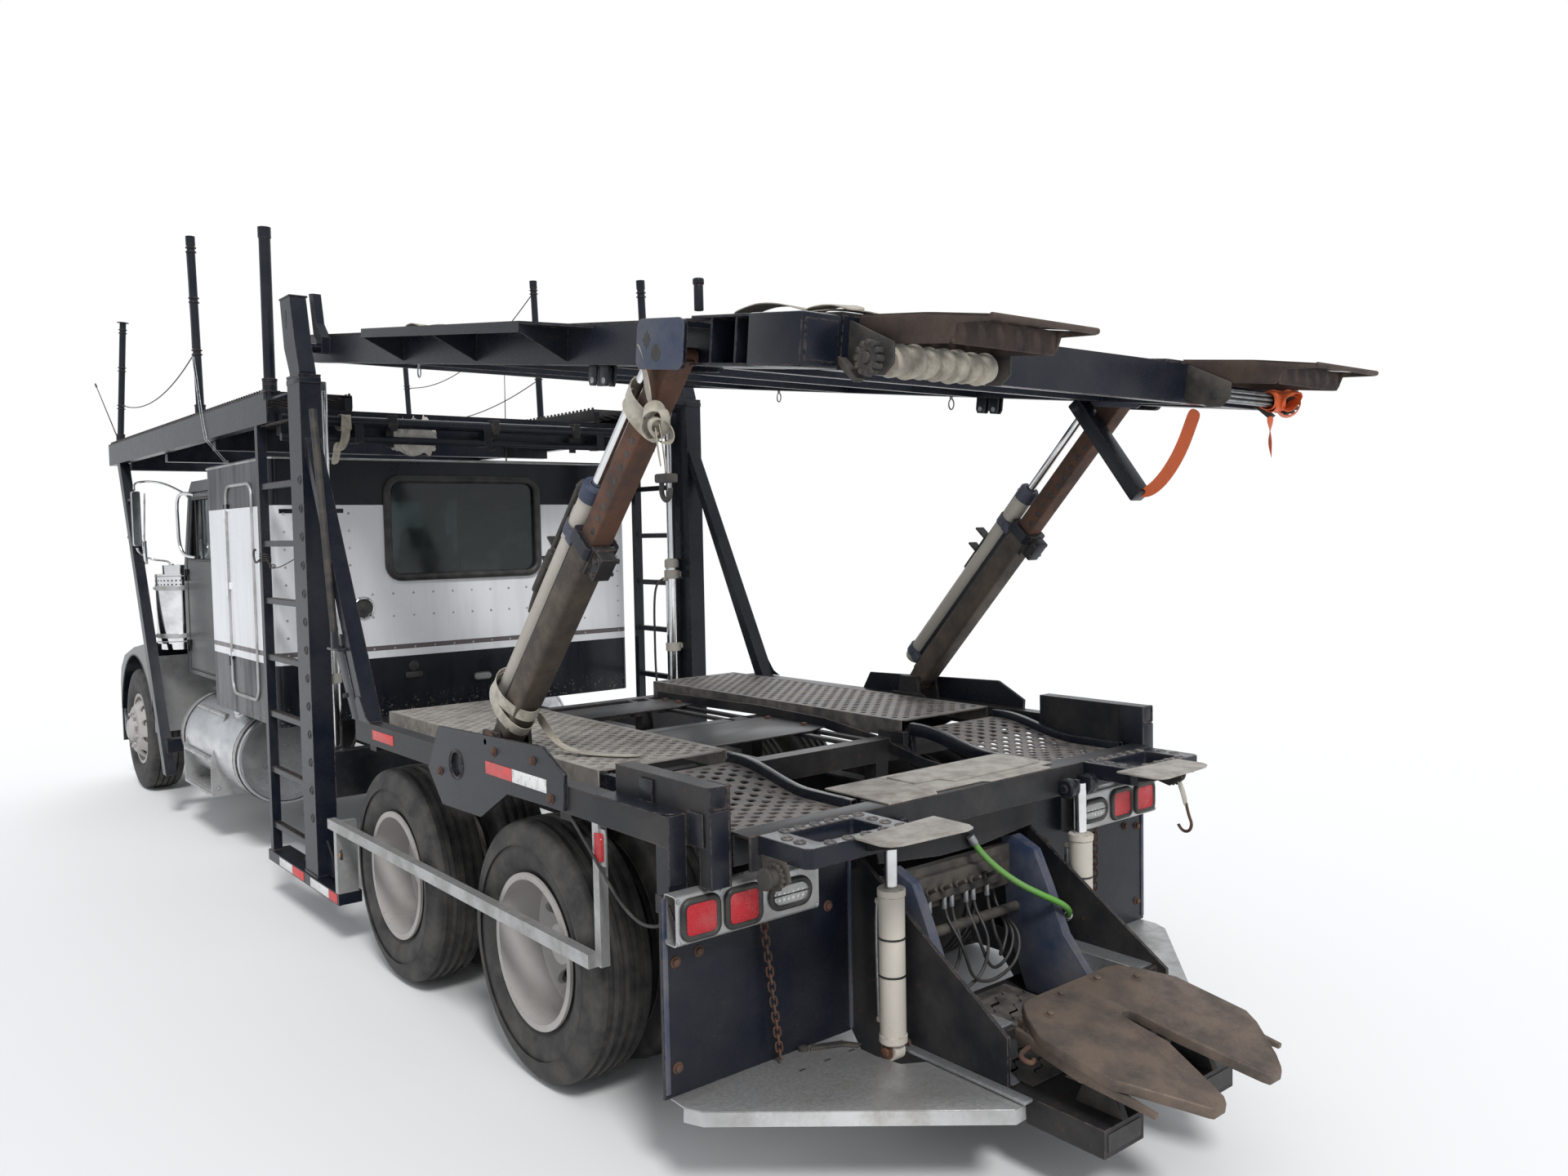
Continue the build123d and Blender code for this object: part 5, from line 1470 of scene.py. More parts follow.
@dataclass
class CabInside:
    """Padded seats, dashboard, steering wheel and bunk that show through the glass."""

    seat_x: float = 0.48
    padding: Padding = field(default_factory=Padding)

    def build(self, shop: Workshop) -> None:
        """Build the inside.

        Args:
            shop: the workshop.
        """
        self.seats(shop)
        self.dash(shop)
        self.wheel(shop)
        self.bunk(shop)

    def seats(self, shop: Workshop) -> None:
        """Cushions, backs and pedestals of both seats.

        Args:
            shop: the workshop.
        """
        x = self.seat_x
        seat = self.padding.swell(Bench.box((x - 0.236, 2.15, 1.466), (x + 0.236, 2.648, 1.562), 0.03), 0.012)
        self.padding.press(seat, (x - 0.12, x, x + 0.12), 1.52, 0.01)
        back = self.padding.swell(Bench.box((x - 0.226, 2.066, 1.59), (x + 0.226, 2.176, 2.192), 0.034),
            0.013)
        for vertex in back.data.vertices:
            taper = 1 - 0.22 * max(0.0, (vertex.co.z - 1.95) / 0.25)
            vertex.co.x = x + (vertex.co.x - x) * taper
            if vertex.co.y > 2.12:
                near = min(abs(vertex.co.z - line) for line in (1.72, 1.84, 1.96, 2.08))
                vertex.co.y -= 0.009 * self.padding.dent(near)
        for name, piece in (("seat_cushion", seat), ("seat_back", back)):
            twin = Bench.copy(piece, MIRROR)
            shop.dress(piece, f"{name}_right", "seat_cloth")
            shop.dress(twin, f"{name}_left", "seat_cloth")
        piping = [Bench.pipe([(x + px * 0.238, py, 1.516)
                    for px, py in ((-1, 2.17), (-1, 2.63), (-0.92, 2.652), (0.92, 2.652), (1, 2.63),
                        (1, 2.17), (0.92, 2.146), (-0.92, 2.146))], 0.004, True)]
        base = [Bench.box((x - 0.24, 2.14, 1.44), (x + 0.24, 2.655, 1.458), 0.008),
            Bench.lathe([(0, 0.15), (0.015, 0.15), (0.025, 0.12), (0.055, 0.105), (0.08, 0.122),
                    (0.105, 0.105), (0.13, 0.122), (0.155, 0.105), (0.18, 0.122), (0.205, 0.105),
                    (0.23, 0.122), (0.255, 0.108), (0.29, 0.13), (0.315, 0.13), (0.315, 0)],
                (x, 2.395, 1.126), (0, 0, 1), 32), Bench.box((x - 0.215, 2.052, 1.47),
                (x + 0.215, 2.064, 2.12), 0.006), Bench.rod((x - 0.252, 2.19, 1.5), (x - 0.252, 2.23, 1.5),
                0.026, 20, 0.004)]
        shop.pair(piping + base, "seat_bases", "trim_plastic", replaced=("cab_interior",))

    def dash(self, shop: Workshop) -> None:
        """Dashboard with its binnacle, gauges, vents and glovebox.

        Args:
            shop: the workshop.
        """
        body = Bench.side([(3.203, 1.505), (3.203, 1.826), (3.12, 1.828), (3.035, 1.818), (2.985, 1.795),
                (2.94, 1.74), (2.93, 1.715), (2.945, 1.64), (2.955, 1.56), (2.965, 1.51)], (-0.972, 0.972),
            0.014, 4)
        shop.dress(body, "dashboard", "trim_plastic")
        bits = [Bench.side([(3.06, 1.826), (2.96, 1.815), (2.905, 1.8), (2.9, 1.785), (2.925, 1.775),
                    (2.96, 1.76)], (-0.8, -0.16), 0.006, 3),
            Bench.box((0.2, 2.938, 1.56), (0.82, 2.952, 1.69), 0.006),
            Bench.box((-0.11, 2.928, 1.54), (0.13, 2.95, 1.72), 0.008)]
        for i in range(4):
            for row in range(2):
                bits.append(Bench.box((-0.085 + 0.05 * i, 2.918, 1.57 + 0.06 * row),
                        (-0.06 + 0.05 * i, 2.932, 1.6 + 0.06 * row), 0.003))
        for x in (-0.9, -0.14, 0.16, 0.88):
            bits += [Bench.box((x - 0.045, 2.922, 1.732 + 0.012 * i), (x + 0.045, 2.945, 1.738 + 0.012 * i),
                    0.002) for i in range(4)]
        shop.dress(Bench.join(bits), "dashboard_fittings", "black_rubber")
        rims = []
        for i in range(5):
            radius = 0.052 if i in (1, 2) else 0.034
            rims.append(Bench.lathe([(0, radius), (0.006, radius), (0.008, radius - 0.005),
                        (0.003, radius - 0.007), (0.002, 0)], (-0.7 + 0.115 * i, 2.932, 1.715), (0, -1, 0.12),
                    28))
        shop.dress(Bench.join(rims), "gauge_rims", "chrome")

    def wheel(self, shop: Workshop) -> None:
        """Steering wheel, spokes, hub, column and its stalk.

        Args:
            shop: the workshop.
        """
        place = Matrix.Translation((-0.48, 2.83, 1.71)) @ Matrix.Rotation(math.radians(62), 4, "X")
        rim = [(0.22 * math.cos(2 * math.pi * i / 32), 0.22 * math.sin(2 * math.pi * i / 32), 0)
            for i in range(32)]
        parts = [Bench.pipe(rim, 0.015, True, True, 5),
            Bench.lathe([(-0.015, 0.052), (0.008, 0.05), (0.016, 0.04), (0.019, 0.02), (0.019, 0)], (0, 0, 0),
                (0, 0, 1), 32)]
        for i in range(4):
            a = math.radians(45 + 90 * i)
            tip, root = Vector((math.cos(a), math.sin(a), 0)) * 0.214, Vector(
                (math.cos(a), math.sin(a), 0)) * 0.045
            wide = Vector((-math.sin(a), math.cos(a), 0)) * 0.015
            parts.append(Bench.plate([tuple(root - wide * 1.4), tuple(tip - wide), tuple(tip + wide),
                        tuple(root + wide * 1.4)], (0, 0, 0.006), 0.002))
        shop.dress(Bench.shift(Bench.join(parts), place), "steering_wheel", "black_rubber")
        column = [Bench.lathe([(0, 0.023), (0.1, 0.023), (0.11, 0.04), (0.3, 0.044), (0.31, 0.023)],
                (-0.48, 2.85, 1.69), (0, 1, -0.1), 28),
            Bench.pipe([(-0.5, 2.9, 1.69), (-0.56, 2.89, 1.7), (-0.62, 2.885, 1.712), (-0.645, 2.88, 1.716)],
                0.008)]
        shop.dress(Bench.join(column), "steering_column", "trim_plastic")

    def bunk(self, shop: Workshop) -> None:
        """Bunk base with lockers and its mattress.

        Args:
            shop: the workshop.
        """
        doors = [Bench.box((-1.158, 0.334, 1.042), (1.158, 0.61, 1.498), 0.01)]
        doors += [Bench.box((-1.1 + 0.56 * i, 0.608, 1.09), (-0.58 + 0.56 * i, 0.619, 1.45), 0.006)
            for i in range(4)]
        doors += [Bench.rod((-0.86 + 0.56 * i, 0.6185, 1.4), (-0.82 + 0.56 * i, 0.6185, 1.4), 0.0015, 8)
            for i in range(4)]
        shop.dress(Bench.join(doors), "bunk_base", "trim_plastic")
        coarse = Padding(voxel=0.028)
        mattress = coarse.swell(Bench.box((-1.138, 0.35, 1.512), (1.138, 0.985, 1.622), 0.03), 0.014)
        for vertex in mattress.data.vertices:
            if vertex.co.z > 1.6:
                near_x = abs(((vertex.co.x + 1.138) % 0.2845) - 0.14225)
                near_y = abs(((vertex.co.y - 0.35) % 0.2117) - 0.1058)
                vertex.co.z -= 0.012 * math.exp(-(near_x ** 2 + near_y ** 2) / 0.0006)
        shop.dress(mattress, "bunk_mattress", "mattress_cloth")


@dataclass
class CabDress:
    """Seals, handles, lamps, wipers, visor and mirrors of the cab."""

    half: float = 1.02

    def build(self, shop: Workshop) -> None:
        """Dress the cab.

        Args:
            shop: the workshop.
        """
        for side, sign in SIDES:
            self.door(shop, side, sign)
        self.screen(shop)
        self.roof(shop)
        self.mirrors(shop)

    def door(self, shop: Workshop, side: str, sign: int) -> None:
        """Window seal, vent bar, door gap, handle and grab loop of one door.

        Args:
            shop: the workshop.
            side: its side.
            sign: -1 on the left, 1 on the right.
        """
        body = f"cab_door_{side}"
        x = sign * (self.half + 0.001)
        ring = [(2.235, 1.965), (2.6, 1.962), (3.032, 1.965), (2.97, 2.18), (2.886, 2.425), (2.56, 2.428),
            (2.235, 2.425), (2.232, 2.2)]
        seal = Bench.pipe([(x, y, z) for y, z in ring], 0.011, True, False)
        bars = [seal, Bench.pipe([(x, 2.79, 1.968), (x, 2.79, 2.425)], 0.007, False, False)]
        edge = [(2.134, 1.124), (3.136, 1.124), (3.136, 1.955), (2.942, 2.466), (2.134, 2.466)]
        bars.append(Bench.pipe([(x - sign * 0.002, y, z) for y, z in edge], 0.0045, True, False))
        shop.dress(Bench.join(bars), f"cab_door_seals_{side}", "black_rubber", body)
        paddle = [Bench.box((min(x, x + sign * 0.022), 2.2, 1.7), (max(x, x + sign * 0.022), 2.33, 1.735),
                0.008), Bench.lathe([(0, 0.03), (0.006, 0.028), (0.008, 0)], (x, 2.265, 1.655), (sign, 0, 0),
                24)]
        loop = [(x - sign * 0.004, 2.88, 2.515), (x + sign * 0.04, 2.905, 2.53),
            (x + sign * 0.075, 2.985, 2.52), (x + sign * 0.08, 3.04, 2.45), (x + sign * 0.08, 3.03, 2.3),
            (x + sign * 0.08, 3.02, 2.16), (x + sign * 0.07, 2.985, 2.08), (x + sign * 0.04, 2.94, 2.045),
            (x - sign * 0.004, 2.915, 2.04)]
        paddle.append(Bench.pipe([(px, py - 0.02, pz - 0.055) for px, py, pz in loop], 0.0125))
        shop.dress(Bench.join(paddle), f"cab_door_brightwork_{side}", "chrome", body)

    def screen(self, shop: Workshop) -> None:
        """Seals round the two windscreens, the wipers and the sun visor.

        Args:
            shop: the workshop.
        """
        lean = Matrix.Translation((0, 3.25, 1.86)) @ Matrix.Rotation(math.atan2(0.24, 0.62), 4, "X")
        tall = math.hypot(0.24, 0.62)
        ring = Bench.rounded(0.028, 0.897, 0.054, tall - 0.064, 0.03, 4)
        seal = Bench.shift(Bench.pipe([(x, 0.004, z) for x, z in ring], 0.012, True, False), lean)
        shop.pair([seal], "windscreen_seals", "black_rubber")
        wiper = [Bench.pipe([(0.36, 0.01, 0.02), (0.42, 0.018, 0.12), (0.52, 0.018, 0.3)], 0.005, False,
                False), Bench.box((0.3, 0.004, 0.288), (0.74, 0.012, 0.3), 0.002, (0, -12, 0)),
            Bench.rod((0.36, -0.01, 0.02), (0.36, 0.018, 0.02), 0.014, 20, 0.003)]
        shop.pair([Bench.shift(Bench.join(wiper), lean)], "wipers", "black_rubber")
        visor = Bench.shift(Bench.side([(0.005, tall - 0.03), (0.12, tall - 0.085), (0.128, tall - 0.078),
                    (0.012, tall - 0.018)], (-0.93, 0.93), 0.002), lean)
        shop.dress(visor, "sun_visor", "dull_aluminium")

    def roof(self, shop: Workshop) -> None:
        """Marker lamps and horn on the cab's roof.

        Args:
            shop: the workshop.
        """
        spots = [(x, 2.86, 2.56) for x in (-0.84, -0.2, 0.0, 0.2, 0.84)]
        bases, domes = [], []
        for x, y, z in spots:
            bases.append(Bench.box((x - 0.045, y - 0.06, z - 0.002), (x + 0.045, y + 0.03, z + 0.008), 0.004))
            domes.append(Bench.lathe([(0, 0.03), (0.012, 0.029), (0.024, 0.022), (0.03, 0.01), (0.031, 0)],
                    (x, y, z + 0.006), (0, 0.25, 1), 24))
        horn = Bench.lathe([(0, 0.014), (0.2, 0.018), (0.34, 0.026), (0.4, 0.045), (0.43, 0.068),
                (0.432, 0.066), (0.4, 0.04), (0.34, 0.022), (0.3, 0)], (0.45, 2.32, 2.645), (0, 1, 0), 32)
        feet = [Bench.box((0.435, y - 0.012, 2.556), (0.465, y + 0.012, 2.64), 0.003) for y in (2.4, 2.62)]
        shop.dress(Bench.join(bases + [horn] + feet), "roof_brightwork", "chrome")
        shop.dress(Bench.join(domes), "roof_markers", "amber_lens")

    def mirrors(self, shop: Workshop) -> None:
        """Mirror heads, their glass, arms and stay.

        Args:
            shop: the workshop.
        """
        frame = [Bench.across(Bench.rounded(1.229, 1.2945, 2.076, 2.514, 0.016), (3.634, 3.676), 0.004)]
        shop.pair(frame, "mirror_heads", "chrome")
        glass = Bench.across(Bench.rounded(1.234, 1.2895, 2.084, 2.506, 0.012), (3.6325, 3.635), 0.0005, 1)
        shop.pair([glass], "mirror_glass", "mirror_glass")
        arms = [Bench.pipe([(1.262, 3.67, 2.525), (1.262, 3.7, 2.56), (1.225, 3.76, 2.59), (1.15, 3.78, 2.6),
                    (1.08, 3.7, 2.59), (1.045, 3.5, 2.555), (1.028, 3.25, 2.505), (1.019, 3.09, 2.47),
                    (1.012, 3.018, 2.455)], 0.009), Bench.pipe(
                [(1.262, 3.67, 2.065), (1.25, 3.69, 2.02), (1.2, 3.7, 1.99), (1.13, 3.69, 1.96),
                    (1.09, 3.6, 1.955), (1.062, 3.52, 1.946), (1.052, 3.5, 1.918)], 0.009),
            Bench.rod((1.02, 3.05, 2.466), (1.012, 3.019, 2.456), 0.019, 20, 0.003),
            Bench.rod((1.052, 3.5, 1.9195), (1.052, 3.5, 1.931), 0.021, 20, 0.003),
            Bench.rod((1.205, 3.69, 2.08), (1.185, 3.7, 2.5), 0.007, 16, 0.001),
            Bench.rod((1.2, 3.69, 1.93), (1.205, 3.692, 2.12), 0.019, 24, 0.004)]
        shop.pair(arms, "mirror_arms", "chrome")


@dataclass
class FrontDress:
    """Grille, lamps, bumper, hood and air cleaner details."""

    arch: float = 0.636

    def build(self, shop: Workshop) -> None:
        """Dress the front.

        Args:
            shop: the workshop.
        """
        self.grille(shop)
        self.hood(shop)
        self.lamps(shop)
        self.bumper(shop)
        self.cleaners(shop)

    def grille(self, shop: Workshop) -> None:
        """Bright surround, upright bars and the mesh behind them.

        Args:
            shop: the workshop.
        """
        outer = Bench.rounded(-0.392, 0.392, 0.82, 1.562, 0.06)
        inner = Bench.rounded(-0.348, 0.348, 0.864, 1.518, 0.04)
        parts = [Bench.shell([(x, 4.908, z) for x, z in outer], [(x, 4.908, z) for x, z in inner],
                (0, 0.036, 0))]
        bar = Bench.across([(-0.3155, 0.852), (-0.3085, 0.852), (-0.3085, 1.528), (-0.3155, 1.528)],
            (4.912, 4.936), 0.003)
        parts += Bench.row(bar, (0.048, 0, 0), 14)
        shop.dress(Bench.join(parts), "grille_dress", "chrome", Place.HOOD, replaced=("grille",))
        net = Bench.perforated((-0.35, 0.86), (0.35, 1.522), 0, (24, 22), 0.003, 0.003, 0.002, False)
        turn = Matrix.Translation((0, 4.905, 0)) @ Matrix.Rotation(math.radians(90), 4, "X")
        shop.dress(Bench.shift(net, turn), "grille_net", "cast_iron", Place.HOOD)

    def hood(self, shop: Workshop) -> None:
        """Centre seam, side louvres, latches and fender lips of the hood.

        Args:
            shop: the workshop.
        """
        seam = Bench.pipe([(0, 3.275, 1.8), (0, 4.0, 1.731), (0, 4.855, 1.643)], 0.006, False, False)
        rail = Bench.pipe([(-0.552, 3.268, 1.79), (0, 3.266, 1.806), (0.552, 3.268, 1.79)], 0.008, False,
            False)
        shop.dress(Bench.join([seam, rail]), "hood_seams", "chrome", Place.HOOD)
        slats, boxes = [], []
        for i in range(7):
            y = 3.62 + 0.06 * i
            x = 0.56 - (y - 3.262) * 0.0785 + 0.002
            slats.append(Bench.level([(x - 0.004, y), (x + 0.014, y + 0.01), (x + 0.014, y + 0.016),
                        (x - 0.004, y + 0.046)], (1.42, 1.62), 0.002))
        for z in (1.36, 1.68):
            boxes.append(Bench.box((0.538, 3.29, z - 0.012), (0.572, 3.4, z + 0.012), 0.006))
        shop.pair(slats, "hood_louvres", "dull_aluminium", Place.HOOD)
        shop.pair(boxes, "hood_latches", "black_rubber", Place.HOOD)
        lip = []
        for i in range(17):
            a = math.radians(14 + i * 9.5)
            lip.append((1.187, STEER_Y + self.arch * math.cos(a), AXLE_Z + self.arch * math.sin(a)))
        shop.pair([Bench.pipe(lip, 0.007, False, True)], "fender_lips", "black_rubber", Place.HOOD)

    def lamps(self, shop: Workshop) -> None:
        """Headlamp housings, round lamps and turn lamps.

        Args:
            shop: the workshop.
        """
        housing = [Bench.across(Bench.rounded(0.702, 1.088, 0.762, 0.928, 0.03), (4.932, 4.984), 0.004)]
        rims, lenses, turns = [], [], []
        for x in (0.795, 0.965):
            rims.append(Bench.lathe([(0, 0.078), (0.012, 0.078), (0.016, 0.072), (0.01, 0.066), (0, 0.064)],
                    (x, 4.982, 0.845), (0, 1, 0), 40, True))
            lenses.append(Bench.lathe([(0.002, 0.066), (0.01, 0.06), (0.017, 0.04), (0.021, 0.018),
                        (0.022, 0)], (x, 4.982, 0.845), (0, 1, 0), 40))
        turns.append(Bench.across(Bench.rounded(1.05, 1.08, 0.775, 0.915, 0.01), (4.982, 4.996), 0.004))
        shop.pair(housing + rims, "headlamp_housings", "chrome", Place.HOOD, replaced=("headlamps",))
        shop.pair(lenses, "headlamp_lenses", "clear_lens", Place.HOOD)
        shop.pair(turns, "turn_lamps", "amber_lens", Place.HOOD)

    def bumper(self, shop: Workshop) -> None:
        """Bolts, black plates of painted shade for the slots, and the blank plate of the bumper.

        Args:
            shop: the workshop.
        """
        parts = [Bench.bolts([(x, 5.1225, z) for x in (-0.92, -0.42, 0.42, 0.92) for z in (0.4, 0.57)],
                (0, 1, 0), 0.007)]
        shop.dress(Bench.join(parts), "bumper_bolts", "galvanised")
        # Black plates are painted shade where the bumper's slots open.
        slot_shades = [Bench.across(Bench.rounded(0.56, 0.76, 0.4, 0.47, 0.03), (5.128, 5.1292), 0)]
        shop.pair(slot_shades, "bumper_slot_shade", "black_rubber")
        blank = Bench.across(Bench.rounded(-0.15, 0.15, 0.385, 0.535, 0.01), (5.1275, 5.1296), 0.0005, 1)
        shop.dress(blank, "blank_plate", "dull_aluminium")

    def cleaners(self, shop: Workshop) -> None:
        """Bands, dark cones of painted shade for the perforated intake, and rain cap seams of the air
        cleaners.

        Args:
            shop: the workshop.
        """
        x, y = 1.0, 3.5
        bands = [Bench.lathe([(-0.018, 0.1755), (-0.016, 0.181), (0.016, 0.181), (0.018, 0.1755)], (x, y, z),
                (0, 0, 1), 56, True) for z in (1.36, 1.74)]
        bands += [Bench.lathe([(-0.004, 0.1752), (0, 0.179), (0.004, 0.1752)], (x, y, z), (0, 0, 1), 56, True)
            for z in (1.315, 1.835)]
        bands += [Bench.box((x + 0.176, y - 0.016, z - 0.01), (x + 0.192, y + 0.016, z + 0.01), 0.003)
            for z in (1.36, 1.74)]
        shop.pair(bands, "air_cleaner_bands", "dull_aluminium")
        # Black cones are painted shade where the intake's perforations open.
        slot_shades = []
        for i in range(36):
            a = 2 * math.pi * i / 36
            for z in (1.768, 1.8):
                centre = Vector((x + 0.1748 * math.cos(a), y + 0.1748 * math.sin(a), z))
                slot_shades.append(Bench.lathe([(0, 0.0075), (0.0012, 0)], centre, (math.cos(a), math.sin(a), 0),
                        8))
        shop.pair(slot_shades, "air_cleaner_hole_shade", "black_rubber")


@dataclass
class TankDress:
    """Tank ends, rubber-lined straps, caps and ribbed step treads."""

    x: float = 0.89
    z: float = 0.665

    def build(self, shop: Workshop) -> None:
        """Dress the tanks and the steps.

        Args:
            shop: the workshop.
        """
        ends = []
        for y, turn in ((1.2, -1), (2.75, 1)):
            ends.append(Bench.lathe([(-0.004, 0.311), (0.004, 0.309), (0.006, 0.296), (-0.002, 0.288),
                        (0.004, 0.2), (0.007, 0.1), (0.008, 0)], (self.x, y, self.z), (0, turn, 0), 56))
        ends.append(Bench.lathe([(0, 0.05), (0.02, 0.05), (0.026, 0.044), (0.05, 0.044), (0.056, 0.036),
                    (0.056, 0)], (self.x + 0.16, 1.62, self.z + 0.255), (0.45, 0, 1), 32))
        ends.append(Bench.rod((self.x + 0.02, 1.62, self.z + 0.3), (self.x + 0.02, 1.62, self.z + 0.32), 0.02,
                20, 0.003))
        shop.pair(ends, "tank_ends", "tank_aluminium")
        liners = []
        for y in (1.29, 2.66):
            for dy in (-0.034, 0.034):
                ring = [(self.x + 0.3135 * math.cos(2 * math.pi * i / 40), y + dy,
                        self.z + 0.3135 * math.sin(2 * math.pi * i / 40)) for i in range(40)]
                liners.append(Bench.pipe(ring, 0.0045, True, False))
        shop.pair(liners, "tank_strap_liners", "black_rubber")
        ribs = []
        for low, high, top in ((1.01, 1.215, 0.365), (1.155, 1.22, 0.605), (1.062, 1.118, 0.9)):
            count = max(3, int((high - low) / 0.018))
            for i in range(count):
                edge = low + (high - low) * (i + 0.5) / count
                ribs.append(Bench.across([(edge - 0.004, top - 0.001), (edge + 0.004, top - 0.001),
                            (edge + 0.0025, top + 0.005), (edge - 0.0025, top + 0.005)], (1.825, 2.545), 0))
        shop.pair(ribs, "step_ribs", "dull_aluminium")
        spots = [(1.18, y, z) for y in (1.799, 2.561) for z in (0.4, 0.56)] + [(1.1, y, 0.86)
            for y in (1.799, 2.561)]
        heads = [Bench.bolts([spot for spot in spots if spot[1] < 2], (0, -1, 0), 0.009),
            Bench.bolts([spot for spot in spots if spot[1] > 2], (0, 1, 0), 0.009)]
        shop.pair(heads, "step_bolts", "galvanised")


@dataclass
class SleeperDress:
    """Rubber seal, rivets, vent, latch, doors' trim and lamps of the sleeper."""

    rear_y: float = 0.29
    half: float = 1.2
    window: tuple[float, float, float, float] = (-0.5, 0.5, 1.87, 2.46)
    band: Flat = (1.42, 2.3)
    rivet_pitch: float = 0.105
    corner: float = 0.07

    def build(self, shop: Workshop) -> None:
        """Dress the sleeper.

        Args:
            shop: the workshop.
        """
        x0, x1, z0, z1 = self.window
        outline = Bench.rounded(x0 - 0.012, x1 + 0.012, z0 - 0.012, z1 + 0.012, self.corner + 0.012)
        seal = Bench.pipe([(x, self.rear_y - 0.006, z) for x, z in outline], 0.024, True, False)
        shop.dress(seal, "rear_window_seal", "black_rubber")
        for side, sign in SIDES:
            outline = Bench.rounded(0.656, 1.224, 1.126, 2.454, 0.084)
            trim = Bench.pipe([(sign * (self.half + 0.004), y, z) for y, z in outline], 0.01, True, False)
            shop.dress(trim, f"sleeper_door_trim_{side}", "dull_aluminium", f"sleeper_door_{side}")
        self.rivets(shop)
        self.vent(shop)

    def rivets(self, shop: Workshop) -> None:
        """Rows of rivets on the back wall.

        Args:
            shop: the workshop.
        """
        head = Bench.lathe([(0, 0.0075), (0.003, 0.0065), (0.0045, 0.003), (0.005, 0)], (0, 0, 0), (0, -1, 0),
            8)
        spots = []
        for column in (-1.13, -0.96, -0.86, -0.75, 0.75, 0.86, 1.13):
            z = self.band[0]
            while z < self.band[1]:
                spots.append((column, z))
                z += self.rivet_pitch
        for column in (-0.62, -0.49, -0.36, -0.23, -0.1, 0.03, 0.16, 0.29, 0.42, 0.55):
            spots += [(column, 1.42), (column, 1.62), (column, 1.76)]
        heads = Bench.scatter(head, [(x, self.rear_y, z) for x, z in spots])
        shop.dress(heads, "sleeper_rivets", "dull_aluminium", slot="sleeper_silver")

    def vent(self, shop: Workshop) -> None:
        """Round vent, latch bosses, oval lamp, corner stripes and drip rail.

        Args:
            shop: the workshop.
        """
        centre = (-0.68, self.rear_y, 1.68)
        bezel = Bench.lathe([(0, 0.072), (0.006, 0.07), (0.014, 0.062), (0.016, 0.056), (0.01, 0.052),
                (0, 0.05)], centre, (0, -1, 0), 40, True)
        shop.dress(bezel, "vent_bezel", "chrome")
        cup = Bench.lathe([(0.0, 0.052), (0.006, 0.05), (0.004, 0.03), (0.009, 0.014), (0.01, 0)], centre,
            (0, -1, 0), 32)
        shop.dress(cup, "vent_cup", "black_rubber")
        bosses = [Bench.lathe([(0, 0.034), (0.01, 0.032), (0.014, 0.024), (0.014, 0)], (x, self.rear_y, 1.3),
                (0, -1, 0), 28) for x in (-0.376, 0.5)]
        bosses += [Bench.across(Bench.rounded(x - 0.055, x + 0.055, 1.225, 1.262, 0.01), (0.278, 0.291),
                0.003) for x in (-0.376, 0.5)]
        shop.dress(Bench.join(bosses), "sleeper_latches", "black_rubber")
        bezel = Bench.across(Bench.rounded(0.02, 0.15, 1.165, 1.22, 0.027), (0.28, 0.291), 0.003)
        shop.dress(bezel, "oval_lamp_bezel", "black_rubber")
        lens = Bench.across(Bench.rounded(0.028, 0.142, 1.172, 1.213, 0.02), (0.274, 0.282), 0.003)
        shop.dress(lens, "oval_lamp_lens", "clear_lens")
        stripe = Bench.box((-1.155, 0.2885, 2.262), (-0.78, 0.2905, 2.288), 0.0005)
        shop.dress(stripe, "corner_stripe_dark", "cab_black")
        stripe = Bench.box((0.86, 0.2885, 2.432), (1.155, 0.2905, 2.466), 0.0005)
        shop.dress(stripe, "corner_stripe_pale", "wheel_paint")
        rail = Bench.pipe([(-1.196, 1.7, 2.588), (-1.196, 0.33, 2.588), (-1.18, 0.292, 2.588),
                (1.18, 0.292, 2.588), (1.196, 0.33, 2.588), (1.196, 1.7, 2.588)], 0.008, False, False)
        shop.dress(rail, "sleeper_drip_rail", "dull_aluminium")


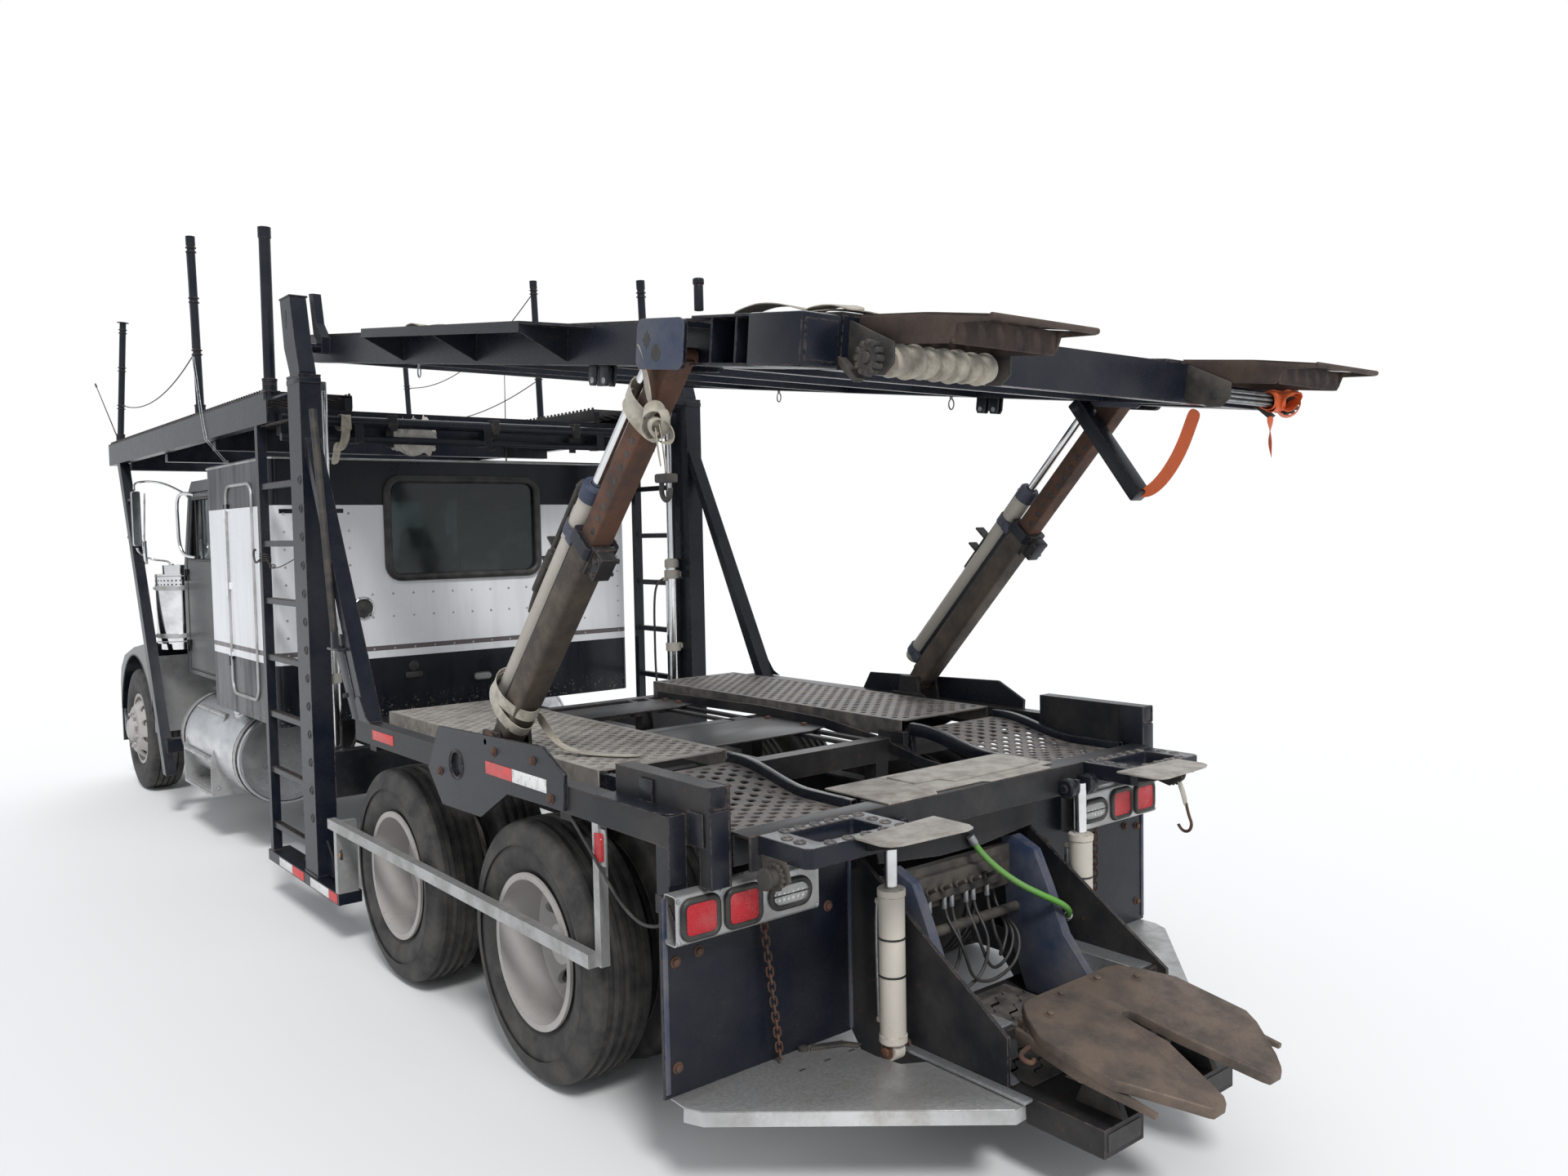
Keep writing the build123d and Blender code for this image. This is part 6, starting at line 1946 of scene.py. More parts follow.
@dataclass
class LowerDeck:
    """Perforated tracks of the fixed lower deck, its side plates and their tape."""

    inner: float = 0.49
    outer: float = 1.08
    front: float = -1.13
    rear: float = -3.17
    top: float = 1.24
    lip: float = 0.08

    def build(self, shop: Workshop) -> None:
        """Build the deck's dress.

        Args:
            shop: the workshop.
        """
        self.tracks(shop)
        self.wells(shop)
        self.bolsters(shop)
        self.corner_posts(shop)
        self.leg_feet(shop)

    def tracks(self, shop: Workshop) -> None:
        """Perforated tracks in their side channels, the left one in a paler steel that is painted sunlight.

        Args:
            shop: the workshop.
        """
        for side, sign in SIDES:
            # Both tracks are one steel: the left one's pale_deck is painted sunlight, a lit copy of the right
            # one's deck_steel.
            finish = "pale_deck" if side == "left" else "deck_steel"
            plate = Bench.perforated((self.inner + 0.024, self.rear), (self.outer - 0.024, self.front),
                self.top - 0.001, (14, 58), 0.003, 0.009)
            lips = []
            for x, out in ((self.inner, 1), (self.outer, -1)):
                lips.append(Bench.across([(x, self.top - self.lip), (x, self.top),
                            (x + out * 0.028, self.top), (x + out * 0.028, self.top - 0.005),
                            (x + out * 0.006, self.top - 0.005), (x + out * 0.006, self.top - self.lip)],
                        (self.rear, self.front), 0.0015, 1))
            stiff = [Bench.box((self.inner + 0.006, y - 0.02, self.top - 0.06),
                    (self.outer - 0.006, y + 0.02, self.top - 0.012)) for y in (-1.4, -1.85, -2.55, -2.85)]
            track = Bench.join([plate] + lips + stiff)
            if sign < 0:
                track = Bench.flip(track)
            shop.dress(track, f"lower_track_{side}", finish, slot="worn_steel", replaced=("lower_tracks",)
                if side == "left" else ())

    def wells(self, shop: Workshop) -> None:
        """Curved bars and plates between the tracks, over the axles.

        Args:
            shop: the workshop.
        """
        curve = [(-1.25, 1.2), (-1.7, 1.205), (-2.2, 1.215), (-2.7, 1.205), (-3.05, 1.165), (-3.35, 1.1),
            (-3.62, 1.075)]
        flange = [(y, z) for y, z in curve] + [(y, z - 0.05) for y, z in reversed(curve)]
        bars = Bench.both(Bench.side(flange, (0.44, 0.452), 0.002, 1))
        shop.dress(bars, "well_bars", "rough_dark")
        plates = []
        for start, end, z in ((-1.35, -1.62, 1.168), (-2.28, -2.72, 1.17)):
            plates.append(Bench.level([(-0.43, start), (0.43, start), (0.43, end), (0.3, end - 0.05),
                        (-0.3, end - 0.05), (-0.43, end)], (z - 0.008, z), 0.003))
        shop.dress(Bench.join(plates), "well_plates", "rough_dark", slot="worn_steel")
        rails = []
        for x in (0.25, 0.36):
            rails.append(Bench.box((x, -3.06, 1.142), (x + 0.03, -1.22, 1.16), 0.002))
        shop.pair(rails, "well_flats", "rough_dark")
        spots = [(x, y, 1.168) for x in (-0.38, 0.38) for y in (-1.42, -1.55, -2.34, -2.62)]
        shop.dress(Bench.bolts(spots, (0, 0, 1), 0.014), "well_bolts", "rust_steel")

    def bolsters(self, shop: Workshop) -> None:
        """Side plates' rims and marker tape.

        Args:
            shop: the workshop.
        """
        edge = [(-2.06, 1.125), (-2.173, 1.304), (-3.088, 1.334), (-3.243, 1.257), (-3.234, 1.135)]
        rim = Bench.pipe([(1.2575, y, z) for y, z in edge], 0.008, False, False)
        shop.pair([rim], "bolster_rims", "dark_paint")
        tape = Bench.box((1.2655, -3.12, 1.175), (1.2667, -2.62, 1.225), 0.0003)
        tape = Bench.join([tape, Bench.box((1.2505, -1.62, 1.15), (1.2517, -1.36, 1.195), 0.0003)])
        shop.pair([tape], "bolster_tape", "marker_tape")
        ring = Bench.lathe([(0, 0.052), (0.004, 0.056), (0.006, 0.062), (0, 0.066)], (1.265, -2.34, 1.17),
            (1, 0, 0), 32, True)
        shop.pair([ring], "bolster_rings", "dark_paint")
        spots = [(1.265, y, z) for y, z in ((-2.18, 1.12), (-2.7, 1.27), (-3.02, 1.28), (-3.15, 1.16))]
        shop.pair([Bench.bolts(spots, (1, 0, 0), 0.013)], "bolster_bolts", "rust_steel")

    def corner_posts(self, shop: Workshop) -> None:
        """Hollow square posts and plates at the rear corners, the side marker and the lamps' cable.

        Args:
            shop: the workshop.
        """
        mouth = [(x, -4.014, z) for x, z in Bench.rounded(1.112, 1.183, 1.248, 1.322, 0.008, 3)]
        core = [(x, -4.014, z) for x, z in Bench.rounded(1.118, 1.177, 1.254, 1.316, 0.005, 3)]
        rest = [Bench.shell(mouth, core, (0, 0.01, 0)),
            Bench.box((1.119, -4.0115, 1.255), (1.176, -4.009, 1.315), 0.001),
            Bench.box((1.104, -4.016, 1.0), (1.1115, -3.9, 1.322), 0.002),
            Bench.box((1.112, -4.016, 1.002), (1.183, -4.009, 1.245), 0.003),
            Bench.level([(1.15, -3.46), (1.262, -3.46), (1.262, -3.8), (1.24, -3.868), (1.188, -3.884)],
                (1.22, 1.226), 0.002, 1), Bench.box((1.186, -3.884, 1.0), (1.25, -3.877, 1.222), 0.002),
            Bench.box((1.1835, -3.7, 1.225), (1.19, -3.62, 1.3), 0.002),
            Bench.box((1.1835, -3.98, 1.128), (1.188, -3.9, 1.235), 0.003)]
        shop.pair(rest, "rear_corner_plates", "dark_paint")
        shop.hose([(-1.25, -3.27, 1.105), (-1.256, -3.34, 1.07), (-1.262, -3.48, 0.975),
                (-1.268, -3.62, 0.885), (-1.272, -3.74, 0.85), (-1.268, -3.83, 0.862), (-1.258, -3.88, 0.89),
                (-1.24, -3.9, 0.9)], 0.0055, "lamp_cable", "black_rubber")
        lens = Bench.box((-1.256, -3.475, 0.99), (-1.24, -3.425, 1.09), 0.008)
        shop.dress(lens, "side_marker_red", "red_lens")
        backing = Bench.box((-1.243, -3.482, 0.975), (-1.232, -3.418, 1.105), 0.003)
        shop.dress(backing, "side_marker_plate", "dull_aluminium")

    def leg_feet(self, shop: Workshop) -> None:
        """Pin caps and welded plates at the feet of the legs.

        Args:
            shop: the workshop.
        """
        cap = Bench.lathe([(0, 0.04), (0.01, 0.04), (0.014, 0.034), (0.014, 0.014), (0.02, 0.012), (0.02, 0)],
            (1.245, -2.62, 1.3), (1, 0, 0), 32)
        shop.pair([cap], "leg_foot_caps", "rust_steel")
        plate = Bench.side([(-2.46, 1.222), (-2.78, 1.222), (-2.72, 1.255), (-2.52, 1.255)], (1.09, 1.094),
            0.0)
        shop.pair([plate], "leg_foot_gussets", "rough_dark")


@dataclass
class TailDeck:
    """Lifting tail: sagging perforated tracks, cross beam, skid frames and rounded plates."""

    inner: float = 0.49
    outer: float = 1.08
    front: float = -3.22
    rear: float = -3.98
    high: float = 1.234
    low: float = 1.165
    beam_rear: float = -4.08

    def slope(self, y: float) -> float:
        """Height of the rails' top at a place along the tail."""
        t = min(1.0, max(0.0, (-3.27 - y) / 0.42))
        return self.high - (self.high - self.low) * t * t * (3 - 2 * t)

    def build(self, shop: Workshop) -> None:
        """Build the tail.

        Args:
            shop: the workshop.
        """
        self.tracks(shop)
        self.cross_beam(shop)
        self.skids(shop)
        self.pivots(shop)

    def tracks(self, shop: Workshop) -> None:
        """Rails that follow the slope, with a perforated floor between them.

        Args:
            shop: the workshop.
        """
        mouth = self.rear + 0.05
        steps = [self.front + (mouth + 0.04 - self.front) * i / 18 for i in range(19)]
        outline = [(y, self.slope(y)) for y in steps]
        outline += [(y, self.slope(y) - 0.056) for y in reversed(steps)]
        rails = []
        for x in (self.inner, self.outer - 0.03):
            rails.append(Bench.side(outline, (x, x + 0.03), 0.003, 2))
            ring = [(px, mouth, pz) for px, pz in Bench.rounded(x, x + 0.03, self.low - 0.056, self.low,
                    0.004, 3)]
            bore = [(px, mouth, pz) for px, pz in Bench.rounded(x + 0.004, x + 0.026, self.low - 0.052,
                    self.low - 0.004, 0.003, 3)]
            rails.append(Bench.shell(ring, bore, (0, 0.041, 0)))
        floor = Bench.perforated((self.inner + 0.03, self.rear), (self.outer - 0.03, self.front), 0.0,
            (13, 21), 0.003, 0.01, arc=2)
        for vertex in floor.data.vertices:
            vertex.co.z += self.slope(vertex.co.y) - 0.034
        bearers = [Bench.box((self.inner + 0.03, y - 0.015, self.slope(y) - 0.066),
                (self.outer - 0.03, y + 0.015, self.slope(y) - 0.042)) for y in (-3.42, -3.72)]
        rails += bearers
        knuckle = Bench.lathe([(0, 0.0125), (0, 0.026), (0.03, 0.026), (0.03, 0.0125)],
            (self.inner, -3.2, 1.17), (1, 0, 0), 24, True)
        knuckles = [knuckle, Bench.copy(knuckle, Matrix.Translation((self.outer - self.inner - 0.03, 0, 0)))]
        toes = [Bench.side([(-3.222, 1.232), (-3.24, 1.1), (-3.19, 1.15), (-3.176, 1.178), (-3.19, 1.196)], x,
                0.002, 1) for x in ((self.inner + 0.001, self.inner + 0.029),
                (self.outer - 0.029, self.outer - 0.001))]
        shop.pair(rails + knuckles + toes, "tail_rails", "dark_paint", Place.TAIL, replaced=("tail_deck",))
        shop.pair([floor], "tail_floors", "deck_steel", Place.TAIL)

    def cross_beam(self, shop: Workshop) -> None:
        """Beam behind the tracks, and the trodden plates on its middle.

        Args:
            shop: the workshop.
        """
        beam = [Bench.side([(self.rear, 1.165), (self.beam_rear, 1.165), (self.beam_rear, 1.052),
                    (self.beam_rear + 0.012, 1.052), (self.beam_rear + 0.012, 1.153),
                    (self.rear - 0.012, 1.153), (self.rear - 0.012, 1.052), (self.rear, 1.052)],
                (-self.outer, self.outer), 0.003, 2)]
        for x in (-0.95, -0.6, -0.44, 0.0, 0.44, 0.6, 0.95):
            beam.append(Bench.box((x - 0.006, self.beam_rear + 0.004, 1.054),
                    (x + 0.006, self.rear - 0.004, 1.158), 0.001))
        web = Bench.box((-0.489, -3.978, 1.108), (0.489, -3.942, 1.163), 0.003)
        hang = Bench.across([(-0.47, 1.11), (0.47, 1.11), (0.43, 0.93), (0.12, 0.9), (-0.12, 0.9),
                (-0.43, 0.93)], (-3.975, -3.963), 0.002, 1)
        shop.dress(Bench.join(beam + [web, hang]), "tail_cross_beam", "rough_dark", Place.TAIL)
        low = [(-0.478, -3.745), (0.478, -3.745), (0.478, -4.02), (0.4, -4.02), (0.4, -4.076), (0.05, -4.076),
            (0.03, -4.05), (-0.22, -4.05), (-0.24, -4.078), (-0.478, -4.078)]
        upper = [(-0.2, -3.78), (0.44, -3.78), (0.44, -3.99), (0.3, -4.0), (-0.06, -4.0), (-0.08, -3.93),
            (-0.2, -3.93)]
        plates = [Bench.level(low, (1.165, 1.172), 0.002), Bench.level(upper, (1.172, 1.177), 0.0015)]
        shop.dress(Bench.join(plates), "tail_tread_plates", "pale_deck", Place.TAIL)

    def skids(self, shop: Workshop) -> None:
        """Box frames with eyelets, and the rounded plates at the very rear.

        Args:
            shop: the workshop.
        """
        frame = Bench.level([(0.6, -4.08), (1.05, -4.08), (1.05, -4.3), (1.03, -4.32), (0.62, -4.32),
                (0.6, -4.3)], (1.102, 1.165), 0)
        hole = Bench.level(Bench.rounded(0.69, 0.96, -4.27, -4.12, 0.012, 3), (1.05, 1.2), 0)
        Bench.pick(frame)
        Bench.apply(frame, "BOOLEAN", object=hole)
        bpy.data.objects.remove(hole)
        frame = Bench.finish(frame, 0.004, 2)
        lugs = [Bench.side([(-4.08, 1.12), (-4.15, 1.12), (-4.15, 1.07), (-4.13, 1.05), (-4.08, 1.05)],
                (x, x + 0.015), 0.002) for x in (0.47, 0.555)]
        shop.pair([frame] + lugs, "tail_skid_frames", "dark_paint", Place.TAIL)
        eyelet = Bench.lathe([(-0.001, 0.012), (0.004, 0.014), (0.004, 0.018), (-0.001, 0.022)],
            (0, 0, 1.165), (0, 0, 1), 16, True)
        spots = [(0.64 + 0.063 * i, -4.098, 0) for i in range(6)] + [(0.64 + 0.075 * i, -4.295, 0)
            for i in range(5)]
        spots += [(x, y, 0) for x in (0.645, 1.005) for y in (-4.17, -4.23)]
        shop.pair([Bench.scatter(eyelet, spots)], "tail_eyelets", "deck_steel", Place.TAIL)
        hole_shade_disc = Bench.lathe([(0.0004, 0.0125), (0.0012, 0.01), (0.0012, 0)], (0, 0, 1.165), (0, 0, 1), 12)
        shop.pair([Bench.scatter(hole_shade_disc, spots)], "tail_eyelet_shadows", "black_rubber", Place.TAIL)
        plate = Bench.level([(0.5, -4.305), (0.87, -4.33), (0.872, -4.44), (0.855, -4.47), (0.82, -4.485),
                (0.55, -4.5), (0.515, -4.49), (0.5, -4.46)], (1.166, 1.174), 0.002)
        shop.pair([plate], "tail_end_plates", "pale_deck", Place.TAIL)
        under = [Bench.side([(-4.3, 1.164), (-4.47, 1.164), (-4.44, 1.146), (-4.3, 1.11)], (x, x + 0.01),
                0.001, 1) for x in (0.62, 0.8)]
        shop.pair(under, "tail_plate_ribs", "rough_dark", Place.TAIL)

    def pivots(self, shop: Workshop) -> None:
        """Pins with round caps over the lift rods, and the ratchet drums.

        Args:
            shop: the workshop.
        """
        cap = [(0, 0.0), (0, 0.034), (0.006, 0.04), (0.03, 0.04), (0.036, 0.034), (0.036, 0.016),
            (0.044, 0.014), (0.044, 0)]
        pins = []
        for x, turn in ((0.472, -1), (0.57, 1)):
            pins.append(Bench.lathe(cap, (x, -4.112, 1.085), (turn, 0, 0), 28))
        pins.append(Bench.rod((0.47, -4.112, 1.085), (0.57, -4.112, 1.085), 0.015))
        shop.pair(pins, "tail_lift_pins", "dark_paint", Place.TAIL)
        gear = []
        for i in range(14):
            a = 2 * math.pi * i / 14
            for r, off in ((0.036, 0), (0.044, 0.1), (0.044, 0.2), (0.036, 0.32)):
                gear.append((-4.185 + r * math.cos(a + off), 1.06 + r * math.sin(a + off)))
        drum = [Bench.side(gear, (1.06, 1.074), 0.001, 1),
            Bench.rod((1.052, -4.185, 1.06), (1.1, -4.185, 1.06), 0.028, 20, 0.003),
            Bench.rod((1.1, -4.185, 1.06), (1.112, -4.185, 1.06), 0.035, 20, 0.003),
            Bench.side([(-4.1, 1.11), (-4.22, 1.11), (-4.24, 1.05), (-4.18, 1.015), (-4.12, 1.03)],
                (1.046, 1.056), 0.002)]
        shop.pair(drum, "tail_ratchets", "cast_iron", Place.TAIL)
        hook_strap = Bench.strap([(1.075, -4.2, 1.055), (1.08, -4.225, 0.99), (1.085, -4.235, 0.93)],
            (0.045, 0.01, 0), 0.003)
        shop.dress(hook_strap, "tail_hook_strap", "strap_webbing", Place.TAIL)
        hook = Bench.pipe([(1.085, -4.235, 0.945), (1.085, -4.245, 0.9), (1.088, -4.262, 0.86),
                (1.09, -4.245, 0.825), (1.09, -4.21, 0.825), (1.09, -4.195, 0.85)], 0.0065)
        shop.dress(hook, "tail_hook", "rust_steel", Place.TAIL)


@dataclass
class RearLamps:
    """Folded aluminium lamp boxes with their lamps in rubber rings."""

    inner: float = 0.7
    outer: float = 1.28
    low: float = 0.83
    high: float = 0.99
    rear: float = -3.96
    front: float = -3.892

    def box(self) -> Piece:
        """One folded box with open ends."""
        t = 0.004
        rim = Bench.rounded(self.rear, self.front, self.low, self.high, 0.014, 4)
        core = Bench.rounded(self.rear + t, self.front - t, self.low + t, self.high - t, 0.01, 4)
        return Bench.shell([(self.inner, y, z) for y, z in rim], [(self.inner, y, z) for y, z in core],
            (self.outer - self.inner, 0, 0))

    def lamp(self, x: float, half: float, tall: float, corner: float) -> tuple[Piece, Piece]:
        """Rubber ring and lens of one lamp.

        Args:
            x: its middle.
            half: half its width over the ring.
            tall: half its height over the ring.
            corner: corner radius of the ring.

        Returns:
            The ring and the lens.
        """
        z = (self.low + self.high) / 2
        y = self.rear
        ring = [(px, y - 0.004, pz) for px, pz in Bench.rounded(x - half + 0.01, x + half - 0.01,
                z - tall + 0.01, z + tall - 0.01, corner - 0.008, 5)]
        seal = Bench.pipe(ring, 0.0115, True, False, 2)
        lens = Bench.across(Bench.rounded(x - half + 0.015, x + half - 0.015, z - tall + 0.015,
                z + tall - 0.015, corner - 0.012, 5), (y - 0.01, y + 0.004), 0.004, 3)
        return seal, lens

    def build(self, shop: Workshop) -> None:
        """Build boxes and lamps.

        Args:
            shop: the workshop.
        """
        shop.pair([self.box()], "lamp_housings", "dull_aluminium", replaced=("lamp_boxes",))
        seals, reds = [], []
        for x in (1.19, 1.022):
            seal, lens = self.lamp(x, 0.076, 0.068, 0.034)
            seals.append(seal)
            reds.append(lens)
        seal, clear = self.lamp(0.828, 0.092, 0.05, 0.048)
        seals.append(seal)
        shop.pair(reds, "tail_lamp_lenses", "red_lens", replaced=("rear_lamps",))
        shop.pair([clear], "reverse_lamp_lenses", "clear_lens")
        shop.pair(seals, "lamp_seals", "black_rubber")
        chips = [Bench.box((0.768 + 0.02 * i, -3.9645, 0.888 + 0.018 * j),
                (0.78 + 0.02 * i, -3.9615, 0.9 + 0.018 * j), 0.001) for i in range(7) for j in range(2)]
        shop.pair(chips, "reverse_lamp_cells", "chrome")
        spots = [(x, self.rear, z) for x, z in ((1.272, 0.975), (1.272, 0.845), (0.71, 0.975), (0.71, 0.845),
                (1.106, 0.978))]
        shop.pair([Bench.bolts(spots, (0, -1, 0), 0.006)], "lamp_screws", "galvanised")
        inner = Bench.side([(-3.955, 0.86), (-3.9, 0.94), (-3.9, 0.95), (-3.958, 0.875)], (1.262, 1.27),
            0.001, 1)
        shop.pair([inner], "lamp_box_stays", "rough_dark")


@dataclass
class Flaps:
    """Bolts, folded edges and the rusty chain of each mud flap."""

    plane: float = -3.892

    def build(self, shop: Workshop) -> None:
        """Build the flaps' small parts.

        Args:
            shop: the workshop.
        """
        spots = [(x, self.plane + 0.002, z) for x, z in ((1.24, 0.76), (1.15, 0.775), (0.8, 0.83), (0.6, 0.8),
                (1.24, 0.42))]
        shop.pair([Bench.bolts(spots, (0, -1, 0), 0.013)], "flap_bolts", "rust_steel")
        chain = Bench.link_chain((0.905, -3.915, 0.83), (0.862, -3.935, 0.365), 0.0, 0.034)
        shop.pair([chain], "flap_chains", "rust_steel")
        edge = Bench.box((0.495, -3.9, 0.34), (0.507, -3.87, 0.985), 0.002)
        fold = Bench.box((1.27, -3.896, 0.345), (1.288, -3.886, 0.975), 0.003)
        shop.pair([edge, fold], "flap_edges", "blue_paint")


@dataclass
class WingPlates:
    """Folded aluminium plates beside the fifth wheel, with their hems."""

    top: float = 0.331

    def build(self, shop: Workshop) -> None:
        """Build the plates.

        Args:
            shop: the workshop.
        """
        outline = [(1.268, -3.885), (0.7, -3.885), (0.58, -3.93), (0.58, -4.1), (0.56, -4.2), (0.5, -4.235),
            (0.45, -4.262), (0.448, -4.56), (0.47, -4.645), (0.52, -4.65), (1.242, -4.03), (1.27, -3.965)]
        sheet = Bench.level(outline, (self.top - 0.006, self.top), 0.0015, 2)
        hem_line = [(0.448, -4.56), (0.47, -4.645), (0.52, -4.65), (1.242, -4.03), (1.27, -3.965)]
        first = [(x, y, self.top - 0.003) for x, y in hem_line]
        second = [(x + 0.01, y - 0.012, self.top - 0.04) for x, y in hem_line]
        hem = Bench.ribbon(first, second, 0.005, 0)
        front = Bench.ribbon([(1.262, -3.886, self.top), (0.74, -3.886, self.top)],
            [(1.262, -3.886, self.top + 0.026), (0.76, -3.886, self.top + 0.026)], 0.004, 0)
        shop.pair([sheet, hem, front], "wing_sheets", "dull_aluminium", replaced=("wing_plates",))
        knob = Bench.lathe([(0, 0.018), (0.01, 0.018), (0.014, 0.012), (0.014, 0)], (0.735, -3.905, self.top),
            (0, 0, 1), 20)
        tongue = Bench.level([(0.7, -3.905), (0.6, -3.95), (0.56, -4.01), (0.58, -4.02), (0.62, -3.975),
                (0.72, -3.925)], (self.top, self.top + 0.01), 0.002)
        shop.pair([knob, tongue], "wing_latches", "cast_iron")
        # Thin black boxes are painted shade in slots of the plate.
        slot_shades = [Bench.box((0.6 + 0.11 * i, -4.02, self.top), (0.625 + 0.11 * i, -4.012, self.top + 0.0012),
                0.0005) for i in range(3)]
        shop.pair(slot_shades, "wing_slot_shade", "black_rubber")


@dataclass
class LiftCylinders:
    """Bands, collars, eyes and tubes of the tail's lift cylinders."""

    x: float = 0.52
    y: float = -4.125
    foot: float = 0.345

    def build(self, shop: Workshop) -> None:
        """Build the dress of both cylinders.

        Args:
            shop: the workshop.
        """
        bands = [Bench.lathe([(z, 0.0452), (z, 0.0468), (z + 0.007, 0.0468), (z + 0.007, 0.0452)],
                (self.x, self.y, 0), (0, 0, 1), 36, True) for z in (0.6, 0.728)]
        shop.pair(bands, "lift_bands", "black_rubber", Place.LIFT_BARRELS)
        collars = [Bench.lathe([(z0, 0.0451), (z0 + 0.003, 0.0485), (z1 - 0.003, 0.0485), (z1, 0.0451)],
                (self.x, self.y, 0), (0, 0, 1), 36, True) for z0, z1 in ((0.872, 0.901), (0.371, 0.4))]
        collars.append(Bench.lathe([(-0.024, 0.016), (-0.024, 0.034), (0.024, 0.034), (0.024, 0.016)],
                (self.x, self.y, self.foot), (1, 0, 0), 28, True))
        ports = [Bench.rod((self.x, self.y + 0.04, z), (self.x, self.y + 0.07, z), 0.013, 12, 0.002)
            for z in (0.43, 0.84)]
        shop.pair(collars + ports, "lift_collars", "cream_paint", Place.LIFT_BARRELS)
        spots = [(self.x + 0.028, self.y, self.foot)]
        nuts = Bench.join([Bench.bolts(spots, (1, 0, 0), 0.018),
                Bench.bolts([(self.x - 0.05, self.y, self.foot)], (-1, 0, 0), 0.018)])
        shop.pair([nuts], "lift_foot_nuts", "rust_steel")
        tube = Bench.pipe([(self.x, self.y + 0.068, 0.84), (self.x, self.y + 0.075, 0.78),
                (self.x, self.y + 0.07, 0.5), (self.x, self.y + 0.068, 0.43)], 0.007)
        shop.pair([tube], "lift_tubes", "galvanised", Place.LIFT_BARRELS)


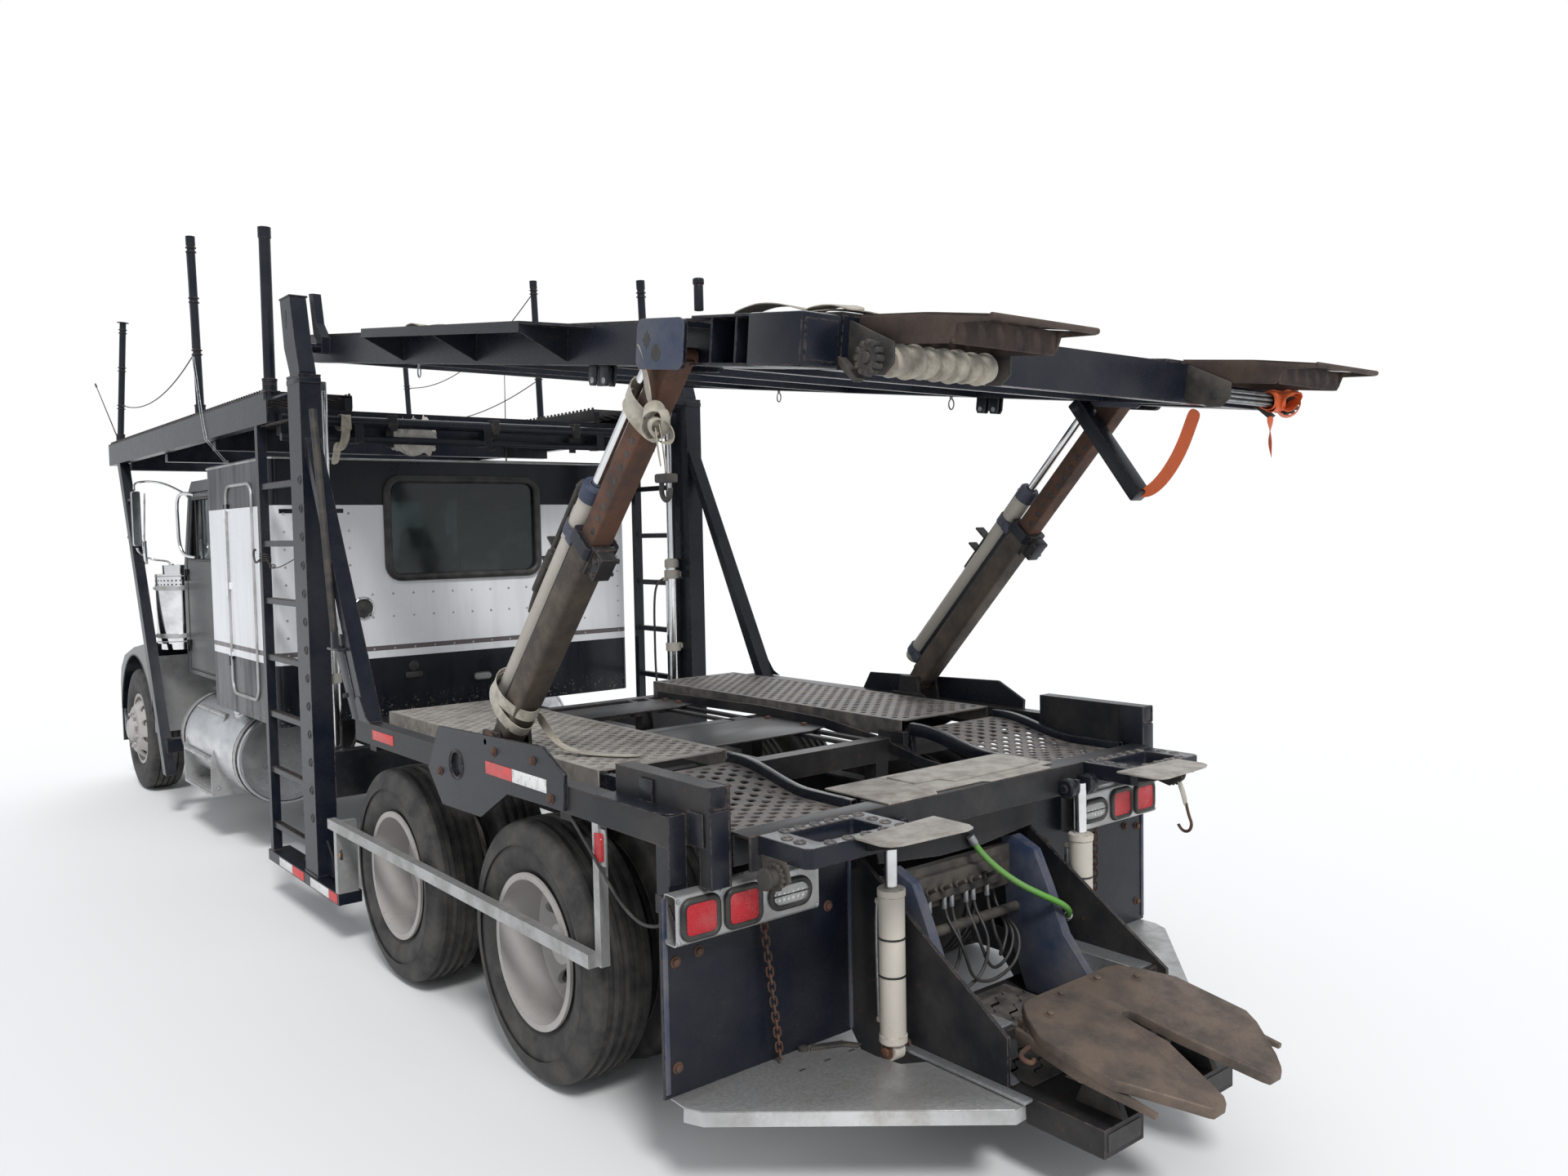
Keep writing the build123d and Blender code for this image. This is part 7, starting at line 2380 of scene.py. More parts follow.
@dataclass
class Stinger:
    """Knee plates, angles, tread plate, hoses and cross gear round the fifth wheel."""

    def build(self, shop: Workshop) -> None:
        """Build the stinger's dress.

        Args:
            shop: the workshop.
        """
        knees = [Bench.side([(-3.9, 0.88), (-3.96, 0.9), (-4.06, 0.86), (-4.12, 0.74), (-4.2, 0.56),
                    (-4.38, 0.36), (-4.5, 0.296), (-4.02, 0.296), (-3.93, 0.52)], (x, x + 0.014), 0.003)
            for x in (0.31, 0.34)]
        knees.append(Bench.side([(-3.96, 0.9), (-4.06, 0.86), (-4.12, 0.74), (-4.2, 0.56), (-4.38, 0.36),
                    (-4.5, 0.296), (-4.46, 0.296), (-4.36, 0.35), (-4.18, 0.55), (-4.1, 0.73), (-4.05, 0.845),
                    (-3.96, 0.885)], (0.324, 0.342), 0.001, 1))
        shop.pair(knees, "stinger_knees", "blue_paint")
        tread = Bench.perforated((-0.3, -4.54), (0.3, -3.92), 0.297, (8, 14), 0.016, 0.012, 0.006, arc=2)
        shop.dress(tread, "stinger_tread", "deck_steel")
        angle = Bench.across([(0.35, 0.5), (0.432, 0.5), (0.432, 0.506), (0.344, 0.506), (0.344, 0.44),
                (0.35, 0.44)], (-4.5, -3.93), 0.001, 1)
        shop.pair([angle], "stinger_angles", "galvanised")
        strip = Bench.level([(0.447, -4.02), (0.487, -4.02), (0.487, -4.66), (0.447, -4.66)], (0.334, 0.346),
            0.003)
        shop.pair([strip], "stinger_strips", "galvanised")
        # Black plates in the tube ends are painted shade inside the open tubes.
        caps = Bench.across(Bench.rounded(0.176, 0.344, 0.216, 0.274, 0.006, 3), (-4.8625, -4.858), 0.0005, 1)
        shop.pair([caps], "stinger_tube_mouth_shade", "black_rubber")
        cross = [Bench.rod((-0.43, -3.97, 0.62), (0.43, -3.97, 0.62), 0.02, 20, 0.002),
            Bench.box((-0.4, -3.94, 0.7), (0.4, -3.9, 0.86), 0.006),
            Bench.box((-0.24, -3.965, 0.73), (0.24, -3.94, 0.83), 0.01)]
        for i in range(5):
            cross.append(Bench.rod((-0.19 + 0.08 * i, -3.985, 0.78), (-0.19 + 0.08 * i, -3.96, 0.78), 0.016,
                    12, 0.003))
            cross.append(Bench.rod((-0.19 + 0.08 * i, -4.02, 0.8), (-0.19 + 0.08 * i, -3.985, 0.78), 0.008,
                    10, 0.002))
        shop.dress(Bench.join(cross), "valve_bank", "cast_iron")
        self.hoses(shop)

    def hoses(self, shop: Workshop) -> None:
        """Hoses that hang in loops from the valve bank, those of the lift cylinders, and the green one.

        Args:
            shop: the workshop.
        """
        ends = []
        for side, sign in SIDES:
            for i in range(3):
                x = (0.16 - 0.12 * i) * sign
                y = -3.975 - 0.032 * i - (0.016 if sign > 0 else 0)
                z = 0.745 + 0.045 * i
                low = 0.47 - 0.025 * i
                route = [(0.42 * sign, -3.862, z), (0.38 * sign, -3.862, z),
                    (0.322 * sign, -3.862, z - 0.004), (0.292 * sign, -3.866, z - 0.045),
                    (0.28 * sign, -3.88, 0.66), (0.272 * sign, -3.915, 0.6), (0.262 * sign, y + 0.02, 0.545),
                    (0.215 * sign, y, low + 0.02), ((x + 0.215 * sign) / 2, y, low - 0.02),
                    (x + 0.04 * sign, y, low + 0.02), (x + 0.004 * sign, y, 0.545),
                    (x, y * 0.6 - 3.955 * 0.4, 0.61), (x, -3.955, 0.67), (x, -3.953, 0.735)]
                tip = Bench.rod((x, -3.953, 0.74), (x, -3.955, 0.69), 0.0105, 12, 0.002)
                shop.hose(route, 0.0065, f"bank_hose_{side}_{i + 1}", "black_rubber", tip=tip)
                ends += [Bench.rod((0.424 * sign, -3.862, z), (0.385 * sign, -3.862, z), 0.0105, 12, 0.002)]
        for side, sign in SIDES:
            shop.hose([(0.5 * sign, -4.075, 0.43), (0.49 * sign, -4.05, 0.47), (0.47 * sign, -4.01, 0.58),
                    (0.45 * sign, -3.975, 0.7), (0.425 * sign, -3.945, 0.775), (0.41 * sign, -3.935, 0.8)],
                0.008, f"lift_hose_upper_{side}", "black_rubber")
            shop.hose([(0.405 * sign, -4.12, 0.294), (0.405 * sign, -4.122, 0.34),
                    (0.408 * sign, -4.14, 0.43), (0.408 * sign, -4.13, 0.52), (0.404 * sign, -4.06, 0.64),
                    (0.406 * sign, -3.98, 0.705), (0.41 * sign, -3.935, 0.72)], 0.008,
                f"lift_hose_lower_{side}", "black_rubber")
        shop.hose([(0.424, -4.13, 0.59), (0.396, -4.16, 0.612), (0.356, -4.192, 0.645), (0.312, -4.192, 0.68),
                (0.252, -4.15, 0.715), (0.19, -4.1, 0.755), (0.132, -4.05, 0.808), (0.084, -4.012, 0.866),
                (0.052, -3.995, 0.912), (0.035, -3.99, 0.94)], 0.0125, "green_air_hose", "green_hose",
            tip=Bench.rod((0.028, -3.988, 0.952), (0.048, -3.994, 0.918), 0.017, 16, 0.003))
        ends += [Bench.rod((0.434, -4.122, 0.583), (0.404, -4.152, 0.606), 0.017, 16, 0.003)]
        shop.dress(Bench.join(ends), "hose_fittings", "galvanised")


@dataclass
class FifthWheel:
    """Cast fifth wheel plate with bevelled edges, ramps, jaws and its release handle."""

    pivot: Point = (0, -4.77, 0.4)
    tilt: float = 9.0

    def build(self, shop: Workshop) -> None:
        """Build the plate.

        Args:
            shop: the workshop.
        """
        place = Matrix.Translation(self.pivot) @ Matrix.Rotation(math.radians(self.tilt), 4, "X")
        half = [(0.0, 0.33), (0.21, 0.33), (0.262, 0.318), (0.318, 0.255), (0.378, 0.15), (0.38, -0.118),
            (0.345, -0.175), (0.245, -0.3), (0.205, -0.34), (0.19, -0.35), (0.13, -0.35), (0.112, -0.33),
            (0.034, -0.085), (0.028, 0.075), (0.02, 0.1), (0.0, 0.112)]
        outline = half + [(-x, y) for x, y in reversed(half[1:-1])]
        plate = Bench.level(outline, (0.052, 0.088), 0.006, 3)
        for vertex in plate.data.vertices:
            droop = max(0.0, -vertex.co.y - 0.14)
            vertex.co.z -= droop * droop * 0.75
        ribs = [Bench.box((-0.3, y - 0.01, 0.016), (0.3, y + 0.01, 0.056), 0.003) for y in (0.21, 0.29)]
        ribs += [Bench.side([(0.3, 0.056), (0.3, 0.022), (0.02, 0.006), (-0.26, 0.03), (-0.26, 0.046)],
                (x, x + 0.018), 0.002) for x in (-0.36, -0.215, 0.197, 0.342)]
        ears = [Bench.side([(-0.05, 0.056), (-0.038, -0.006), (-0.02, -0.03), (0.02, -0.03), (0.038, -0.006),
                    (0.05, 0.056)], x, 0.003) for x in ((0.268, 0.292), (-0.292, -0.268))]
        body = Bench.join([plate] + ribs + ears)
        shop.dress(Bench.shift(body, place), "fifth_wheel_casting", "fifth_steel", Place.FIFTH_WHEEL,
            replaced=("fifth_wheel_plate",))
        jaw = [Bench.level([(-0.088, 0.16), (-0.034, 0.16), (-0.034, 0.02), (-0.06, 0.012), (-0.088, 0.03)],
                (0.012, 0.05), 0.004), Bench.level([(0.088, 0.16), (0.034, 0.16), (0.034, 0.02),
                    (0.06, 0.012), (0.088, 0.03)], (0.012, 0.05), 0.004),
            Bench.box((-0.088, 0.145, 0.014), (0.088, 0.172, 0.05), 0.004)]
        shop.dress(Bench.shift(Bench.join(jaw), place), "fifth_wheel_jaws", "cast_iron", Place.FIFTH_WHEEL)
        handle = Bench.pipe([(0.05, 0.2, 0.03), (-0.1, 0.205, 0.028), (-0.34, 0.205, 0.022),
                (-0.42, 0.19, 0.022), (-0.435, 0.16, 0.022), (-0.425, 0.13, 0.022), (-0.405, 0.145, 0.022)],
            0.008)
        shop.dress(Bench.shift(handle, place), "fifth_wheel_handle", "rust_steel", Place.FIFTH_WHEEL)
        spots = [(x, y, 0.0875) for x, y in ((0.1, 0.285), (-0.1, 0.285), (0.24, 0.22), (-0.24, 0.22))]
        pins = Bench.bolts(spots, (0, 0, 1), 0.013)
        shop.dress(Bench.shift(pins, place), "fifth_wheel_rivets", "fifth_steel", Place.FIFTH_WHEEL)
        caps = Bench.lathe([(0, 0.026), (0.01, 0.026), (0.014, 0.02), (0.014, 0)],
            (0.298, self.pivot[1], self.pivot[2]), (1, 0, 0), 24)
        shop.pair([caps], "fifth_wheel_pin_caps", "cast_iron")
        brackets = Bench.side([(-4.68, 0.29), (-4.86, 0.29), (-4.83, 0.35), (-4.79, 0.372), (-4.75, 0.372),
                (-4.71, 0.35)], (0.262, 0.266), 0.001, 1)
        shop.pair([brackets], "fifth_wheel_stands", "cast_iron")


@dataclass
class UpperDeck:
    """Perforated upper tracks, rusty skids, beam ends, winches and what is tied to them."""

    inner: float = 0.56
    beam_in: float = 1.01
    beam_out: float = 1.09
    top: float = 0.078
    front: float = 0.28
    rear: float = -4.1

    def build(self, shop: Workshop) -> None:
        """Build the deck's dress in its own level frame.

        Args:
            shop: the workshop.
        """
        self.tracks(shop)
        self.skids(shop)
        self.beam_ends(shop)
        self.winches(shop)
        self.rings(shop)
        self.straps(shop)
        self.prop(shop)

    def tracks(self, shop: Workshop) -> None:
        """Perforated floors between their lips and the beams' caps.

        Args:
            shop: the workshop.
        """
        floor = Bench.perforated((self.inner + 0.012, self.rear), (self.beam_in, self.front), self.top,
            (12, 122), 0.003, 0.009)
        lip = Bench.across([(self.inner, 0.02), (self.inner, self.top), (self.inner + 0.014, self.top),
                (self.inner + 0.014, 0.07), (self.inner + 0.006, 0.07), (self.inner + 0.006, 0.02)],
            (self.rear, self.front), 0.0015, 1)
        cap = Bench.box((self.beam_in - 0.004, self.rear - 0.065, 0.069),
            (self.beam_out + 0.002, self.front + 0.008, self.top + 0.001), 0.002)
        floors = Bench.shift(Bench.both(Bench.join([floor, lip, cap])), DECK)
        shop.dress(floors, "upper_floors", "rough_dark", Place.UPPER_DECK, "worn_steel", ("upper_tracks",))
        ties = [Bench.box((self.inner - 0.01, -u - 0.03, 0.03), (self.beam_in, -u, 0.07), 0.002)
            for u in (0.45, 1.35, 2.25, 3.08, 3.75)]
        shop.pair(ties, "upper_floor_ties", "dark_paint", Place.UPPER_DECK, frame=DECK)

    def skids(self, shop: Workshop) -> None:
        """Rusty perforated skids with a rolled rear edge.

        Args:
            shop: the workshop.
        """
        x0, x1 = 0.6, 1.03
        floor = Bench.perforated((x0 + 0.01, -4.638), (x1 - 0.01, -4.135), self.top, (11, 13), 0.003, 0.01)
        for vertex in floor.data.vertices:
            vertex.co.z -= 0.01 * max(0.0, (-4.42 - vertex.co.y) / 0.22)
        web = [(-4.135, 0.072), (-4.4, 0.072), (-4.64, 0.06), (-4.64, 0.052), (-4.525, 0.046), (-4.515, 0.01),
            (-4.5, -0.003), (-4.165, -0.003), (-4.15, 0.006)]
        parts = [floor, Bench.rod((x0, -4.642, 0.062), (x1, -4.642, 0.062), 0.009, 16, 0.003)]
        parts += [Bench.side(web, (x, x + 0.01), 0.002) for x in (x0, x1 - 0.01)]
        parts.append(Bench.across(Bench.rounded(x0 + 0.004, x1 - 0.004, -0.003, 0.064, 0.014, 4),
                (-4.515, -4.507), 0.002, 1))
        parts.append(Bench.box((x0 + 0.008, -4.2, -0.003), (x1 - 0.008, -4.19, 0.066), 0.002))
        skid = Bench.shift(Bench.both(Bench.join(parts)), DECK)
        shop.dress(skid, "upper_skids", "skid_rust", Place.UPPER_DECK)

    def beam_ends(self, shop: Workshop) -> None:
        """Ribs, flanges, box ends and pans outside the beams, and the faces of the leg brackets.

        Args:
            shop: the workshop.
        """
        x = self.beam_out - 0.002
        parts = [Bench.box((x, -4.168, -0.077), (1.235, -3.935, 0.069), 0.008),
            Bench.box((x, -3.94, -0.077), (1.222, -3.64, -0.069), 0.002),
            Bench.box((x, -3.94, 0.061), (1.222, -3.64, 0.069), 0.002)]
        parts += [Bench.box((x, -u - 0.01, -0.07), (1.215, -u, 0.062), 0.002) for u in (3.73, 3.85)]
        parts.append(Bench.box((1.105, -4.174, -0.06), (1.22, -4.166, 0.052), 0.004))
        shop.pair(parts, "beam_ends", "dark_paint", Place.UPPER_DECK, frame=DECK)
        cheek = Bench.side(Bench.rounded(-3.646, -3.388, -0.093, 0.063, 0.03), (1.247, 1.252), 0.0015, 1)
        inner = Bench.side(Bench.rounded(-3.64, -3.394, -0.09, 0.06, 0.03), (1.087, 1.092), 0.0015, 1)
        shop.pair([cheek, inner], "leg_cheeks", "blue_paint", Place.UPPER_DECK, frame=DECK)
        # A black star and disc stand for torch-cut holes: painted shade.
        star = []
        for i in range(16):
            r = (0.03, 0.017, 0.024, 0.019)[i % 4]
            a = 2 * math.pi * i / 16
            star.append((-3.447 + r * 0.8 * math.cos(a), -0.002 + r * math.sin(a)))
        hole = Bench.side(star, (1.2515, 1.2528), 0)
        bits = [hole, Bench.lathe([(0, 0.026), (0.0015, 0.025), (0.0015, 0)], (1.252, -3.502, -0.042),
                (1, 0, 0), 24)]
        shop.pair(bits, "torch_cut_shade", "black_rubber", Place.UPPER_DECK, frame=DECK)
        stub = Bench.rod((-1.1, -3.9, 2.8), (-1.1, -3.9, 2.885), 0.015, 20, 0.002)
        cap = Bench.rod((-1.1, -3.9, 2.88), (-1.1, -3.9, 2.9), 0.018, 20, 0.004)
        shop.dress(Bench.join([stub, cap]), "beam_stub", "dark_paint", Place.UPPER_DECK)
        pans = []
        for u0, u1 in ((1.2, 1.8), (1.95, 2.6)):
            pans.append(Bench.box((1.13, -u1, 0.0695), (1.262, -u0, 0.0725), 0.001))
        shop.pair(pans, "wing_pans", "deck_steel", Place.UPPER_DECK, frame=DECK)

    def drum(self, x: float) -> list[Piece]:
        """Shaft, toothed wheel and cheek of one winch.

        Args:
            x: where the toothed wheel stands.

        Returns:
            The pieces.
        """
        y, z = -4.29, -0.045
        parts = [Bench.rod((0.585, y, z), (x + 0.02, y, z), 0.016, 20, 0.002),
            Bench.lathe([(-0.01, 0.018), (-0.01, 0.036), (0.012, 0.036), (0.012, 0.018)], (x, y, z),
                (1, 0, 0), 32, True)]
        for i in range(12):
            a = 2 * math.pi * i / 12
            cy, cz = y + 0.04 * math.cos(a), z + 0.04 * math.sin(a)
            parts.append(Bench.rod((x - 0.01, cy, cz), (x + 0.014, cy, cz), 0.009, 12, 0.002))
        cheek = [(-4.165, 0.06), (-4.345, 0.0), (-4.35, -0.055), (-4.315, -0.088), (-4.265, -0.088),
            (-4.165, -0.06)]
        parts += [Bench.side(cheek, (x0, x0 + 0.008), 0.002) for x0 in (x - 0.038, 0.588)]
        parts.append(Bench.side([(-4.16, -0.035), (-4.25, -0.098), (-4.235, -0.11), (-4.15, -0.052)],
                (x - 0.028, x + 0.004), 0.002))
        return parts

    def winches(self, shop: Workshop) -> None:
        """Strap winches behind both beams, wound on the left and tied up on the right.

        Args:
            shop: the workshop.
        """
        for side, sign in SIDES:
            body = Bench.join(self.drum(1.095))
            if sign < 0:
                body = Bench.flip(body)
            shop.dress(Bench.shift(body, DECK), f"strap_winch_{side}", "cast_iron", Place.UPPER_DECK)
        wraps = []
        for i in range(7):
            r = 0.043 + 0.002 * math.sin(i * 2.1)
            profile = [(-0.034, 0.017), (-0.033, r - 0.003), (-0.028, r), (0.0, r + 0.0015), (0.027, r),
                (0.034, r - 0.004), (0.035, 0.017)]
            wraps.append(Bench.lathe(profile, (-1.005 + 0.058 * i, -4.29, -0.045), (1, 0.16, 0.24), 40))
        roll = Bench.shift(Bench.join(wraps), DECK)
        shop.dress(roll, "strap_roll_left", "strap_webbing", Place.UPPER_DECK)
        ribs = []
        for i in range(8):
            a = 2 * math.pi * i / 8
            cy, cz = -4.29 + 0.021 * math.cos(a), -0.045 + 0.021 * math.sin(a)
            ribs.append(Bench.rod((0.62, cy, cz), (0.95, cy, cz), 0.005, 10, 0.001))
        shop.dress(Bench.shift(Bench.join(ribs), DECK), "winch_ribs_right", "galvanised", Place.UPPER_DECK,
            "worn_steel")
        knot = [Straps.ring((0.965, -4.29, -0.045), (0.034, 0.034), (1, 0.1, 0.2), 0.05),
            Straps.ring((0.995, -4.292, -0.048), (0.04, 0.038), (1, -0.25, 0.1), 0.046),
            Straps.ring((1.02, -4.335, -0.04), (0.045, 0.03), (0.4, 1, 0.3), 0.05),
            Straps.ring((1.045, -4.325, -0.062), (0.036, 0.042), (1, 0.6, -0.2), 0.044)]
        shop.dress(Bench.shift(Bench.join(knot), DECK), "orange_knot", "orange_ribbon", Place.UPPER_DECK)
        tail = Bench.ribbon([(0.945, -4.655, 2.5), (0.952, -4.67, 2.455), (0.96, -4.676, 2.405),
                (0.957, -4.672, 2.345)], [(0.99, -4.672, 2.505), (0.988, -4.652, 2.45), (0.962, -4.655, 2.4),
                (0.96, -4.675, 2.343)], 0.002)
        shop.dress(tail, "orange_tail", "orange_ribbon", Place.UPPER_DECK)

    def rings(self, shop: Workshop) -> None:
        """Hanging rings and pairs of drilled lugs under the beams.

        Args:
            shop: the workshop.
        """
        rings = []
        for x, y, z in ((-1.05, -1.58, 2.878), (1.05, -1.658, 2.868), (1.05, -2.984, 2.706)):
            oval = [(x, y + 0.017 * math.cos(a), z + 0.026 * math.sin(a))
                for a in [2 * math.pi * i / 12 for i in range(12)]]
            rings.append(Bench.pipe(oval, 0.0035, True, True, 2))
            rings.append(Bench.box((x - 0.004, y - 0.008, z + 0.022), (x + 0.004, y + 0.008, z + 0.052),
                    0.002))
        shop.dress(Bench.join(rings), "deck_rings", "galvanised", Place.UPPER_DECK, "worn_steel")
        lugs, holes = [], []
        for y in (-2.81, -2.89):
            outline = [(y - 0.026, -0.068), (y + 0.026, -0.068), (y + 0.026, -0.125), (y + 0.016, -0.143),
                (y - 0.016, -0.143), (y - 0.026, -0.125)]
            lugs += [Bench.side(outline, (x, x + 0.01), 0.002) for x in (1.03, 1.06)]
            for x, turn in ((1.07, 1), (1.03, -1)):
                holes.append(Bench.lathe([(0, 0.012), (0.001, 0.011), (0.001, 0)], (x, y, -0.123),
                        (turn, 0, 0), 20))
        shop.pair(lugs, "deck_lugs", "dark_paint", Place.UPPER_DECK, frame=DECK)
        shop.pair(holes, "deck_lug_holes", "galvanised", Place.UPPER_DECK, "worn_steel", frame=DECK)

    def straps(self, shop: Workshop) -> None:
        """Webbing folded on the left beam's top.

        Args:
            shop: the workshop.
        """
        top = self.top + 0.004
        folds = [Bench.strap([(-1.06, -3.66, top), (-1.06, -3.72, top + 0.016), (-1.07, -3.82, top + 0.032),
                    (-1.06, -3.92, top + 0.024), (-1.05, -4.0, top + 0.004)], (0.085, 0.012, 0)),
            Bench.strap([(-1.03, -3.96, top + 0.003), (-1.04, -4.03, top + 0.02), (-1.02, -4.1, top + 0.026),
                    (-1.03, -4.16, top + 0.006)], (0.075, -0.02, 0.004)),
            Bench.strap([(-1.09, -4.02, top + 0.001), (-1.03, -4.06, top + 0.012),
                    (-0.96, -4.09, top + 0.014), (-0.9, -4.13, top + 0.002)], (0.015, 0.055, 0)),
            Bench.strap([(-1.12, -1.25, top - 0.004), (-1.14, -1.33, top + 0.012),
                    (-1.15, -1.43, top + 0.018), (-1.16, -1.52, top)], (0.07, 0.02, 0)),
            Bench.strap([(-1.2, -1.6, top - 0.006), (-1.17, -1.66, top + 0.008), (-1.13, -1.72, top + 0.004)],
                (0.02, 0.06, 0))]
        shop.dress(Bench.shift(Bench.join(folds), DECK), "folded_straps", "strap_webbing", Place.UPPER_DECK)

    def prop(self, shop: Workshop) -> None:
        """Free prop under the right beam and the orange strap that holds it.

        Args:
            shop: the workshop.
        """
        lean = Matrix.Translation((1.05, -3.748, 2.622)) @ Matrix.Rotation(math.radians(-36.8), 4, "X")
        bar = [Bench.box((-0.04, -0.032, -0.5), (0.04, 0.032, 0.03), 0.006),
            Bench.rod((-0.05, 0, -0.006), (0.05, 0, -0.006), 0.016, 20, 0.002)]
        shop.dress(Bench.shift(Bench.join(bar), lean), "deck_prop", "dark_paint", Place.UPPER_DECK)
        strap = Bench.strap([(1.05, -4.04, 2.224), (1.06, -4.105, 2.25), (1.06, -4.18, 2.3235),
                (1.055, -4.247, 2.426), (1.05, -4.2875, 2.525), (1.05, -4.3075, 2.5625)],
            (0.024, -0.036, -0.028))
        shop.dress(strap, "orange_prop_strap", "orange_ribbon", Place.UPPER_DECK)


class Straps:
    """Loops of webbing for knots and lashings."""

    @staticmethod
    def ring(centre: Point, radii: Flat, axis: Point, width: float, thickness: float = 0.003,
            across: Point | None = None) -> Piece:
        """Closed loop of webbing round an axis.

        Args:
            centre: its middle.
            radii: two half sizes.
            axis: the axis it goes round.
            width: width of the webbing.
            thickness: thickness of the webbing.
            across: direction of the first half size, if it matters.

        Returns:
            The new piece.
        """
        along = Vector(axis).normalized()
        out = along.orthogonal().normalized()
        if across:
            out = (Vector(across) - along * along.dot(Vector(across))).normalized()
        side = along.cross(out)
        mid = Vector(centre)
        lines = ([], [])
        for i in range(21):
            a = 2 * math.pi * i / 20
            spot = mid + out * radii[0] * math.cos(a) + side * radii[1] * math.sin(a)
            lift = along * (width * 0.12 * math.sin(2 * a))
            lines[0].append(tuple(spot - along * width / 2 + lift))
            lines[1].append(tuple(spot + along * width / 2 + lift))
        return Bench.ribbon(lines[0], lines[1], thickness, 1)


@dataclass
class Legs:
    """Telescopic legs: rounded outer tubes, rusty inner tubes with black discs of painted shade for pin
    holes, and cylinders.
    """

    x: float = 1.17
    outer: float = 0.055
    inner: float = 0.0425
    rod_z: float = 0.116
    mouth: float = 1.075
    reach: float = 1.85
    first_hole: float = 1.135
    hole_pitch: float = 0.056

    def build(self, shop: Workshop) -> None:
        """Build both legs in their own frame.

        Args:
            shop: the workshop.
        """
        self.tubes(shop)
        self.slides(shop)
        self.cylinders(shop)
        self.fittings(shop)
        self.lashings(shop)

    def square(self, half: float, corner: float, y: float) -> list[Point]:
        """Points round a rounded square across the leg."""
        return [(x, y, z) for x, z in Bench.rounded(self.x - half, self.x + half, -half, half, corner, 4)]

    def tubes(self, shop: Workshop) -> None:
        """Outer tubes with their mouths and foot eyes.

        Args:
            shop: the workshop.
        """
        tube = Bench.shell(self.square(self.outer, 0.02, -self.mouth),
            self.square(self.outer - 0.008, 0.013, -self.mouth), (0, self.mouth - 0.075, 0))
        neck = Bench.side([(-0.1, 0.05), (-0.055, 0.045), (0.0, 0.04), (0.0, -0.04), (-0.055, -0.045),
                (-0.1, -0.05)], (self.x - 0.048, self.x + 0.048), 0.004)
        eye = Bench.lathe([(-0.052, 0.0258), (-0.052, 0.043), (0.052, 0.043), (0.052, 0.0258)],
            (self.x, 0, 0), (1, 0, 0), 32, True)
        shop.pair([tube, neck, eye], "leg_tubes", "leg_brown", Place.LEG_TUBES, replaced=("leg_outer",),
            frame=LEG)
        collar = Bench.shell(self.square(0.066, 0.02, -self.mouth - 0.012),
            self.square(0.0475, 0.012, -self.mouth - 0.012), (0, 0.052, 0))
        channel = Bench.box((self.x - 0.03, -1.04, self.outer - 0.002), (self.x + 0.03, -0.1, 0.084), 0.004)
        shop.pair([collar, channel], "leg_collars", "dark_paint", Place.LEG_TUBES, frame=LEG)

    def slides(self, shop: Workshop) -> None:
        """Inner tubes with a row of black discs of painted shade for pin holes, and their top pins.

        Args:
            shop: the workshop.
        """
        slide = Bench.shell(self.square(self.inner, 0.008, -self.reach - 0.01),
            self.square(self.inner - 0.008, 0.004, -self.reach - 0.01), (0, 1.235, 0))
        top = Bench.lathe([(-0.06, 0), (-0.06, 0.03), (0.06, 0.03), (0.06, 0)], (self.x, -self.reach, 0),
            (1, 0, 0), 28)
        lug = Bench.side([(-self.reach + 0.1, 0.04), (-self.reach + 0.1, 0.136), (-self.reach + 0.125, 0.136),
                (-self.reach + 0.18, 0.04)], (self.x - 0.016, self.x + 0.016), 0.004)
        shop.pair([slide, top, lug], "leg_slides", "rust_steel", Place.LEG_RODS, replaced=("leg_inner",),
            frame=LEG)
        # Black discs are painted shade where the pin holes go through the inner tube.
        hole_shade_disc = [(0.0004, 0.0125), (0.0012, 0.0115), (0.0012, 0)]
        holes = []
        for i in range(11):
            y = -self.first_hole - self.hole_pitch * i
            holes.append(Bench.lathe(hole_shade_disc, (self.x + self.inner, y, -0.02), (1, 0, 0), 16))
            holes.append(Bench.lathe(hole_shade_disc, (self.x - self.inner, y, -0.02), (-1, 0, 0), 16))
        shop.pair(holes, "leg_pin_hole_shade", "black_rubber", Place.LEG_RODS, frame=LEG)
        rod = Bench.rod((self.x, -self.reach + 0.115, self.rod_z), (self.x, -0.62, self.rod_z), 0.0198, 28,
            0.002)
        shop.pair([rod], "leg_chrome_rods", "chrome", Place.LEG_RODS, frame=LEG)

    def cylinders(self, shop: Workshop) -> None:
        """Cylinder barrels on the front of the tubes, with their glands and clamps.

        Args:
            shop: the workshop.
        """
        body = [(0.062, 0), (0.062, 0.034), (0.074, 0.042), (1.172, 0.042), (1.172, 0.0225), (1.15, 0.0225),
            (1.15, 0)]
        barrel = Bench.lathe(body, (self.x, 0, self.rod_z), (0, -1, 0), 36)
        shop.pair([barrel], "leg_barrels", "cream_paint", Place.LEG_TUBES, frame=LEG)
        gland = Bench.lathe([(1.165, 0.0225), (1.165, 0.047), (1.222, 0.047), (1.23, 0.04), (1.23, 0.0225)],
            (self.x, 0, self.rod_z), (0, -1, 0), 36, True)
        clamps = [Bench.lathe([(t, 0.0425), (t, 0.05), (t + 0.045, 0.05), (t + 0.045, 0.0425)],
                (self.x, 0, self.rod_z), (0, -1, 0), 36, True) for t in (0.1, 1.0)]
        lips = [Bench.box((self.x - 0.058, -t - 0.045, 0.048), (self.x + 0.058, -t, 0.092), 0.004)
            for t in (0.1, 1.0)]
        shop.pair([gland] + clamps + lips, "leg_glands", "blue_paint", Place.LEG_TUBES, frame=LEG)

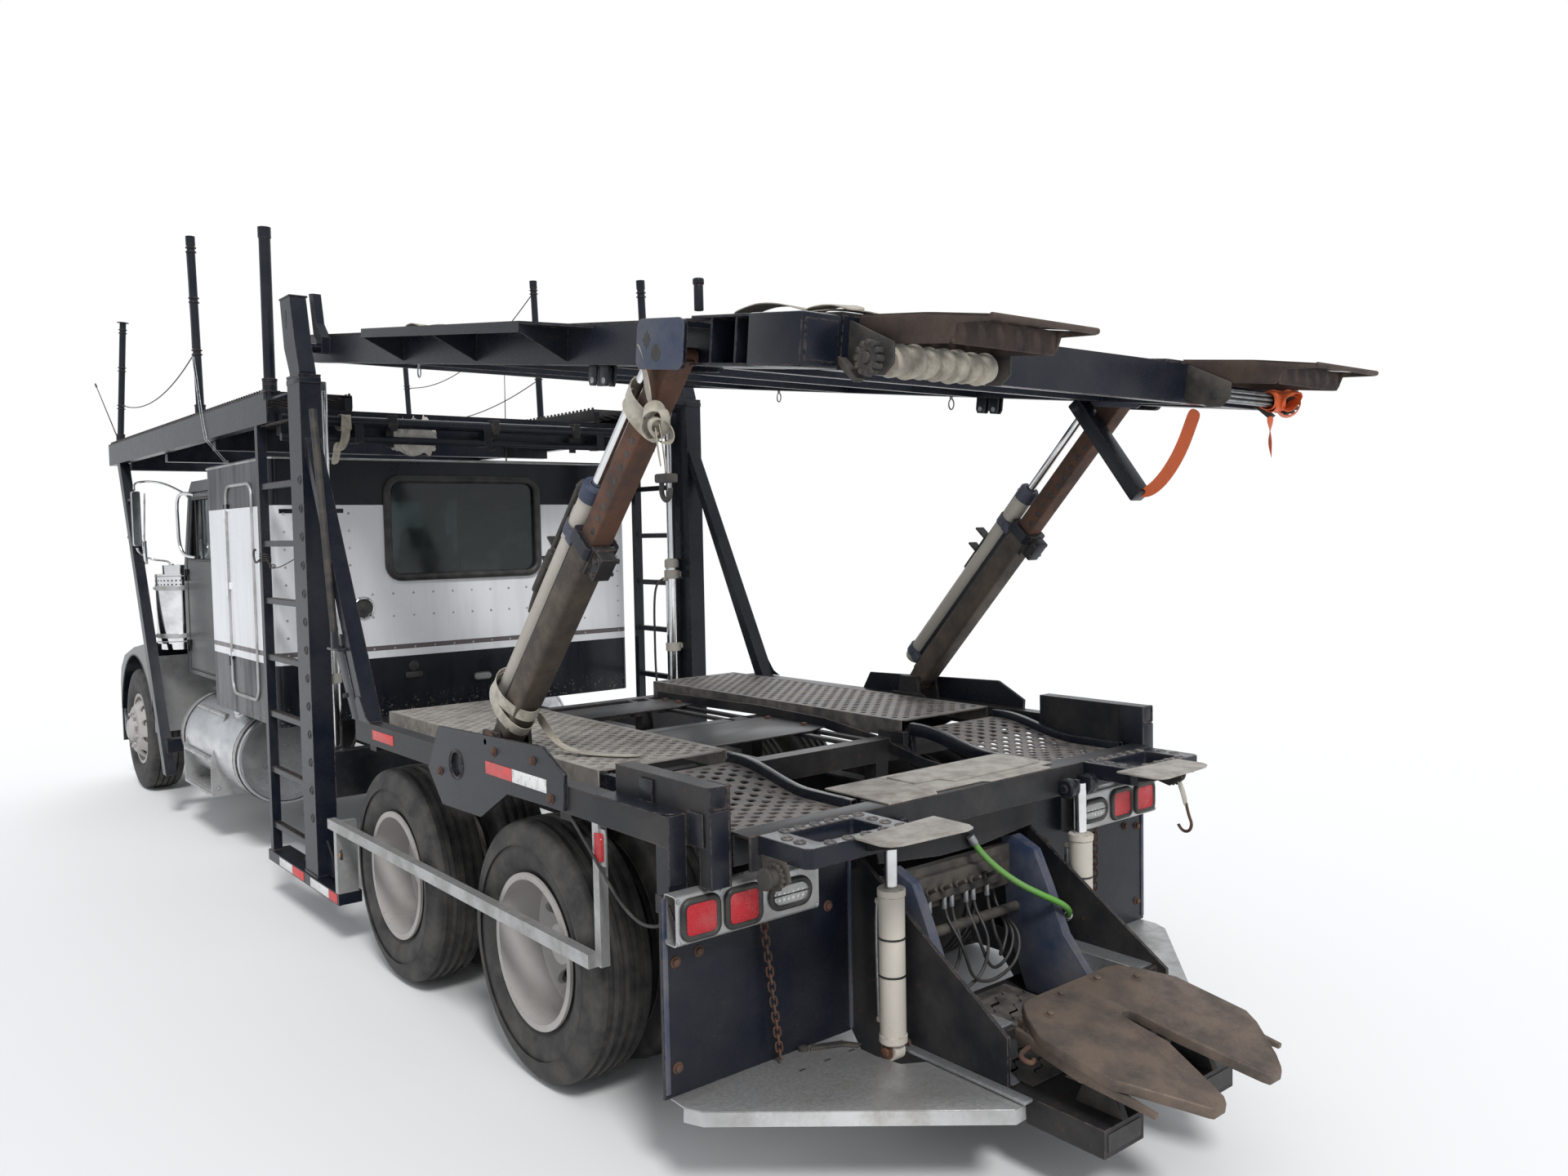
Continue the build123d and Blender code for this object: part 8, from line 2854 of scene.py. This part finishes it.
    def fittings(self, shop: Workshop) -> None:
        """Pressure pipe, bracket and latch on each leg.

        Args:
            shop: the workshop.
        """
        z = self.rod_z + 0.058
        pipe = Bench.pipe([(self.x + 0.02, -1.195, z - 0.014), (self.x + 0.022, -1.17, z + 0.004),
                (self.x + 0.024, -1.12, z), (self.x + 0.024, -0.8, z), (self.x + 0.022, -0.62, z - 0.004),
                (self.x + 0.018, -0.56, z - 0.014)], 0.009)
        sleeve = Bench.rod((self.x + 0.024, -0.86, z), (self.x + 0.024, -0.66, z), 0.015, 16, 0.003)
        nut = Bench.rod((self.x + 0.02, -1.2, z - 0.012), (self.x + 0.022, -1.165, z + 0.002), 0.014, 6,
            0.002)
        shop.pair([pipe, sleeve, nut], "leg_pipes", "cast_iron", Place.LEG_TUBES, frame=LEG)
        hook = Bench.side([(-0.885, 0.15), (-0.885, 0.23), (-0.875, 0.23), (-0.875, 0.16), (-0.8, 0.16),
                (-0.8, 0.215), (-0.79, 0.215), (-0.79, 0.15)], (self.x - 0.028, self.x + 0.028), 0.002, 1)
        latch = [Bench.box((self.x - 0.034, -1.086, -0.118), (self.x + 0.034, -0.985, -0.064), 0.006),
            Bench.rod((self.x - 0.05, -1.065, -0.1), (self.x + 0.05, -1.065, -0.1), 0.01, 16, 0.002),
            Bench.rod((self.x - 0.044, -1.01, -0.108), (self.x + 0.044, -1.01, -0.108), 0.008, 16, 0.002),
            Bench.box((self.x - 0.045, -1.09, -0.07), (self.x + 0.045, -0.975, -0.052), 0.003)]
        shop.pair([hook] + latch, "leg_latches", "rough_dark", Place.LEG_TUBES, frame=LEG)

    def lashings(self, shop: Workshop) -> None:
        """Beige straps knotted on the left leg's top and lashed round its foot.

        Args:
            shop: the workshop.
        """
        x = -self.x
        loops = [Bench.shift(Straps.ring((x, -1.64, 0.034), (0.062, 0.106), (0.1, 1, 0.1), 0.05, 0.003,
                    (1, 0, 0)), LEG), Bench.shift(Straps.ring((x, -1.6, 0.03), (0.06, 0.1), (-0.1, 1, 0.18),
                    0.048, 0.003, (1, 0, 0)), LEG)]
        knot = (-1.232, -3.835, 2.47)
        loops += [Straps.ring(knot, (0.05, 0.034), (0.5, 0.5, 1), 0.044),
            Straps.ring((-1.236, -3.85, 2.445), (0.036, 0.052), (1, 0.3, 0.2), 0.042),
            Straps.ring((-1.23, -3.868, 2.425), (0.03, 0.046), (0.3, 1, 0.3), 0.04)]
        loops.append(Bench.ribbon([(-1.225, -3.8, 2.5), (-1.24, -3.792, 2.56), (-1.232, -3.775, 2.63),
                    (-1.25, -3.768, 2.7)], [(-1.245, -3.845, 2.5), (-1.25, -3.838, 2.57),
                    (-1.25, -3.815, 2.64), (-1.253, -3.785, 2.705)]))
        loops.append(Bench.ribbon([(-1.222, -3.845, 2.46), (-1.226, -3.862, 2.4), (-1.224, -3.872, 2.33),
                    (-1.226, -3.88, 2.285)], [(-1.252, -3.885, 2.46), (-1.254, -3.905, 2.4),
                    (-1.25, -3.918, 2.33), (-1.254, -3.925, 2.285)]))
        loops.append(Bench.ribbon([(-1.232, -3.84, 2.44), (-1.24, -3.855, 2.38), (-1.236, -3.868, 2.31)],
                [(-1.262, -3.88, 2.44), (-1.264, -3.898, 2.38), (-1.26, -3.908, 2.31)]))
        shop.dress(Bench.join(loops), "leg_top_strap", "strap_webbing", Place.LEG_RODS)
        buckle = [Bench.box((-1.262, -3.932, 2.262), (-1.214, -3.868, 2.29), 0.006),
            Bench.pipe([(-1.24, -3.88, 2.268), (-1.24, -3.872, 2.235), (-1.24, -3.895, 2.205),
                    (-1.24, -3.922, 2.215), (-1.24, -3.926, 2.245)], 0.008)]
        shop.dress(Bench.join(buckle), "leg_strap_buckle", "cast_iron", Place.LEG_RODS)
        foot = [Bench.shift(Straps.ring((x, -0.205, 0.055), (0.078, 0.134), (0.05, 1, -0.12), 0.05, 0.003,
                    (1, 0, 0)), LEG), Bench.shift(Straps.ring((x, -0.15, 0.055), (0.079, 0.136),
                    (-0.05, 1, 0.15), 0.048, 0.003, (1, 0, 0)), LEG)]
        shop.dress(Bench.join(foot), "leg_foot_lashing", "strap_webbing", Place.LEG_TUBES)
        tail = Bench.ribbon([(-1.09, -2.7, 1.4), (-1.07, -2.735, 1.33), (-1.04, -2.8, 1.262),
                (-0.98, -2.9, 1.247), (-0.9, -3.02, 1.2455), (-0.84, -3.08, 1.2455)],
            [(-1.09, -2.74, 1.42), (-1.05, -2.765, 1.35), (-1.01, -2.77, 1.268), (-0.945, -2.87, 1.247),
                (-0.865, -2.985, 1.2455), (-0.8, -3.05, 1.2455)])
        shop.dress(tail, "leg_foot_strap", "strap_webbing")


@dataclass
class Stakes:
    """Loading stakes that lean in their cups, with the cables slung between them."""

    spots: tuple[tuple[Point, Point, float, tuple[float, ...]], ...] = (
        ((-1.25, 4.2, 2.89), (-1.195, 4.17, 3.928), 0.024, (0.33, 0.63, 0.93)),
        ((-1.248, 1.57, 2.89), (-1.26, 1.6, 4.108), 0.025, (0.38, 0.66, 0.93)),
        ((-1.252, 0.03, 2.89), (-1.256, 0.005, 3.84), 0.031, (0.11,)),
        ((1.25, 4.2, 2.89), (1.2, 4.19, 3.928), 0.024, (0.33, 0.63, 0.93)),
        ((1.248, 1.57, 2.89), (1.205, 1.56, 4.1), 0.025, (0.38, 0.66, 0.93)),
        ((1.25, 0.03, 2.89), (1.21, 0.02, 3.838), 0.026, (0.3, 0.9)),)

    def at(self, index: int, share: float) -> Vector:
        """Point on a stake's axis, at a share of its height."""
        foot, top = Vector(self.spots[index][0]), Vector(self.spots[index][1])
        return foot.lerp(top, share)

    def build(self, shop: Workshop) -> None:
        """Build the stakes, their cups and the cables.

        Args:
            shop: the workshop.
        """
        stakes, cups = [], []
        for index, (foot, top, radius, collars) in enumerate(self.spots):
            axis = Vector(top) - Vector(foot)
            tall = axis.length
            profile = [(0, 0), (0, radius)]
            for share in collars:
                for middle in (tall * share - 0.016, tall * share + 0.012):
                    profile += [(middle - 0.004, radius), (middle - 0.003, radius + 0.008),
                        (middle + 0.003, radius + 0.008), (middle + 0.004, radius)]
            if index % 3 == 0:
                profile += [(tall - 0.006, radius), (tall - 0.005, radius + 0.02), (tall, radius + 0.02),
                    (tall, 0)]
            else:
                profile += [(tall - 0.06, radius), (tall - 0.058, radius + 0.004), (tall, radius + 0.004),
                    (tall, radius - 0.005), (tall - 0.08, radius - 0.005), (tall - 0.08, 0)]
            stakes.append(Bench.lathe(profile, foot, axis, 24))
            rim = radius + 0.008
            cups.append(Bench.lathe([(0.0, 0), (0.0, rim), (0.105, rim), (0.107, rim + 0.002),
                        (0.117, rim + 0.002), (0.119, radius + 0.002), (0.08, radius + 0.001)], foot, axis,
                    28))
            cups.append(Bench.box((foot[0] - rim - 0.002, foot[1] - 0.05, 2.93),
                    (foot[0] + rim + 0.002, foot[1] + 0.05, 2.94), 0.002))
        shop.dress(Bench.join(stakes + cups), "stakes_dress", "dark_paint", replaced=("stakes",))
        self.cables(shop)

    def slung(self, start: Vector, end: Vector, sag: float) -> list[Point]:
        """Points of a cable that hangs between two points.

        Args:
            start: its first end.
            end: its second end.
            sag: how far its middle hangs below the straight line.

        Returns:
            The points.
        """
        return [tuple(start.lerp(end, u / 10) - Vector((0, 0, sag * 4 * u / 10 * (1 - u / 10))))
            for u in range(11)]

    def cables(self, shop: Workshop) -> None:
        """Cables between the stakes, the loop beside the left one and its two stays.

        Args:
            shop: the workshop.
        """
        back, front = Vector((0, -0.024, 0)), Vector((0, 0.024, 0))
        shop.hose(self.slung(self.at(0, 0.34) + back, self.at(1, 0.39) + front, 0.14), 0.004,
            "left_stake_cable", "black_rubber")
        shop.hose(self.slung(self.at(3, 0.62) + back, self.at(4, 0.92) + front, 0.2), 0.004,
            "right_stake_cable_upper", "black_rubber")
        shop.hose(self.slung(self.at(3, 0.32) + back, self.at(4, 0.36) + front, 0.12), 0.004,
            "right_stake_cable_lower", "black_rubber")
        loop = [self.at(1, share) + Vector((-0.024 + out * 0.3, 0.01 + out, 0))
            for share, out in ((0.4, 0.0), (0.48, 0.022), (0.56, 0.024), (0.64, 0.014), (0.72, 0.026),
                (0.8, 0.02), (0.87, 0.006), (0.92, 0.0))]
        shop.hose([(max(point.x, -1.29), point.y, point.z) for point in loop], 0.0035, "stake_loop_cable",
            "black_rubber")
        stays = [Bench.pipe([tuple(self.at(1, 0.37) + Vector((-0.02, y, 0))), (-1.2905, 1.36 + y, 2.93),
                    (-1.2905, 1.27 + y, 2.76), (-1.196, 1.17 + y, 2.603)], 0.0025, False, False)
            for y in (0.0, 0.05)]
        eyes = [Straps.ring((-1.196, 1.17 + y, 2.606), (0.012, 0.012), (1, 0, 0), 0.004, 0.004)
            for y in (0.0, 0.05)]
        shop.dress(Bench.join(stays + eyes), "stake_stays", "galvanised")


@dataclass
class Posts:
    """Mast heads, pin hole rings with painted shade in the holes and slot, brackets, spare stake, tapes and
    lamps of the two posts.
    """

    outer: float = 1.277
    rear_y: float = -0.56
    front_y: float = -0.36
    first_pin: float = 0.62
    pin_pitch: float = 0.15
    first_rung: float = 0.46
    rung_pitch: float = 0.325
    deck_z: float = 2.76

    def build(self, shop: Workshop) -> None:
        """Dress the posts.

        Args:
            shop: the workshop.
        """
        x = self.outer
        caps = [Bench.box((x - 0.106, -0.419, 3.394), (x - 0.008, -0.244, 3.404), 0.003),
            Bench.box((x - 0.112, self.rear_y - 0.006, 2.925), (x + 0.003, self.front_y + 0.006, 2.955),
                0.004), Bench.box((x - 0.112, self.rear_y - 0.004, 0.3),
                (x + 0.006, self.front_y + 0.004, 0.318), 0.003),
            Bench.box((x - 0.045, self.front_y, 2.885), (x - 0.008, -0.01, 2.9), 0.003)]
        caps += [Bench.side([(-0.36, 0.318), (-0.16, 0.318), (-0.36, 0.5)], (x - 0.06, x - 0.05), 0.001, 1),
            Bench.side([(-0.56, 0.318), (-0.76, 0.318), (-0.56, 0.5)], (x - 0.06, x - 0.05), 0.001, 1),
            Bench.side([(-1.11, 1.222), (-1.36, 1.222), (-1.3, 1.25), (-1.225, 1.34), (-1.18, 1.34)],
                (x - 0.022, x - 0.016), 0.001, 1)]
        shop.pair(caps, "post_plates", "dark_paint")
        # A black slot plate and black discs are painted shade in the post's slot and pin holes.
        holes = [Bench.side(Bench.rounded(-0.35, -0.318, 3.235, 3.33, 0.014), (x - 0.0122, x - 0.0108), 0)]
        rings = []
        for i in range(13):
            centre = (x, -0.505, self.first_pin + self.pin_pitch * i)
            rings.append(Bench.lathe([(0, 0.024), (0.003, 0.023), (0.004, 0.018), (0, 0.016)], centre,
                    (1, 0, 0), 24, True))
            holes.append(Bench.lathe([(0.0008, 0.0165), (0.001, 0)], centre, (1, 0, 0), 24))
        shop.pair(rings, "post_pin_rings", "dark_paint")
        shop.pair(holes, "post_pin_hole_shade", "black_rubber")
        self.clamps(shop)
        self.spare(shop)
        self.markers(shop)
        self.ladder(shop)

    def clamps(self, shop: Workshop) -> None:
        """Bands, glands, ports and hoses of the post cylinders.

        Args:
            shop: the workshop.
        """
        x, y = 1.117, -0.42
        bands = [Bench.lathe([(-0.028, 0.043), (-0.026, 0.05), (0.026, 0.05), (0.028, 0.043)], (x, y, z),
                (0, 0, 1), 32, True) for z in (0.88, 1.35, 1.83)]
        bands.append(Bench.lathe([(0, 0.0425), (0.002, 0.047), (0.045, 0.047), (0.055, 0.04), (0.06, 0.0265)],
                (x, y, 1.875), (0, 0, 1), 32))
        bands += [Bench.rod((x - 0.04, y, z), (x - 0.075, y, z), 0.013, 6, 0.002) for z in (0.94, 1.8)]
        bands += Bench.row(Bench.box((x + 0.03, y - 0.036, 0.862), (x + 0.056, y + 0.036, 0.898), 0.003),
            (0, 0, 0.475), 3)
        shop.pair(bands, "post_cylinder_bands", "cream_paint")
        for side, sign in SIDES:
            route = [(sign * 1.052, y, 1.8), (sign * 1.02, y, 1.797), (sign * 0.985, y + 0.004, 1.74),
                (sign * 0.978, y + 0.01, 1.6), (sign * 0.985, y + 0.02, 1.42), (sign * 0.978, y + 0.01, 1.24),
                (sign * 0.985, y + 0.004, 1.06), (sign * 1.018, y, 0.952), (sign * 1.052, y, 0.94)]
            shop.hose(route, 0.0075, f"post_hose_{side}", "black_rubber")

    def spare(self, shop: Workshop) -> None:
        """Spare stake that leans in its cup outside the left brace, and the valve beside it.

        Args:
            shop: the workshop.
        """
        foot, top = (-1.2745, -0.962, 1.566), (-1.2745, -0.748, 2.768)
        axis = Vector(top) - Vector(foot)
        stake = Bench.lathe([(0, 0), (0, 0.0185), (axis.length, 0.0185), (axis.length, 0.014),
                (axis.length - 0.1, 0.014), (axis.length - 0.1, 0)], foot, axis, 24)
        shop.dress(stake, "spare_stake", "cast_iron")
        shelf = [Bench.level([(-1.292, -0.88), (-1.292, -1.045), (-1.18, -1.075), (-1.18, -0.87)],
                (1.55, 1.564), 0.003), Bench.side([(-0.905, 1.55), (-1.04, 1.55), (-1.21, 1.225),
                    (-1.14, 1.222), (-1.13, 1.222)], (-1.262, -1.25), 0.002),
            Bench.side([(-0.935, 1.564), (-1.01, 1.564), (-1.0, 1.63), (-0.945, 1.63)], (-1.25, -1.243),
                0.001, 1)]
        cup = []
        for i in range(9):
            a = math.radians(180 + 22.5 * i - 90)
            cup.append((-1.2705 + 0.0235 * math.cos(a), -0.96 + 0.034 * math.sin(a)))
        shelf.append(Bench.shell([(px, py, 1.56) for px, py in cup],
                [(px * 0.15 - 1.2705 * 0.85, py * 0.85 - 0.96 * 0.15, 1.56) for px, py in cup],
                (0, 0, 0.085)))
        shop.dress(Bench.join(shelf), "spare_stake_shelf", "dark_paint")
        valve = [Bench.box((-1.245, -1.08, 1.3), (-1.185, -1.01, 1.395), 0.01),
            Bench.rod((-1.215, -1.045, 1.395), (-1.215, -1.045, 1.44), 0.012, 6, 0.002),
            Bench.rod((-1.245, -1.045, 1.33), (-1.275, -1.045, 1.33), 0.013, 6, 0.002),
            Bench.rod((-1.215, -1.08, 1.35), (-1.215, -1.115, 1.35), 0.012, 6, 0.002),
            Bench.rod((-1.215, -1.045, 1.3), (-1.215, -1.045, 1.225), 0.01, 12, 0.002)]
        shop.dress(Bench.join(valve), "deck_corner_valve", "cast_iron")

    def markers(self, shop: Workshop) -> None:
        """Reflective tapes on the base beam, and amber markers in their housings.

        Args:
            shop: the workshop.
        """
        x = 1.2872
        tapes = [Bench.box((x, -0.35, 0.246), (x + 0.0012, 0.08, 0.294), 0.0004),
            Bench.box((x, -0.88, 0.246), (x + 0.0012, -0.46, 0.294), 0.0004)]
        shop.pair(tapes, "base_beam_tapes", "marker_tape")
        spot = (1.262, -0.88, 0.5)
        housing = Bench.lathe([(0, 0.034), (0.008, 0.033), (0.012, 0.028), (0.01, 0.026), (0.004, 0.026)],
            spot, (1, 0, 0), 32)
        shop.pair([housing], "side_marker_housings", "black_rubber")
        dome = Bench.lathe([(0.004, 0.0262), (0.012, 0.024), (0.018, 0.016), (0.021, 0.006), (0.021, 0)],
            spot, (1, 0, 0), 32)
        shop.pair([dome], "side_marker_lenses", "amber_lens")

    def ladder(self, shop: Workshop) -> None:
        """Rung grips, upright ends and the wired hook on the left ladder.

        Args:
            shop: the workshop.
        """
        ends = [Bench.box((1.233, 0.193, 0.298), (1.287, 0.247, 0.312), 0.003)]
        for i in range(8):
            z = self.first_rung + self.rung_pitch * i
            if z < self.deck_z:
                ends.append(Bench.perforated((1.241, -0.345), (1.274, 0.16), z + 0.0185, (2, 11), 0.005,
                        0.003, 0.003, False))
        shop.pair(ends, "rung_grips", "rough_dark")
        wires = [Straps.ring((-1.26, 0.22, 1.985 + 0.012 * i), (0.032, 0.032), (0.1 * i, 0.1, 1), 0.004,
                0.004) for i in range(4)]
        wires.append(Bench.pipe([(-1.288, 0.245, 1.99), (-1.289, 0.29, 1.975), (-1.289, 0.325, 1.985),
                    (-1.289, 0.345, 2.025), (-1.289, 0.325, 2.06), (-1.289, 0.3, 2.05)], 0.006))
        wires.append(Bench.pipe([(-1.262, 0.19, 1.995), (-1.27, 0.08, 1.955), (-1.274, -0.06, 1.95),
                    (-1.27, -0.2, 1.975), (-1.262, -0.34, 2.005)], 0.003))
        wires += [Straps.ring((-1.262, 0.1 - 0.02 * i, 1.958), (0.012, 0.012), (0.2, 1, 0.1 * i), 0.004,
                0.003) for i in range(3)]
        shop.dress(Bench.join(wires), "ladder_wires", "cast_iron")


@dataclass
class Headrack:
    """Perforated tracks, brackets, strap, bag, whip and antenna of the rack over the cab."""

    top: float = 2.938

    def build(self, shop: Workshop) -> None:
        """Build the rack's dress.

        Args:
            shop: the workshop.
        """
        self.tracks(shop)
        self.brackets(shop)
        self.bag(shop)
        self.aerials(shop)

    def tracks(self, shop: Workshop) -> None:
        """Perforated tracks with toothed edges.

        Args:
            shop: the workshop.
        """
        low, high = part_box("headrack_tracks")
        inner = high[0] - 0.48
        sheet = Bench.perforated((inner, low[1]), (high[0], high[1]), self.top, (9, 84), 0.007, 0.008, 0.006)
        tooth = Bench.across([(inner, self.top - 0.002), (inner + 0.014, self.top - 0.002),
                (inner + 0.011, self.top + 0.014), (inner + 0.003, self.top + 0.014)],
            (low[1] + 0.02, low[1] + 0.034), 0)
        count = int((high[1] - low[1] - 0.06) / 0.052)
        teeth = Bench.row(tooth, (0, 0.052, 0), count)
        far = [Bench.copy(one, Matrix.Translation((0.466, 0, 0))) for one in teeth]
        lip = Bench.box((inner - 0.003, low[1] + 0.002, self.top - 0.075),
            (inner + 0.004, high[1] - 0.002, self.top - 0.006), 0.002)
        shop.pair([sheet, lip] + teeth + far, "headrack_track_sheets", "rough_dark",
            replaced=("headrack_tracks",))

    def brackets(self, shop: Workshop) -> None:
        """Hooks over the round bars, end plates and the beige strap.

        Args:
            shop: the workshop.
        """
        hooks = []
        for x in (-0.6, 0.05, 0.62, -1.12, 1.12):
            hooks.append(Bench.side([(-0.1, 2.825), (-0.02, 2.825), (-0.02, 2.64), (-0.034, 2.64),
                        (-0.034, 2.735), (-0.094, 2.735), (-0.094, 2.77), (-0.1, 2.77)],
                    (x - 0.022, x + 0.022), 0.002, 1))
            hooks.append(Bench.rod((x - 0.03, -0.06, 2.78), (x + 0.03, -0.06, 2.78), 0.034, 24, 0.003))
        shop.dress(Bench.join(hooks), "round_bar_brackets", "rough_dark")
        loops = [Straps.ring((-0.87, -0.06, 2.775), (0.042, 0.044), (1, 0, 0.05), 0.048),
            Straps.ring((-0.885, -0.06, 2.772), (0.046, 0.048), (1, 0.1, -0.08), 0.048)]
        loops.append(Bench.strap([(-0.88, -0.104, 2.79), (-0.885, -0.112, 2.74), (-0.89, -0.11, 2.68),
                    (-0.905, -0.104, 2.635), (-0.925, -0.1, 2.605)], (0.05, 0, 0.006)))
        loops.append(Bench.strap([(-0.93, -0.092, 2.66), (-0.935, -0.098, 2.61), (-0.945, -0.096, 2.565),
                    (-0.95, -0.09, 2.53)], (0.046, 0.006, 0.01)))
        shop.dress(Bench.join(loops), "round_bar_strap", "strap_webbing")

    def bag(self, shop: Workshop) -> None:
        """Crumpled cloth bag stuffed behind the round bars.

        Args:
            shop: the workshop.
        """
        Bench.clear()
        bpy.ops.mesh.primitive_ico_sphere_add(subdivisions=5, radius=1, location=(0, 0, 0))
        piece = bpy.context.object
        for vertex in piece.data.vertices:
            x, y, z = vertex.co
            folds = 0.05 * math.sin(9 * x + 4 * z) * math.cos(7 * z - 3 * y) + 0.03 * math.sin(
                17 * x - 11 * y)
            pinch = 1 - 0.35 * max(0.0, z) ** 2
            wide = math.copysign(abs(x) ** 0.72, x)
            tall = math.copysign(abs(z) ** 0.8, z)
            peak = 0.022 * max(0.0, z) * (math.sin(13 * x + 1.3) + 0.6 * math.sin(29 * x))
            vertex.co = (-0.445 + (0.16 + 0.12 * folds) * wide * pinch, 0.012 + (0.036 + 0.18 * folds) * y,
                2.712 + peak + (0.104 + 0.3 * folds) * tall)
        clouds = bpy.data.textures.new("crumple", "CLOUDS")
        clouds.noise_scale = 0.075
        clouds.noise_depth = 3
        Bench.apply(piece, "DISPLACE", texture=clouds, strength=0.036, mid_level=0.6)
        bag = shop.dress(Bench.finish(piece, 0, 2, 60), "cloth_bag", "pale_cloth")

    def aerials(self, shop: Workshop) -> None:
        """Whip on the sleeper's roof and the antenna that leans forward from the rack.

        Args:
            shop: the workshop.
        """
        whip = [Bench.lathe([(0, 0.016), (0.02, 0.014), (0.05, 0.007), (0.12, 0.0045), (0.74, 0.0025),
                    (0.745, 0.004), (0.752, 0)], (0.85, 1.4, 2.6), (0.01, 0, 1), 16)]
        root, tip = Vector((-1.262, 4.16, 2.935)), Vector((-1.262, 5.1, 3.52))
        whip.append(Bench.lathe([(0, 0.018), (0.03, 0.016), (0.034, 0.01), (0.1, 0.009), (0.104, 0.005),
                    (1.04, 0.0035), (1.042, 0.0075), (1.1, 0.0075), (1.105, 0)], root, tip - root, 16))
        whip.append(Bench.box((-1.285, 4.13, 2.928), (-1.238, 4.19, 2.942), 0.003))
        shop.dress(Bench.join(whip), "aerials", "cast_iron")


def main(frame: dict) -> None:
    """Build every sub-assembly in order.
    """
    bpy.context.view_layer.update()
    Studio().build()
    shop = Workshop()
    NodeFinishes().dress(frame["nodes"], shop.finishes)
    for part in (Tyres(), LowerDeck(), TailDeck(), RearLamps(), Flaps(), WingPlates(), LiftCylinders(),
            Stinger(), FifthWheel(), UpperDeck(), Legs(), Stakes(), Posts(), Headrack(), SleeperDress(),
            CabInside(), CabDress(), FrontDress(), TankDress()):
        part.build(shop)
        LOG.info("%s done, %d pieces", type(part).__name__, shop.count)


if __name__ == "__main__":
    logging.basicConfig(level=logging.INFO)
    main(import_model())
